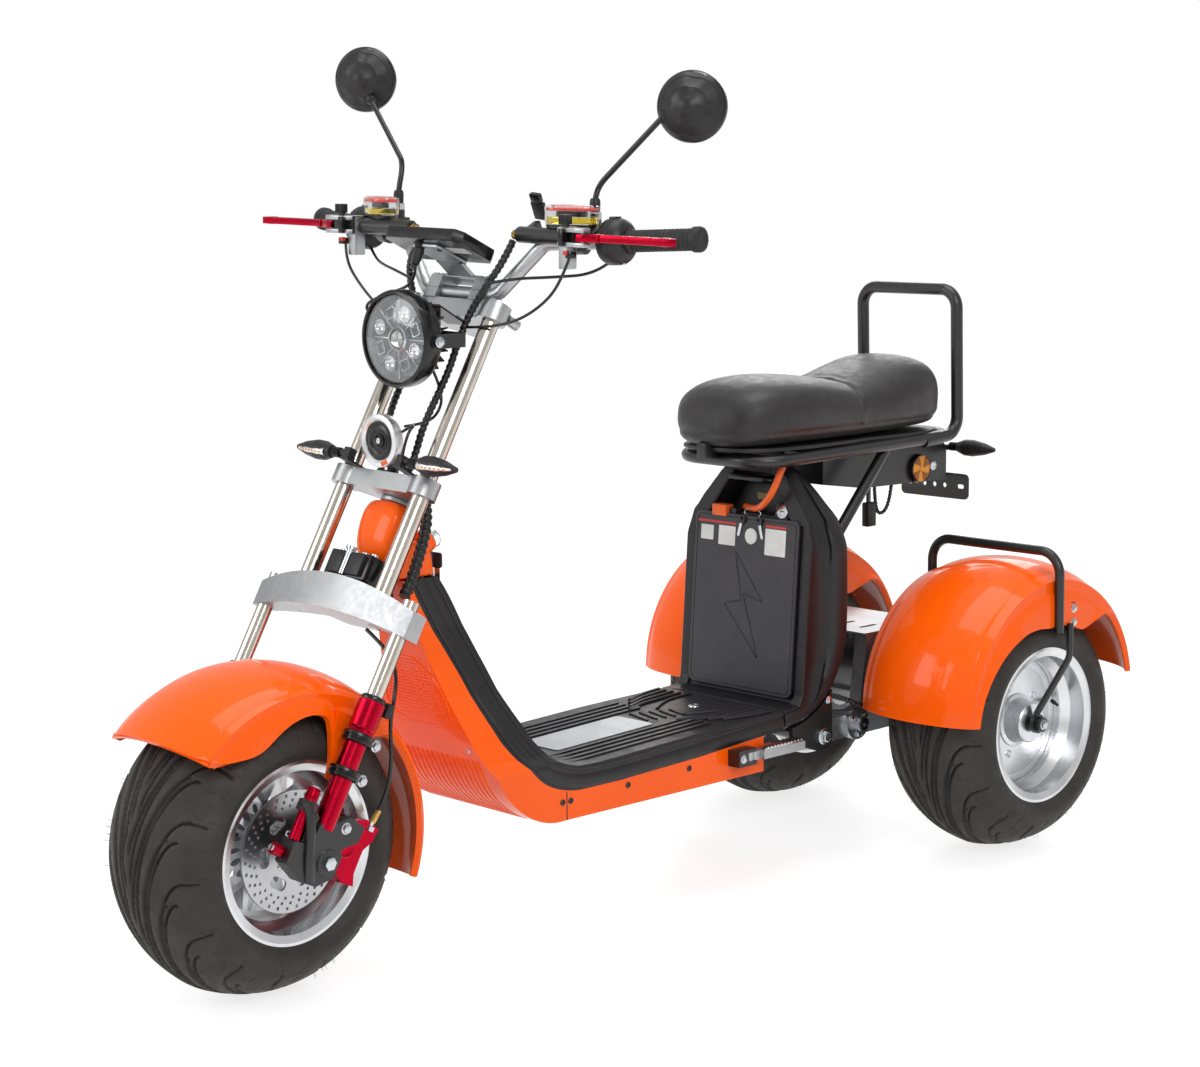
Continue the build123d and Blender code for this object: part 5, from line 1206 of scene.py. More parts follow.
class SCOOTER_OT_controls(bpy.types.Operator):
    """Makes the grips, levers, switches, fluid cups, mirrors, display and their fixings"""

    bl_idname = "scooter.controls"
    bl_label = "Handlebar and controls"

    def execute(self, context):
        ribs = context.scene.scooter_sizes.grip_ribs
        grip = Shape()
        profile = [(11.4, 0), (18.4, 0.4), (19, 2), (19, 5.4), (16.8, 7.4), (15.6, 9)]
        pitch = 96 / ribs
        for k in range(ribs):
            h = 11 + pitch * k
            profile += [(15.4, h), (16.5, h + pitch * 0.22), (16.5, h + pitch * 0.6), (15.4, h + pitch * 0.8)]
        profile += [(15.8, 109), (18.6, 111.5), (19, 113), (19, 122), (17.6, 125), (13, 126.2), (12.4, 125.4),
                    (0.5, 125.2)]
        grip.lathe(profile, bar_frame(GRIP_IN - 3), "grip_rubber", 40)
        grip.mirrored()
        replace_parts(grip.piece("grip_sleeves", "steering", True, 30), "grips")

        box = Shape()
        body = [(11.4, 0), (23, 0), (30, 4), (34, 11), (34.9, 19), (34.9, 24), (34.2, 24.6), (34.2, 25.4),
                (34.9, 26), (34.4, 33), (31, 39), (27, 43), (23, 45.4), (11.4, 46)]
        box.lathe(body, bar_frame(258), "black_plastic", 48)
        box.mirrored()
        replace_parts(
            box.piece("switch_shells", "steering", True, 30), "switch_housings")
        keys = Shape()
        here = bar_frame(258)

        def on_shell(angle, along, radius):
            """A place on the shell whose Z points away from the bar."""
            return here @ spin(angle) @ shift(radius, 0, along) \
                @ Matrix.Rotation(pi / 2, 4, "Y")

        keys.lathe([(0.3, -3), (8.4, -3), (8.8, 0.4), (8, 1.4), (0.3, 1.6)], on_shell(radians(-150), 16, 34),
                   "black_gloss", 24)
        keys.block((8, 15, 6), on_shell(radians(-178), 24, 34), "black_gloss", 1.2)
        keys.block((9, 9, 5), on_shell(radians(-196), 32, 33), "red_seal", 1.2)
        keys.block((16, 10, 6), on_shell(radians(-88), 22, 34.4), "black_gloss", 1.4)
        keys.lathe([(0.3, -2), (3.6, -2), (3.6, 0.8), (0.3, 1.2)], on_shell(radians(88), 12, 34), "zinc", 14)
        keys.lathe([(0.3, -2), (3.6, -2), (3.6, 0.8), (0.3, 1.2)], on_shell(radians(88), 34, 33), "zinc", 14)
        keys.mirrored()
        keys.piece("switch_keys", "steering", True)

        lever = Shape()
        flat = place_on(PIVOT - UP * 5.6 * MM, UP, AHEAD)
        outline = [(9, -6), (9.6, 2), (7, 8), (0, 26), (-1.5, 31), (-1, 60), (-0.5, 100), (1, 140), (3, 166),
                   (3.4, 172), (0, 177), (-6, 178), (-10, 174), (-10.5, 168), (-12, 140), (-13.6, 100),
                   (-14, 60), (-14.2, 36), (-11, 24), (-8.4, 6), (-9, -4), (-4, -8.6), (4, -8.6)]
        slot = stadium(24, 4)
        cut = [(-7.4 + y * 0.9, 60 + x) for x, y in slot]
        cut_far = [(-5.6 + y * 0.9, 104 + x) for x, y in slot]
        lever.plate([outline, cut, cut_far], 11.2, flat, "red_anodised", 1.1)
        for along, width in ((20, 5), (30, 3.2), (154, 4), (162, 4)):
            lever.block((15, width, 12.4), flat @ shift(-6, along, 5.6), "red_anodised", 1.2)
        lever.lathe([(0.3, -3.6), (5, -3.6), (5, 14.6), (3.4, 16), (0.3, 16)], flat, "zinc", 6)
        lever.mirrored()
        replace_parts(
            lever.piece("lever_blades", "steering", True, 30), "brake_levers")

        # silver bracket of the lever: a jaw over and under the blade, and its arm down to the clamp
        jaw = Shape()
        for low, thick in ((-14, 7), (7.4, 7)):
            plan = [(-26, -52), (-4, -52), (6, -46), (9, -12), (10, 0), (7, 8), (0, 10), (-8, 8), (-10, -6),
                    (-14, -30), (-26, -34)]
            jaw.plate([plan], thick, place_on(PIVOT + UP * low * MM, UP, AHEAD), "silver_cast", 1.2)
        for size, step, finish, edge in (
            ((22, 17, 60), (-14, -44, -18), "silver_cast", 2), ((14, 9, 26), (6, -34, 0), "black_gloss", 1.4),
            ((12, 12, 10), (-2, -26, -26), "black_gloss", 1), ((7, 7, 6), (4, -30, -23), "red_seal", 0.8),
        ):
            jaw.block(size, place_on(PIVOT + at(*step), UP, AHEAD), finish, edge)
        jaw.lathe([(0.3, 0), (6, 0), (6.4, 2), (6.4, 15), (5.4, 18), (0.3, 18)],
                  place_on(PIVOT + at(6, -30, 15), UP, AHEAD), "black_metal", 16)
        for k in range(-2, 3):
            rib = place_on(PIVOT + at(6, -30 + 3.2 * k, 26), UP, AHEAD)
            jaw.block((14.4, 1.6, 14), rib, "black_metal", 0.4)
        # the reservoir's tray and the brass end cap of the bore
        tray = place_on(CUP - UP * 19 * MM, UP, AHEAD) @ spin(CUP_TURN)
        rows = []
        for h, grow in ((0, -26), (4, -22), (12, -8), (16, -4), (19, -4)):
            rows.append([tray @ at(x, y, h) for x, y in stadium(84 + grow, 46 + grow * 0.9)])
        jaw.grid(rows, "black_metal", close_cols=True, cap=True)
        end = place_on(bar_point(-6, 121, 95), -OUTBOARD, UP)
        jaw.lathe([(0.3, -1), (8.4, -1), (8.4, 6), (7, 7), (7, 12), (0.3, 12)], end, "brass", 6)
        jaw.mirrored()
        jaw.piece("lever_brackets", "steering", True)

        cup = Shape()
        seat = place_on(CUP, UP, AHEAD) @ spin(CUP_TURN)
        rows = [
            [seat @ at(x, y, h) for x, y in stadium(84 + grow, 46 + grow)]
            for h, grow in ((0.4, -3), (3, -0.4), (19, -0.6), (19.4, 0.6), (25, 0.6), (27.4, -1), (28.8, -6))
        ]
        cup.grid(rows, "lens", close_cols=True, cap=True)
        cup.mirrored()
        outer = cup.piece("fluid_cup_shells", "steering", True)
        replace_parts(outer, "fluid_cups")
        fill = Shape()
        for low, high, shrink, finish in ((1.4, 11, 7, "fluid_yellow"), (20.6, 24.6, 5, "red_seal")):
            rows = [
                [seat @ at(x, y, h) for x, y in stadium(84 - shrink - cut, 46 - shrink - cut)]
                for h, cut in ((low, 1), (low + 0.6, 0), (high - 0.6, 0), (high, 1))
            ]
            fill.grid(rows, finish, close_cols=True, cap=True)
        fill.block((46, 12, 8), seat @ shift(0, 0, 15.5), "black_metal", 1)
        for x in (-34, 34):
            fill.lathe(
                [(0.3, 24), (2.6, 24), (2.6, 28.2), (0.3, 28.4)], seat @ shift(x * 0.9, 0, 0), "zinc", 12)
        fill.mirrored()
        fill.piece("fluid_cup_insides", "steering", True)

        heads = Shape()
        for sign, knee, stem_end, shell in MIRRORS:
            back = place_on(shell, MIRROR_FACING, UP)
            heads.band([(52.4, -6.8), (53.4, -5), (53.4, 0), (52.4, 2.6), (51, 4.6)], back, "black_gloss", 72)
            rows = []
            for r, h in ((51, 4.6), (46, 10.5), (44.6, 10.6), (37, 16.6), (30, 22), (28.6, 22), (22, 25.6),
                         (15, 27.6), (13.8, 28.8), (7, 31.4), (0.6, 33)):
                ring = []
                for i in range(72):
                    a = tau * i / 72
                    notch = (0.5 + 0.5 * cos(a * 4 + 0.6)) ** 5
                    fold = 1 - 0.13 * notch * exp(-(((r - 38) / 9) ** 2))
                    ring.append(back @ at(cos(a) * r * fold, sin(a) * r * fold, h))
                rows.append(ring)
            heads.grid(rows, "black_plastic", close_cols=True, cap=True)
            heads.band([(52.6, -6.9), (50.6, -6.9), (50.4, -4.2)], back, "black_gloss", 72)
            foot = bar_point(-66, sign * 220, 120)
            heads.lathe(
                [(0.3, 0.4), (10.4, 0.4), (10.4, 9), (9.4, 10.4), (0.3, 10.4)], place_on(foot), "zinc", 6)
            heads.lathe(
                [(0.3, 10), (8, 10), (8.2, 26), (6.8, 31), (0.3, 32)], place_on(foot), "black_plastic", 20)
            line = smooth_line([foot + UP * 24 * MM, foot + UP * 32 * MM, knee, knee.lerp(stem_end, 0.2),
                                knee.lerp(stem_end, 0.8), stem_end], 3, steps=10)
            heads.tube(line, 4.5, "black_gloss", 14)
            heads.lathe([(0.3, -8), (6, -7), (8.6, -2), (8.6, 2), (6, 7), (0.3, 8)],
                        place_on(stem_end, MIRROR_FACING), "black_plastic", 20)
        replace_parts(heads.piece("mirror_shells", "steering", True, 30), "mirrors")

        # the display: a housing with chamfered corners, its glass, label, bracket, screws and plug
        face = Shape()
        shell = [(-46, -73), (-34, -85), (34, -85), (46, -73), (46, 73), (34, 85), (-34, 85), (-46, 73)]
        face.plate([shell], 19.6, DISPLAY @ shift(0, 0, -19.8), "black_gloss", 2.6)
        face.plate([[(x * 0.88, y * 0.93) for x, y in shell]], 0.8, DISPLAY @ shift(0, 0, -0.5),
                   "screen", 0.3)
        face.plate([rounded(20, 44, 3)], 0.5, DISPLAY @ shift(4, 50, -20.4), "label")
        face.plate([rounded(70, 62, 8)], 6, DISPLAY @ shift(-6, 0, -26), "silver_cast", 1.4)
        for x, y in ((-30, -24), (-30, 24), (18, -24), (18, 24)):
            face.lathe(
                [(0.3, 0), (3.6, 0), (3.6, -2), (0.3, -2.4)], DISPLAY @ shift(x, y, -26), "black_metal", 14)
        plug = DISPLAY @ shift(26, -12, -20) @ Matrix.Rotation(pi, 4, "X")
        face.lathe([(0.3, 0), (8, 0), (8.4, 6), (7, 8), (9, 10), (8.6, 26), (6.4, 34), (4.2, 36), (4, 42),
                    (0.3, 42)], plug, "black_plastic", 22)
        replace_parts(face.piece("display_unit", "steering", True, 30), "display")

        # a thumb flag switch inboard of the left cup
        flag = Shape()
        root = bar_point(-76, 100, 113)
        top = bar_point(-55, 104, 153)
        flag.block((26, 7, 30), place_on(root.lerp(top, 0.4), top - root, LEFT), "black_plastic", 2)
        flag.block((20, 8, 14), place_on(root.lerp(top, 0.9), top - root, LEFT), "black_gloss", 1.5)
        flag.block(
            (12, 14, 34), place_on(root.lerp(bar_point(-20, 112, 90), 0.5), bar_point(-20, 112, 90) - root,
            LEFT), "black_metal", 2)
        flag.piece("flag_switch", "steering", True)
        return {"FINISHED"}


# ------------------------------------------------------------------ body: housing, mouldings, belly and neck
# (height, half width) of the footboard and belly, and side-view lines of (x, z), in mm
BODY_WIDTHS = ((150, 145), (285, 145), (300, 127), (330, 112), (350, 105), (405, 76), (465, 58), (510, 48),
               (600, 42), (760, 40))
BELLY_LINE = ((1172, 590), (1150, 510), (1138, 465), (1118, 405), (1105, 354), (1086, 303), (1063, 257),
              (1027, 220), (983, 197), (940, 192))
TRIM_LINE = ((1160, 590), (1132, 530), (1101, 472), (1077, 419), (1058, 368), (1037, 323), (1011, 288),
             (985, 262), (945, 243), (904, 236))
TREAD_LINE = ((1104, 590), (1085, 560), (1065, 520), (1031, 444), (1010, 390), (988, 342), (966, 307),
              (943, 287), (900, 275), (863, 274))
HOUSING_WIDTHS = ((200, 150), (560, 150), (604, 136), (682, 76), (694, 64))
# the housing's side from below up, in mm: x and z of its rear edge, x and z of its front edge
HOUSING_SIDE = (
    (430, 253, 430, 287.5), (386.5, 258.7, 410, 288), (346, 275.5, 393, 291), (311.2, 302.2, 385.3, 304),
    (284.5, 337, 383, 330), (269.3, 371.9, 379.6, 375), (262.6, 406.4, 376.8, 410), (262, 460, 372.8, 462),
    (262, 510, 369, 512), (263, 560, 365, 562), (269, 590, 362.7, 592), (280, 628, 357.5, 632),
    (290, 656, 353.6, 657), (300, 676, 349.7, 676), (312, 694, 346, 694),
)
# how far the housing's side lies in from its full width, at distances from its rear edge
REAR_BAND = ((0, 16), (2, 8), (6, 3), (12, 0.6), (20, 0), (30, 0.4), (37, 2.2), (42, 6), (46, 11))
# the neck's cap in mm: height along the fork, radius
NECK_CAP = (
    (455, 24), (458, 30), (466, 35.5), (478, 39.5), (492, 42.5), (508, 44.5), (522, 45), (533, 43.5),
    (541, 40), (545.5, 34), (547, 27),
)
BATTERY_HIGH = 309
BATTERY_LEAN = atan2(24, BATTERY_HIGH)
BATTERY_FACE = place_on(at(374, 0, 451.5), Vector((cos(BATTERY_LEAN), 0, sin(BATTERY_LEAN))), LEFT)


def half_width(z, table=BODY_WIDTHS):
    """Half of a body's width at a height, in mm."""
    return float(np.interp(z, [row[0] for row in table], [row[1] for row in table]))


def fine_line(points, steps=6):
    """A smooth side-view line of (x, z) points in mm, as finer (x, z) points."""
    line = smooth_line([at(x, 0, z) for x, z in points], 3, steps=steps)
    return [(p.x / MM, p.z / MM) for p in line]


def across_line(line, i):
    """The unit normal of a side-view line at a point, in its plane."""
    a, b = line[max(0, i - 1)], line[min(len(line) - 1, i + 1)]
    dx, dz = b[0] - a[0], b[1] - a[1]
    size = hypot(dx, dz)
    return dz / size, -dx / size


def side_bead(shape, line, width, height, finish, lift=0.0):
    """A raised half-round band along a side-view line, on the body's left side."""
    rows = []
    for i, (x, z) in enumerate(line):
        nx, nz = across_line(line, i)
        row = []
        for k in range(9):
            a = pi * k / 8
            offset = -cos(a) * width / 2
            px, pz = x + nx * offset, z + nz * offset
            row.append(at(px, half_width(pz) + lift - 1.5 + (height + 1.5) * sin(a) ** 0.7, pz))
        rows.append(row)
    shape.grid(rows, finish, close_cols=True, cap=True)


class SCOOTER_OT_body(bpy.types.Operator):
    """Shapes the battery housing, the mouldings, the floor's marks, the belly's panel and the neck"""

    bl_idname = "scooter.body"
    bl_label = "Body"

    def execute(self, context):
        self.housing()
        self.battery()
        self.mouldings()
        self.belly()
        self.neck()
        return {"FINISHED"}

    def housing(self):
        """A moulded shell: round rear bead, deep band beside it, bezel at the battery and recess above."""
        table = np.array(HOUSING_SIDE)
        keys = np.arange(len(table))
        fine = np.unique(np.concatenate([np.linspace(0, len(table) - 1, 62), [10.3, 10.45, 13.1, 13.25]]))
        columns = [np.interp(fine, keys, table[:, k]) for k in range(4)]
        for column in columns[:2]:
            for _ in range(6):
                column[1:-1] = (column[:-2] + 2 * column[1:-1] + column[2:]) / 4
        shape = Shape()
        rows = []
        for rx, rz, fx, fz in zip(*columns):
            run = hypot(fx - rx, fz - rz)
            half = half_width((rz + fz) / 2, HOUSING_WIDTHS)
            deep = 17 * min(1, max(0, (run - 40) / 60))
            side = []
            for d, inset in REAR_BAND:
                side.append((min(d, run * 0.42), inset if d < 36 else inset * deep / 17))
            for part, inset in ((0.56, 0.96), (0.68, 1.0), (0.8, 0.86), (0.88, 0.6)):
                side.append((max(run * part, run * 0.43), deep * inset + 1))
            side += [(run - 9, 4.4), (run - 5, 2.6), (run - 1.5, 2.4), (run, 4.4)]
            recess = 96 - (fz - 602) * 0.62
            open_half, back = (125, 8) if fz < 602 else (recess, 46) if fz < 678 else (40, 1)
            left = []
            for d, inset in side:
                part = d / run
                left.append((rx + (fx - rx) * part, half - inset, rz + (fz - rz) * part))
            lip = min(open_half + 4, half - 9)
            left.append((fx, lip, fz))
            left.append((fx - 2, min(open_half, lip - 3), fz))
            left.append((fx - back, min(open_half, lip - 3) - (1 if back < 10 else 12), fz))
            row = left + [(x, -y, z) for x, y, z in reversed(left)]
            rows.append([at(x, y, z) for x, y, z in row])
        shape.grid(rows, "black_plastic", close_cols=True, cap=True)
        shell = shape.piece("housing_shell", "chassis", angle=28)
        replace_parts(shell, "battery_housing")

    def battery(self):
        """The pack's face: border, zigzag line, bare labels, handle, lock and keys."""
        high = BATTERY_HIGH / cos(BATTERY_LEAN)
        face = Shape()
        up = BATTERY_FACE @ shift(0, 0, 3)
        outer = rounded(246, high - 3, 13)
        # the face's lighter black is painted light on the dark moulding
        face.plate([outer], 5.4, up @ shift(0, 0, -4.4), "battery_face", 1.2)
        border = [rounded(236, high - 13, 10), rounded(232, high - 17, 8)]
        face.plate(border, 0.8, up @ shift(0, 0, 0.6), "black_gloss", 0.2)
        # a plain zigzag line of bars 3 mm wide
        zigzag = ((22, 88), (-46, 6), (0, 16), (-40, -92), (44, -6), (4, 4), (22, 88))
        for a, b in zip(zigzag, zigzag[1:]):
            mid, turn = ((a[0] + b[0]) / 2, (a[1] + b[1]) / 2), atan2(b[1] - a[1], b[0] - a[0])
            spot = up @ shift(-mid[0], mid[1], 1.0) @ spin(pi - turn)
            face.block((hypot(b[0] - a[0], b[1] - a[1]), 3.0, 1.0), spot, "black_gloss", 0.3)
        face.piece("battery_face", "chassis")
        marks = Shape()
        for x, y, w, h in ((-93, 116, 30, 26), (-45, 114, 40, 34), (70, 112, 48, 46)):
            marks.plate([rounded(w, h, 1.5, (x, y))], 0.3, up @ shift(0, 0, 1.02), "label")
        for x, y, w, h in ((-70, 136, 92, 4), (70, 139, 48, 4)):
            marks.plate([rounded(w, h, 1, (x, y))], 0.3, up @ shift(0, 0, 1.02), "red_seal")
        marks.plate([circle(14, 32, (12, 118))], 0.3, up @ shift(0, 0, 1.02), "label")
        marks.piece("battery_labels", "chassis")

        trim = Shape()
        trim.tube([at(312, -72, 668), at(340, -66, 668), at(346, -58, 668), at(346, 22, 668),
                   at(340, 32, 668), at(312, 38, 668)], 7, "black_gloss", 14)
        trim.block((36, 200, 7), place_on(at(334, 0, 603.5)), "black_plastic", 2)
        trim.block((16, 52, 15), place_on(at(353, -57, 606)), "black_plastic", 2)
        trim.block((20, 34, 20), place_on(at(360, -64, 609)), "lead_orange", 2)
        lock = place_on(at(356, 77, 617), AHEAD + UP * 0.25, UP)
        trim.lathe([(0.3, -20), (18, -20), (19, -2), (18, 2), (14, 3.4), (13, 2.4)], lock, "black_gloss", 32)
        trim.lathe([(12.6, 1), (12, 3), (0.4, 3.2)], lock, "zinc", 28)
        trim.block((1.6, 9, 1), lock @ shift(0, 0, 3.3), "screen", 0.2)
        for y, lean in ((-8, -0.3), (32, 0.25)):
            key = place_on(at(369, y, 598), AHEAD, UP) @ spin(lean)
            trim.plate([circle(8, 24), circle(3, 16, (2, 0))], 2, key, "black_gloss", 0.4)
            trim.plate([[(-7, -3), (-30, -3), (-33, 0), (-30, 3), (-7, 3)]], 1.6, key, "zinc", 0.3)
        ring = [at(364, 12 + 19 * cos(tau * k / 24), 610 + 8 * sin(tau * k / 24)) for k in range(24)]
        trim.tube(ring, 0.9, "zinc", 8, closed=True)
        trim.plate([rounded(12, 34, 2)], 1.2, place_on(at(352, 30, 640), AHEAD, UP), "fluid_yellow", 0.3)
        trim.piece("battery_fittings", "chassis")

    def mouldings(self):
        """Beads along the footboard's side and the marks on its floor."""
        trim, tread = fine_line(TRIM_LINE), fine_line(TREAD_LINE)
        count = min(len(trim), len(tread))

        def between(share):
            picked = []
            for i in range(count):
                a = trim[round(i * (len(trim) - 1) / (count - 1))]
                b = tread[round(i * (len(tread) - 1) / (count - 1))]
                picked.append((a[0] + (b[0] - a[0]) * share, a[1] + (b[1] - a[1]) * share))
            return picked

        bead = Shape()
        outer = between(0.32) + [(820, 248), (760, 250), (640, 255), (540, 261), (432, 266)]
        inner = between(0.85) + [(810, 269), (740, 273), (640, 277), (540, 280), (432, 282)]
        side_bead(bead, outer, 22, 3.4, "black_plastic")
        side_bead(bead, inner, 8, 2.4, "black_plastic")
        bead.mirrored()
        bead.piece("footboard_beads", "chassis")
        floor = Shape()
        slope = radians(2.25)

        def on_floor(x, y, lift=0.0):
            z = 274 + 9 * (863 - x) / 224 if x > 639 else 283 + 5 * (639 - x) / 222
            return place_on(at(x, y, z + lift), Vector((sin(slope), 0, cos(slope))), AHEAD)

        for k in range(5):
            bar = on_floor(622 - 17 * k, 6 * k - 12, 1.2) @ spin(radians(76))
            floor.block((60 - 3 * k, 5.5, 3.2), bar, "black_plastic", 1.4)
        for side in (1, -1):
            for k, (y, x_far) in enumerate(((58, 600), (76, 582), (94, 564), (112, 546))):
                a = on_floor(x_far, side * y, 1.4).translation
                b = on_floor(x_far - 48, side * (y + 16), 1.6).translation
                c = on_floor(452, side * min(y + 24, 134), 1.6).translation
                floor.tube([a, a.lerp(b, 0.5), b, c], 3.6, "black_plastic", 10)
            a = [on_floor(560, side * 30, 1).translation, on_floor(520, side * 58, 1).translation,
                 on_floor(470, side * 66, 1).translation, on_floor(440, side * 66, 1).translation]
            floor.tube(smooth_line(a, 3), 3, "black_plastic", 10)
        floor.lathe(
            [(0.3, -1), (11, -1), (10, 1.4), (6, 2.6), (3, 1.6), (0.3, 1.4)], on_floor(500, 0), "zinc", 20)
        floor.piece("floor_marks", "chassis")

    def belly(self):
        """The embossed dot panel, the ribs on the lower curve, the joint line and the screws."""
        line = fine_line(BELLY_LINE, 10)
        zs = np.array([z for _, z in line][::-1])
        xs = np.array([x for x, _ in line][::-1])

        def on_front(y, z):
            x = float(np.interp(z, zs, xs))
            slope = float(np.interp(z + 4, zs, xs) - np.interp(z - 4, zs, xs)) / 8
            return at(x, y, z), Vector((1, 0, -slope)).normalized()

        dot = Shape()
        dot.lathe([(0.1, 1.3), (1.1, 1.0), (1.9, 0.1), (1.9, -0.6)], Matrix.Identity(4), "orange_body", 8)
        spots = []
        for row in range(22):
            z = 352 + row * 5.4
            half = min(half_width(z) - 9, 84 - 0.004 * (z - 375) ** 2)
            n = int(half // 6)
            for k in range(-n, n + 1):
                place, aim = on_front(6 * k + (3 if row % 2 and k < n else 0), z)
                spots.append((place, aim, LEFT))
        dots = repeated("belly_dots", spots, dot, "orange_body", "chassis")
        ribs = Shape()
        low = [p for p in line if p[1] < 312]
        for k in range(-9, 10):
            y = k * 12.2
            path = [at(x, y * min(1, (half_width(z) - 8) / 112), z) for x, z in low]
            ribs.tube(path, [0.4] + [3.4] * (len(path) - 2) + [0.4], "orange_body", 8)
        rim = []
        for k in range(40):
            a = tau * k / 40
            z = 409 + 62 * sin(a) * (0.9 + 0.1 * abs(cos(a)))
            y = cos(a) * min(half_width(z) - 5, 88)
            rim.append(on_front(y, z)[0])
        ribs.tube(rim, 1.7, "orange_body", 8, closed=True)
        ribs.block((1.6, 291.2, 46), place_on(at(934, 0, 215)), "screen", 0.2)
        ribs.piece("belly_ribs", "chassis")
        screws = []
        for side in (1, -1):
            for x, z in ((926, 222), (943, 222), (800, 225), (660, 228)):
                screws.append((at(x, side * 145, z), LEFT * side, UP))
            for y, z in ((38, 505), (104, 322)):
                place, aim = on_front(side * y * 0.92, z)
                screws.append((place, aim, UP))
        spots = [spot for spot in screws if abs(spot[1].y) > 0.5]
        repeated("belly_side_screws", spots, button_screw(5.2, 2.6), "black_metal", "chassis")
        spots = [spot for spot in screws if abs(spot[1].y) <= 0.5]
        repeated("belly_front_screws", spots, button_screw(4.2, 2.4), "zinc", "chassis")

    def neck(self):
        """A blown cap with a flattened front round the head tube, and the block with the ignition lock."""
        cap = Shape()
        rows = []
        for s, r in NECK_CAP:
            ring = []
            for k in range(48):
                a = tau * k / 48
                n, y = cos(a) * r, sin(a) * r * (1 + 0.05 * cos(a))
                flat = 26 - 0.0040 * (s - 520) ** 2
                if n > flat:
                    n = flat + (n - flat) * 0.35
                ring.append(fork_at(-38 + n, y, s))
            rows.append(ring)
        cap.grid(rows, "orange_body", close_cols=True, cap=True)
        sides = [(1104.6, 590.4), (1171.5, 590.4), (1192, 612), (1176, 640), (1150, 652), (1128, 646),
                 (1109, 624)]
        block = place_on(at(0, 39.4, 0), -LEFT, AHEAD)
        cap.plate([sides], 78.8, block, "orange_body", 9)
        boss = place_on(at(1118, 22, 640), Vector((-0.86, 0.12, 0.5)), LEFT)
        cap.lathe([(0.3, -26), (17, -26), (19, -4), (19, 12), (17.4, 15), (16, 14)], boss, "orange_body", 32)
        cap.lathe([(16, 12), (15.4, 16.6), (6, 17), (0.3, 17)], boss, "black_metal", 28)
        shell = cap.piece("neck_cover", "chassis", angle=40)
        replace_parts(shell, "head_cover")
        keys = Shape()
        keys.block((1.8, 9, 16), boss @ shift(0, 0, 24), "zinc", 0.4)
        hang = boss @ Vector((0, 0, 0.030))
        ring = [hang + Vector((0, cos(tau * k / 20), sin(tau * k / 20) - 0.9)) * 11 * MM for k in range(20)]
        keys.tube(ring, 0.9, "zinc", 8, closed=True)
        for lean in (-0.35, 0.1, 0.45):
            tag = place_on(hang + at(0, 14 * lean, -42), Vector((1, lean, 0)), UP)
            keys.plate([rounded(24, 13, 4)], 5, tag, "black_plastic", 1)
            keys.plate([[(-12, -2.6), (-34, -2.6), (-37, 0), (-34, 2.6), (-12, 2.6)]], 1.6,
                       tag @ shift(0, 0, 1.6), "zinc", 0.3)
        keys.piece("ignition_keys", "chassis")


# ------------------------------------------------------------------ cords
THIN_CABLE = 4.6 * MM


def bare_length(line):
    """The length of a line of points."""
    return sum((b - a).length for a, b in zip(line, line[1:]))


def respaced(line, step):
    """The points of a line set evenly along it, about a step apart."""
    whole = bare_length(line)
    count = max(2, round(whole / step))
    wanted = [whole * i / count for i in range(count + 1)]
    made, run, i = [], 0.0, 0
    for goal in wanted:
        while i < len(line) - 2 and run + (line[i + 1] - line[i]).length < goal:
            run += (line[i + 1] - line[i]).length
            i += 1
        gap = (line[i + 1] - line[i]).length
        made.append(line[i].lerp(line[i + 1], min(1, (goal - run) / gap)))
    return made


def wrapped(shape, line, radius, pitch, finish, sides=14):
    """A tube with the ridge of a spiral wrap winding round it."""
    fine = respaced(line, pitch / 4.5)
    rows, side, walked = [], None, 0.0
    for i, point in enumerate(fine):
        before, after = fine[max(0, i - 1)], fine[min(len(fine) - 1, i + 1)]
        way = (after - before).normalized()
        side = way.orthogonal() if side is None else side - way * side.dot(way)
        side.normalize()
        up = way.cross(side)
        walked += (point - fine[i - 1]).length if i else 0.0
        row = []
        for k in range(sides):
            a = tau * k / sides
            r = radius - 0.24 * radius * (0.5 + 0.5 * cos(a - tau * walked / pitch)) ** 2
            row.append(point + (side * cos(a) + up * sin(a)) * r)
        rows.append(row)
    shape.grid(rows, finish, close_cols=True, cap=True)
    return fine


def cord(name, route, diameter, finish, body, parked, wrap=None, cover=None):
    """A cord along its route's smooth line, that may replace a CAD node."""
    line = smooth_line(route, 3, steps=10)
    shape = Shape()
    if wrap:
        line = wrapped(shape, line, diameter / 2, wrap, finish)
    else:
        shape.tube(line, diameter / 2 / MM, finish, 12)
    piece = shape.piece(name, body, parked, 40)
    if cover:
        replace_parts(piece, cover)
    return piece


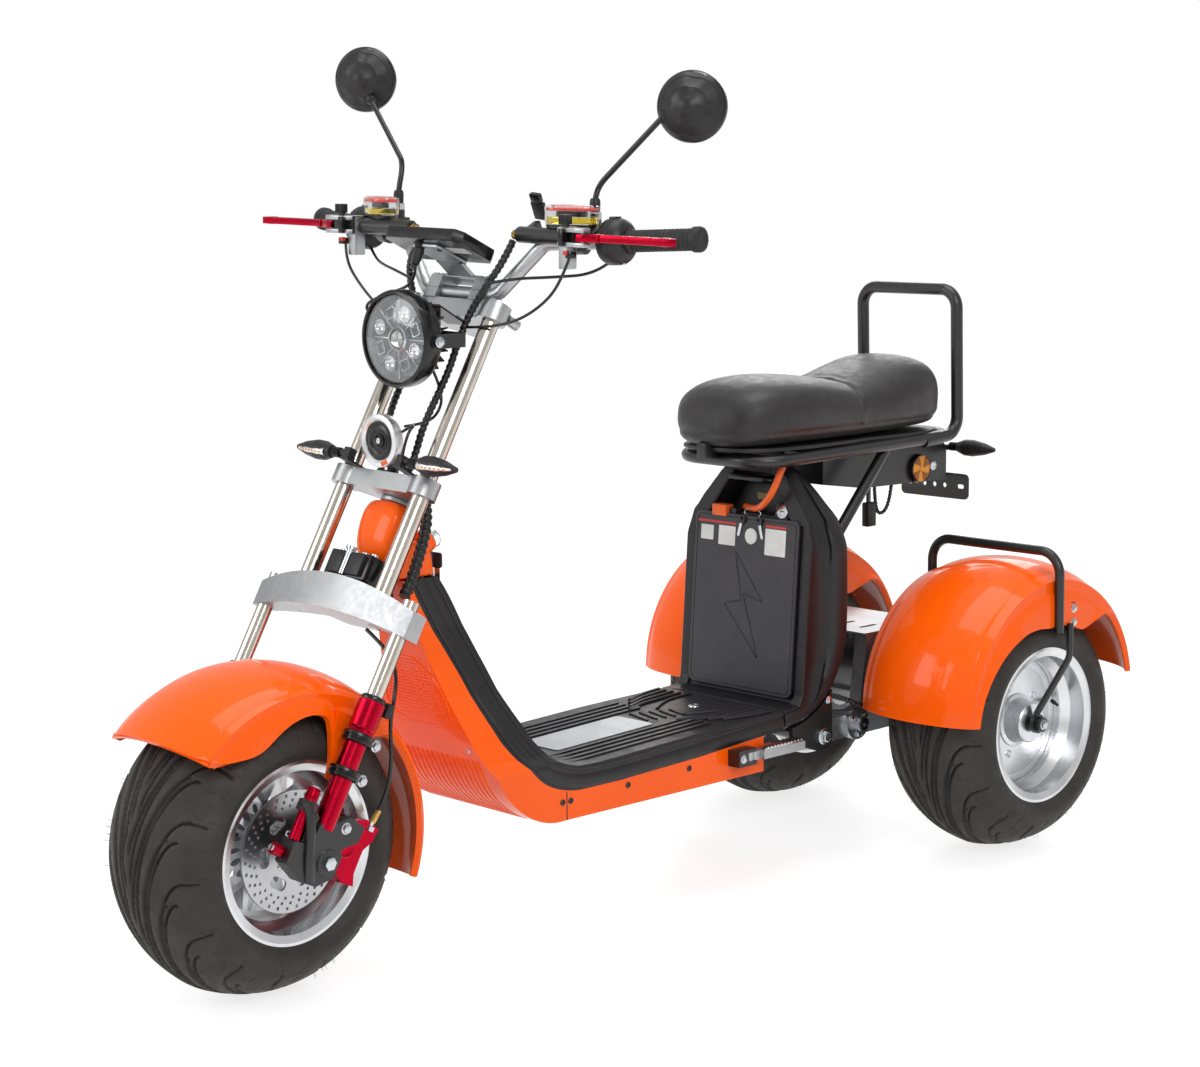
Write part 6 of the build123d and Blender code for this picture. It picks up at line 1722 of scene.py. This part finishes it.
class SCOOTER_OT_cords(bpy.types.Operator):
    """Lays the wiring looms, the brake hose, the battery lead and the smaller cables"""

    bl_idname = "scooter.cords"
    bl_label = "Cords"

    def execute(self, context):
        pitch = context.scene.scooter_sizes.wrap_pitch
        for name, s, lag in (("left", 1, 0), ("right", -1, 3)):
            route = [
                bar_point(-8, s * 104, 84), bar_point(14, s * 104, 52), bar_point(32, s * (88 - lag), 18),
                bar_point(42, s * (62 - lag), -24), bar_point(56, s * 50, -70), bar_point(72, s * 46, -116),
                fork_at(10, s * 42, 668), fork_at(-8, s * 31, 622), fork_at(-8, s * 31, 584.3)]
            cord(f"loom_{name}", route, 12 * MM, "loom", "steering", True, pitch, "wiring_looms")
        hose = [fork_at(-114.5, 124, 81.8), fork_at(-118, 128, 118), fork_at(-104, 137, 154),
                fork_at(-76, 148, 190), fork_at(-46, 156, 222), fork_at(-35, 157, 258),
                fork_at(-36, 142, 292), fork_at(-40, 112, 318), fork_at(-36, 78, 336), fork_at(-30, 50, 348)]
        cord("front_brake_line", hose, 6 * MM, "black_gloss", "steering", True, None, "brake_hose")
        lead = [at(334, -32, 614), at(346, -10, 615), at(360, 14, 617), at(373, 40, 624), at(381, 64, 640),
                at(383, 81, 662), at(378, 88, 685), at(370, 90, 701.5)]
        cord("battery_cable", lead, 12 * MM, "lead_orange", "chassis", False, None, "battery_lead")
        self.thin_cables()
        return {"FINISHED"}

    def thin_cables(self):
        """Cables between the controls, the lamp and the looms, and the bundle behind the left fork tube."""
        plug = DISPLAY @ at(26, -12, -46)
        for name, route in (
            *[(f"switch_cable_{name}",
               [bar_point(-48, s * 270, 60), bar_point(-40, s * 246, 40), bar_point(-8, s * 190, 34),
                bar_point(20, s * 132, 30), bar_point(31, s * (92 + s * 2), 22)]) for name, s in SIDES],
            *[(f"lever_cable_{name}",
               [bar_point(20, s * 251, 66), bar_point(26, s * 244, 40), bar_point(24, s * 214, 4),
                bar_point(30, s * 160, -30), bar_point(42, s * 104, -44), bar_point(48, s * (61 + s), -46)])
              for name, s in SIDES],
            ("display_cable",
             [plug, plug + at(-2, -2, -20), plug + at(-4, -18, -42), bar_point(80, -84, -2),
              bar_point(96, -118, -18), bar_point(92, -112, -36), bar_point(70, -80, -44),
              bar_point(58, -54, -62)]),
            ("lamp_cable", [LAMP_FACE + at(-48, 30, -44), LAMP_FACE + at(-58, 46, -84),
                            LAMP_FACE + at(-56, 34, -118), LAMP_FACE + at(-54, 0, -134),
                            LAMP_FACE + at(-50, -34, -140)]),
            ("indicator_cable", [fork_at(44, 64, 600), fork_at(60, 72, 632), fork_at(44, 64, 656),
                                 fork_at(20, 20, 652), fork_at(4, -24, 640)]),
        ):
            cord(name, route, THIN_CABLE, "black_gloss", "steering", True)
        cord(
            "fork_bundle", [fork_at(-38, 62, 556), fork_at(-40, 74, 536), fork_at(-42, 82, 500),
            fork_at(-43, 86, 462), fork_at(-40, 92, 428), fork_at(-34, 96, 409)], 19 * MM, "loom",
            "steering", True, 11 * MM)
        for name, route, wide, wrap in (
            ("motor_cable", [at(292, 112, 262), at(262, 130, 256), at(226, 143, 268), at(190, 144, 284),
                             at(160, 138, 300)], 7, None),
            ("sensor_cable", [at(290, 116, 292), at(258, 134, 282), at(222, 144, 262), at(186, 145, 252),
                              at(150, 142, 250)], 10, 7 * MM),
        ):
            cord(name, route, wide * MM, "loom", "chassis", False, wrap)
        cord(
            "tail_cable", [at(24, 40, 633), at(28, 40, 606), at(42, 40, 582), at(62, 40, 580),
            at(70, 40, 604), at(72, 40, 633)], 7 * MM, "loom", "chassis", False, 7 * MM)


# ------------------------------------------------------------------ fork, frame and rear fittings
SLIDER_Y = 154
CAN_Y = 150


class SCOOTER_OT_fittings(bpy.types.Operator):
    """Adds the bolts, seals, rings and castings' detail on the fork, the pegs, the tail and the rear axle"""

    bl_idname = "scooter.fittings"
    bl_label = "Fittings"

    def execute(self, context):
        self.fork()
        self.head()
        self.rear()
        return {"FINISHED"}

    def fork(self):
        """Seals and rings on the sliders, the clamps' lugs, the caliper's boss, and the bolts."""
        legs = Shape()
        for side in (1, -1):
            y = side * SLIDER_Y
            seal = on_fork(0, y, 240)
            legs.band([(13, -0.6), (18.6, -0.6), (19.2, 2), (18, 5.5), (15, 7.4), (13, 7.6)], seal,
                      "black_gloss", 40)
            legs.band([(16.2, -60), (19.6, -56), (19.6, -49), (20.4, -44)], seal, "red_anodised", 6)
            for s in (192, 60, 66):
                ring = on_fork(0, y, s)
                legs.band([(16, -1.2), (17.3, -0.8), (17.3, 0.8), (16, 1.2)], ring, "red_anodised", 40)
            for s in (128, 182):
                ring = on_fork(0, y, s)
                legs.band([(20.8, -8), (23.6, -6.4), (24, -2.4), (22.6, -1), (22.6, 1), (24, 2.4),
                           (23.6, 6.4), (20.8, 8)], ring, "black_gloss", 40)
                legs.block((16, 15, 13), on_fork(-26, y, s), "black_gloss", 2)
            can = on_fork(38, side * CAN_Y, 0)
            for s in (30, 36, 42, 78, 82, 86, 90):
                legs.band([(9.4, s - 1.2), (10.5, s - 0.8), (10.5, s + 0.8), (9.4, s + 1.2)], can,
                          "red_anodised", 30)
            legs.lathe([(6, 91.4), (5.4, 94.2), (0.4, 94.6)], can, "zinc", 6)
            knob = place_on(fork_at(73, side * CAN_Y, -10), FORE, UP)
            for s in (-16, -12, -8, -4):
                legs.band(
                    [(8.2, s - 1), (9.1, s - 0.6), (9.1, s + 0.6), (8.2, s + 1)], knob, "red_anodised", 30)
            legs.lathe([(5.2, -1), (4.6, 2.2), (0.4, 2.4)], knob, "zinc", 20)
        for side in (1, -1):
            arm = [fork_at(54, side * 158, 66), fork_at(46, side * 163, 62), fork_at(34, side * 167, 40),
                   fork_at(22, side * 168, 10), fork_at(8, side * 168, -18), fork_at(-4, side * 164, -34)]
            line = smooth_line(arm, 3, steps=8)
            legs.tube(line, [6.5 + 2.5 * i / len(line) for i in range(len(line))], "black_metal", 14)
            hoop = on_fork(38, side * CAN_Y, 66)
            legs.band([(10.3, -6), (13.4, -5), (13.8, 0), (13.4, 5), (10.3, 6)], hoop, "black_metal", 32)
            boss = place_on(FRONT_AXLE + LEFT * 166.6 * MM * side, LEFT * side, ALONG)
            legs.lathe([(0.4, 0), (21, 0), (19.6, 2.2), (15, 3), (0.4, 3)], boss, "black_metal", 36)
        legs.lathe([(0.4, -2), (16, -2), (16, 3.4), (14, 5), (12, 4), (0.4, 4)],
                   place_on(fork_at(-78, 129, 34), LEFT, ALONG), "red_anodised", 36)
        legs.lathe([(0.4, 0), (7, 0), (7.4, 6), (6, 8.6), (0.4, 9)],
                   place_on(fork_at(-64, 128.6, 4), LEFT, ALONG), "black_plastic", 24)
        legs.tube([fork_at(-94, 118, 70), fork_at(-112, 120, 74)], [9, 8.4], "red_anodised", 20)
        legs.lathe(
            [(0.4, 0), (9.6, 0), (9.6, 7), (6, 8.4), (6, 14), (0.4, 14)], on_fork(-112, 124, 70), "zinc", 6)
        legs.tube([fork_at(-116, 124, 84), fork_at(-117, 127, 104)], [5, 4.2], "brass", 14)
        legs.block((13, 15, 22), on_fork(-30, 157, 236), "black_plastic", 3)
        legs.piece("fork_rings", "steering", True)
        bolts = [(fork_at(-45, 142, 15), LEFT, ALONG), (fork_at(-54, 142, 58), LEFT, ALONG)]
        for side in (1, -1):
            bolts += [(fork_at(-31, side * 161, s), LEFT * side, ALONG) for s in (128, 182)]
        heads = repeated("fork_bolts", bolts, hex_bolt(12, 6.5, 9), "zinc", "steering", True)
        axle = [(FRONT_AXLE + LEFT * 167.4 * MM * side, LEFT * side, ALONG) for side in (1, -1)]
        repeated("front_axle_bolts", axle, hex_bolt(18, 9, 13), "zinc", "steering", True)

    def head(self):
        """The stem's clamp block, the collar under the bridge, and the risers' and yoke's bolts."""
        stem = Shape()
        here = on_fork(-6, 4, 431)
        stem.block((40, 92, 42), here, "black_gloss", 4)
        stem.block((10, 30, 34), here @ shift(22, 22, 0), "black_plastic", 2)
        stem.block((8, 24, 30), here @ shift(22, -20, -2), "black_plastic", 2)
        stem.lathe([(0.4, -18), (5.4, -18), (5.4, 22), (8.6, 22), (8.6, 27), (0.4, 27)],
                   here @ shift(22, -2, 0), "zinc", 16)
        for y in (34, -34, 12):
            stem.lathe([(0.4, 20), (6, 20), (6, 25), (3, 25), (3, 22), (0.4, 22)],
                       here @ shift(4, y, 0), "zinc", 18)
        stem.band(
            [(25, 0.4), (27, -2), (27, -7), (23, -10), (18, -10)], on_fork(-38, 0, 556), "silver_cast", 40)
        nut = on_fork(-44, 0, 878)
        stem.lathe([(0.4, 0), (20, 0), (20, 4), (16, 6), (15, 10), (0.4, 10)], nut, "zinc", 32)
        for side in (1, -1):
            cap = on_fork(0, side * 86.5, 878)
            stem.lathe([(0.4, 0), (16, 0), (16, 3), (13, 5.4), (6, 5.6), (5, 3.4), (0.4, 3.4)], cap,
                       "bright_steel", 36)
        stem.piece("stem_fittings", "steering", True)
        screws = [(fork_at(n, side * 50, 893 + 21), ALONG, FORE) for n in (-12, 12) for side in (1, -1)]
        repeated("riser_screws", screws, button_screw(5, 4.4), "zinc", "steering", True)
        sides = [(LAMP_FACE + at(-16, side * 82, 0), LEFT * side, UP) for side in (1, -1)]
        repeated("lamp_bolts", sides, hex_bolt(11, 6, 8.4), "zinc", "steering", True)

    def rear(self):
        """Pegs' ridges, hub bolts, bush discs, brackets' screws and the unit under the tail."""
        for name, side in SIDES:
            peg = Shape()
            peg.block((98, 21, 3), place_on(at(458, side * 163, 238.6)), "bright_steel", 1)
            for k in range(11):
                peg.block((4, 22.5, 2.6), place_on(at(415 + 8.4 * k, side * 163, 241)), "bright_steel", 0.8)
            peg.lathe([(0.4, -9.6), (7.6, -9.6), (7.6, 9.6), (4, 10.6), (0.4, 10.6)],
                      place_on(at(532, side * 160, 230)), "zinc", 24)
            peg.piece(f"peg_tread_{name}", f"peg_{name}")
        spots = []
        for side in (1, -1):
            out = LEFT * side
            spots.append((at(557, side * 171, 230), out, UP))
            spots.append((at(316, side * 146.2, 290), out, UP))
            spots += [(at(-43, side * 399.4, 436), out, UP), (at(-43, side * 399.4, 412), out, UP)]
            for a in (0.5, 2.6, 4.7):
                spots.append((at(222 + 20 * cos(a), side * 134.2, 232 + 20 * sin(a)), out, UP))
        heads = repeated("chassis_bolts", spots, hex_bolt(10, 5, 7.4), "zinc", "chassis")
        ends = [(at(0, side * 370, 230), LEFT * side, UP) for side in (1, -1)]
        repeated("axle_end_bolts", ends, hex_bolt(13, 6, 9), "zinc", "chassis")
        frame_bits = Shape()
        for side in (1, -1):
            bush = place_on(at(222, side * 147.2, 232), LEFT * side, UP)
            frame_bits.lathe([(0.4, 0), (10, 0), (10, 2), (6, 2.6), (0.4, 2.6)], bush, "black_gloss", 28)
            frame_bits.lathe([(0.4, 2), (4.6, 2.6), (4.6, 6), (0.4, 6)], bush, "zinc", 6)
            pivot = place_on(at(330, side * 146.4, 228), LEFT * side, UP)
            frame_bits.lathe([(0.4, 0), (14, 0), (14, 3), (11, 4), (0.4, 4)], pivot, "zinc", 30)
            frame_bits.lathe([(0.4, 3), (9.4, 4), (9.4, 11), (8, 12), (0.4, 12)], pivot, "zinc", 6)
            rivet = place_on(at(-75, side * 55.2, 658), LEFT * side, UP)
            frame_bits.lathe(
                [(0.4, 0), (9, 0), (8.6, 2), (6, 2.6), (5.4, 1.6), (0.4, 1.4)], rivet, "zinc", 24)
        frame_bits.block((24, 15, 44), place_on(at(86, 40, 582)), "black_plastic", 3)
        frame_bits.block((8, 5, 34), place_on(at(88, 40, 618)), "black_metal", 1)
        frame_bits.block((34, 20, 26), place_on(at(464, 0, 728)), "black_metal", 2)
        frame_bits.piece("frame_fittings", "chassis")


# ------------------------------------------------------------------ fenders
# a radius under the fenders' sheets, from which the rays that find them start
RAY_START = 172 * MM
SKIN_ROWS, SKIN_COLUMNS = 96, 56


class SCOOTER_OT_fenders(bpy.types.Operator):
    """Lays a softly rounded, painted skin over each fender, with its shoulders eased as pressed sheet is"""

    bl_idname = "scooter.fenders"
    bl_label = "Fenders"

    def execute(self, context):
        self.skin("front_fender", FRONT_AXLE, "steering", True)
        for name, side in SIDES:
            self.skin(f"rear_fender_{name}", at(0, side * 272, 262), "chassis", False)
        return {"FINISHED"}

    def skin(self, name, centre, body, parked):
        """Reads a fender's inner face from its node, eases it across, and builds a closed sheet round it."""
        node = frame["nodes"][name]
        turn = PARK if parked else Matrix.Identity(4)
        back = turn.inverted()
        tree = BVHTree.FromPolygons(
            [node.matrix_world @ v.co for v in node.data.vertices],
            [p.vertices[:] for p in node.data.polygons],
        )

        def reach(a, phi):
            """Where a line from inside the fender meets its inner face."""
            radial = Vector((cos(a), 0, sin(a)))
            way = radial * cos(phi) + LEFT * sin(phi)
            hit = tree.ray_cast(turn @ (centre + radial * RAY_START), turn.to_3x3() @ way, 0.2)[0]
            return back @ hit if hit else None

        def last(test, good, step):
            """The furthest value, going by steps from a good one, that still passes."""
            while test(good + step):
                good += step
            for _ in range(9):
                step /= 2
                good = good + step if test(good + step) else good
            return good

        first = last(lambda a: reach(a, 0), pi / 2, -0.03) + 0.004
        final = last(lambda a: reach(a, 0), pi / 2, 0.03) - 0.004
        rows, columns = SKIN_ROWS, SKIN_COLUMNS
        sheet = np.zeros((rows, columns, 3))
        for i in range(rows):
            a = first + (final - first) * i / (rows - 1)
            ends = [last(lambda p: abs(p) < 2.2 and reach(a, p), 0.0, s * 0.04) for s in (-1, 1)]
            for k in range(columns):
                found = reach(a, ends[0] + (ends[1] - ends[0]) * k / (columns - 1))
                sheet[i, k] = found or sheet[i, k - 1]
        top = reach(pi / 2, 0)
        up = (top - centre).normalized()
        outer = tree.ray_cast(turn @ (top + up * 0.3 * MM), turn.to_3x3() @ up, 0.02)[3]
        thick = (outer or 3 * MM) + 0.3 * MM
        eased = sheet.copy()
        for _ in range(16):
            eased[:, 1:-1] = 0.5 * eased[:, 1:-1] + 0.25 * (eased[:, :-2] + eased[:, 2:])
        for _ in range(3):
            eased[1:-1] = 0.5 * eased[1:-1] + 0.25 * (eased[:-2] + eased[2:])
        for edge, near in ((0, 1), (-1, -2)):
            for lane in (eased, eased.swapaxes(0, 1)):
                along = lane[:, edge] - lane[:, near]
                lane[:, edge] += along / np.maximum(
                    np.linalg.norm(along, axis=1, keepdims=True), 1e-9) * 1.5 * MM
        normal = np.cross(np.gradient(eased, axis=0), np.gradient(eased, axis=1))
        normal /= np.maximum(np.linalg.norm(normal, axis=2, keepdims=True), 1e-12)
        middle = eased[rows // 2, columns // 2] - np.array(centre)
        if normal[rows // 2, columns // 2] @ middle < 0:
            normal = -normal
        cut = float(np.max(np.sum((sheet - eased)[2:-2, 2:-2] * normal[2:-2, 2:-2], axis=2)))
        ease = min(5 * MM, cut * 1.1 + 0.4 * MM)
        over, under = eased + normal * (thick + ease), eased - normal * 0.6 * MM
        skin = Shape()
        skin.grid(
            [[Vector(p) for p in over[i]] + [Vector(p) for p in under[i][::-1]] for i in range(rows)],
            "orange_body", close_cols=True, cap=True,
        )
        skin.piece(f"{name}_skin", body, parked, 50)


# ------------------------------------------------------------------ stage
EYE = (3.548654, 2.989585, 1.213507)
HEADING, PITCH, ROLL = -133.42, -8.33, -0.55
LENS = 75.63
FLOOR_REACH = 14.0


class SCOOTER_OT_stage(bpy.types.Operator):
    """Sets the floor, the backdrop, the lamps and the camera"""

    bl_idname = "scooter.stage"
    bl_label = "Stage"

    def execute(self, context):
        scene = context.scene
        floor_material, tree, bsdf = new_material("matt_studio_floor", (0.8, 0.8, 0.8), 0.28)
        seen = add_node(tree, "ShaderNodeLightPath")
        rays = maths(tree, "MAXIMUM", seen.outputs["Is Camera Ray"], seen.outputs["Is Glossy Ray"])
        rays = maths(tree, "MAXIMUM", rays, seen.outputs["Is Transmission Ray"])
        # paper-white floor: diffuse shade that keeps the shadow, lifted by a faint glow for the camera
        glow = add_node(tree, "ShaderNodeEmission", {"Color": (1, 1, 1, 1), "Strength": 1.5})
        sheen = add_node(
            tree, "ShaderNodeMix", {"Factor": rays, "A": 0.0, "B": 0.52}, data_type="FLOAT")
        blend = add_node(
            tree, "ShaderNodeMixShader", {"Fac": sheen.outputs["Result"], 1: bsdf.outputs[0],
            2: glow.outputs[0]})
        tree.links.new(blend.outputs[0], tree.nodes["Material Output"].inputs[0])
        reach = FLOOR_REACH
        floor_mesh = bpy.data.meshes.new("floor")
        floor_mesh.from_pydata(
            [(-reach, -reach, 0), (reach, -reach, 0), (reach, reach, 0), (-reach, reach, 0)], [],
            [(0, 1, 2, 3)])
        floor_mesh.materials.append(floor_material)
        floor = bpy.data.objects.new("floor", floor_mesh)
        scene.collection.objects.link(floor)

        world = bpy.data.worlds.new("white_surround")
        scene.world = world
        world.use_nodes = True
        tree = world.node_tree
        tree.nodes.clear()
        seen = add_node(tree, "ShaderNodeLightPath")
        strength = add_node(
            tree, "ShaderNodeMix", {"Factor": seen.outputs["Is Camera Ray"], "A": 0.62, "B": 1.0},
            data_type="FLOAT")
        sky = add_node(
            tree, "ShaderNodeBackground", {"Color": (1, 1, 1, 1), "Strength": strength.outputs["Result"]})
        out = add_node(tree, "ShaderNodeOutputWorld")
        tree.links.new(sky.outputs[0], out.inputs[0])

        def softbox(name, place, target, size, power):
            """A rectangular lamp that faces a point."""
            lamp = bpy.data.lights.new(name, "AREA")
            lamp.shape = "RECTANGLE"
            lamp.size, lamp.size_y = size
            lamp.energy = power
            made = bpy.data.objects.new(name, lamp)
            made.location = place
            made.rotation_euler = (Vector(target) - Vector(place)).to_track_quat("-Z", "Y").to_euler()
            scene.collection.objects.link(made)

        softbox("key_softbox", (2.6, 4.2, 3.4), (0.7, 0, 0.5), (2.6, 2.0), 92)
        softbox("fill_softbox", (4.6, -1.6, 2.4), (0.9, 0, 0.5), (2.4, 2.0), 55)
        softbox("top_softbox", (0.6, 0.2, 4.2), (0.6, 0, 0.5), (3.2, 2.4), 70)
        softbox("back_softbox", (-3.2, -2.6, 2.8), (0.3, 0, 0.6), (2.2, 1.8), 45)

        camera = bpy.data.cameras.new("camera")
        camera.sensor_width = 36
        camera.lens = LENS
        camera.clip_start, camera.clip_end = 0.1, 100
        eye = bpy.data.objects.new("camera", camera)
        turn = (
            spin(radians(HEADING - 90)) @ Matrix.Rotation(radians(90 + PITCH), 4, "X") @ spin(radians(ROLL)))
        eye.matrix_world = Matrix.Translation(EYE) @ turn
        scene.collection.objects.link(eye)
        scene.camera = eye
        scene.view_settings.view_transform = "Standard"
        return {"FINISHED"}


# ------------------------------------------------------------------ the steps, their panel and the run
class SCOOTER_OT_finishes(bpy.types.Operator):
    """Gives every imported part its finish"""

    bl_idname = "scooter.finishes"
    bl_label = "Finishes"

    def execute(self, context):
        make_materials(context.scene.scooter_finish)
        for finish, names in NODE_FINISH.items():
            for name in names:
                part = frame["nodes"][name]
                for place in part.material_slots:
                    place.material = MATERIALS[finish]
        return {"FINISHED"}


STEPS = (
    SCOOTER_OT_finishes, SCOOTER_OT_tyres, SCOOTER_OT_front_wheel, SCOOTER_OT_rear_wheels,
    SCOOTER_OT_seat, SCOOTER_OT_lamps, SCOOTER_OT_controls, SCOOTER_OT_body,
    SCOOTER_OT_cords, SCOOTER_OT_fittings, SCOOTER_OT_fenders, SCOOTER_OT_stage,
)


class SCOOTER_PT_parts(bpy.types.Panel):
    """Lists the scooter's finishes, sizes and pieces"""

    bl_label = "Electric chopper scooter"
    bl_idname = "SCOOTER_PT_parts"
    bl_space_type = "VIEW_3D"
    bl_region_type = "UI"
    bl_category = "Scooter"

    def draw(self, context):
        for group in (context.scene.scooter_finish, context.scene.scooter_sizes):
            for key in group.__annotations__:
                self.layout.prop(group, key)
        for step in STEPS:
            self.layout.operator(step.bl_idname)


CLASSES = (ScooterFinish, ScooterSizes, *STEPS, SCOOTER_PT_parts)


def register():
    """Registers the classes and the scene's settings."""
    for part in CLASSES:
        bpy.utils.register_class(part)
    bpy.types.Scene.scooter_finish = PointerProperty(type=ScooterFinish)
    bpy.types.Scene.scooter_sizes = PointerProperty(type=ScooterSizes)


def unregister():
    """Takes the settings and the classes away again."""
    del bpy.types.Scene.scooter_finish
    del bpy.types.Scene.scooter_sizes
    for part in reversed(CLASSES):
        bpy.utils.unregister_class(part)


def main():
    """Dresses the frame piece by piece."""
    register()
    for step in STEPS:
        group, name = step.bl_idname.split(".")
        getattr(getattr(bpy.ops, group), name)()


if __name__ == "__main__":
    main()
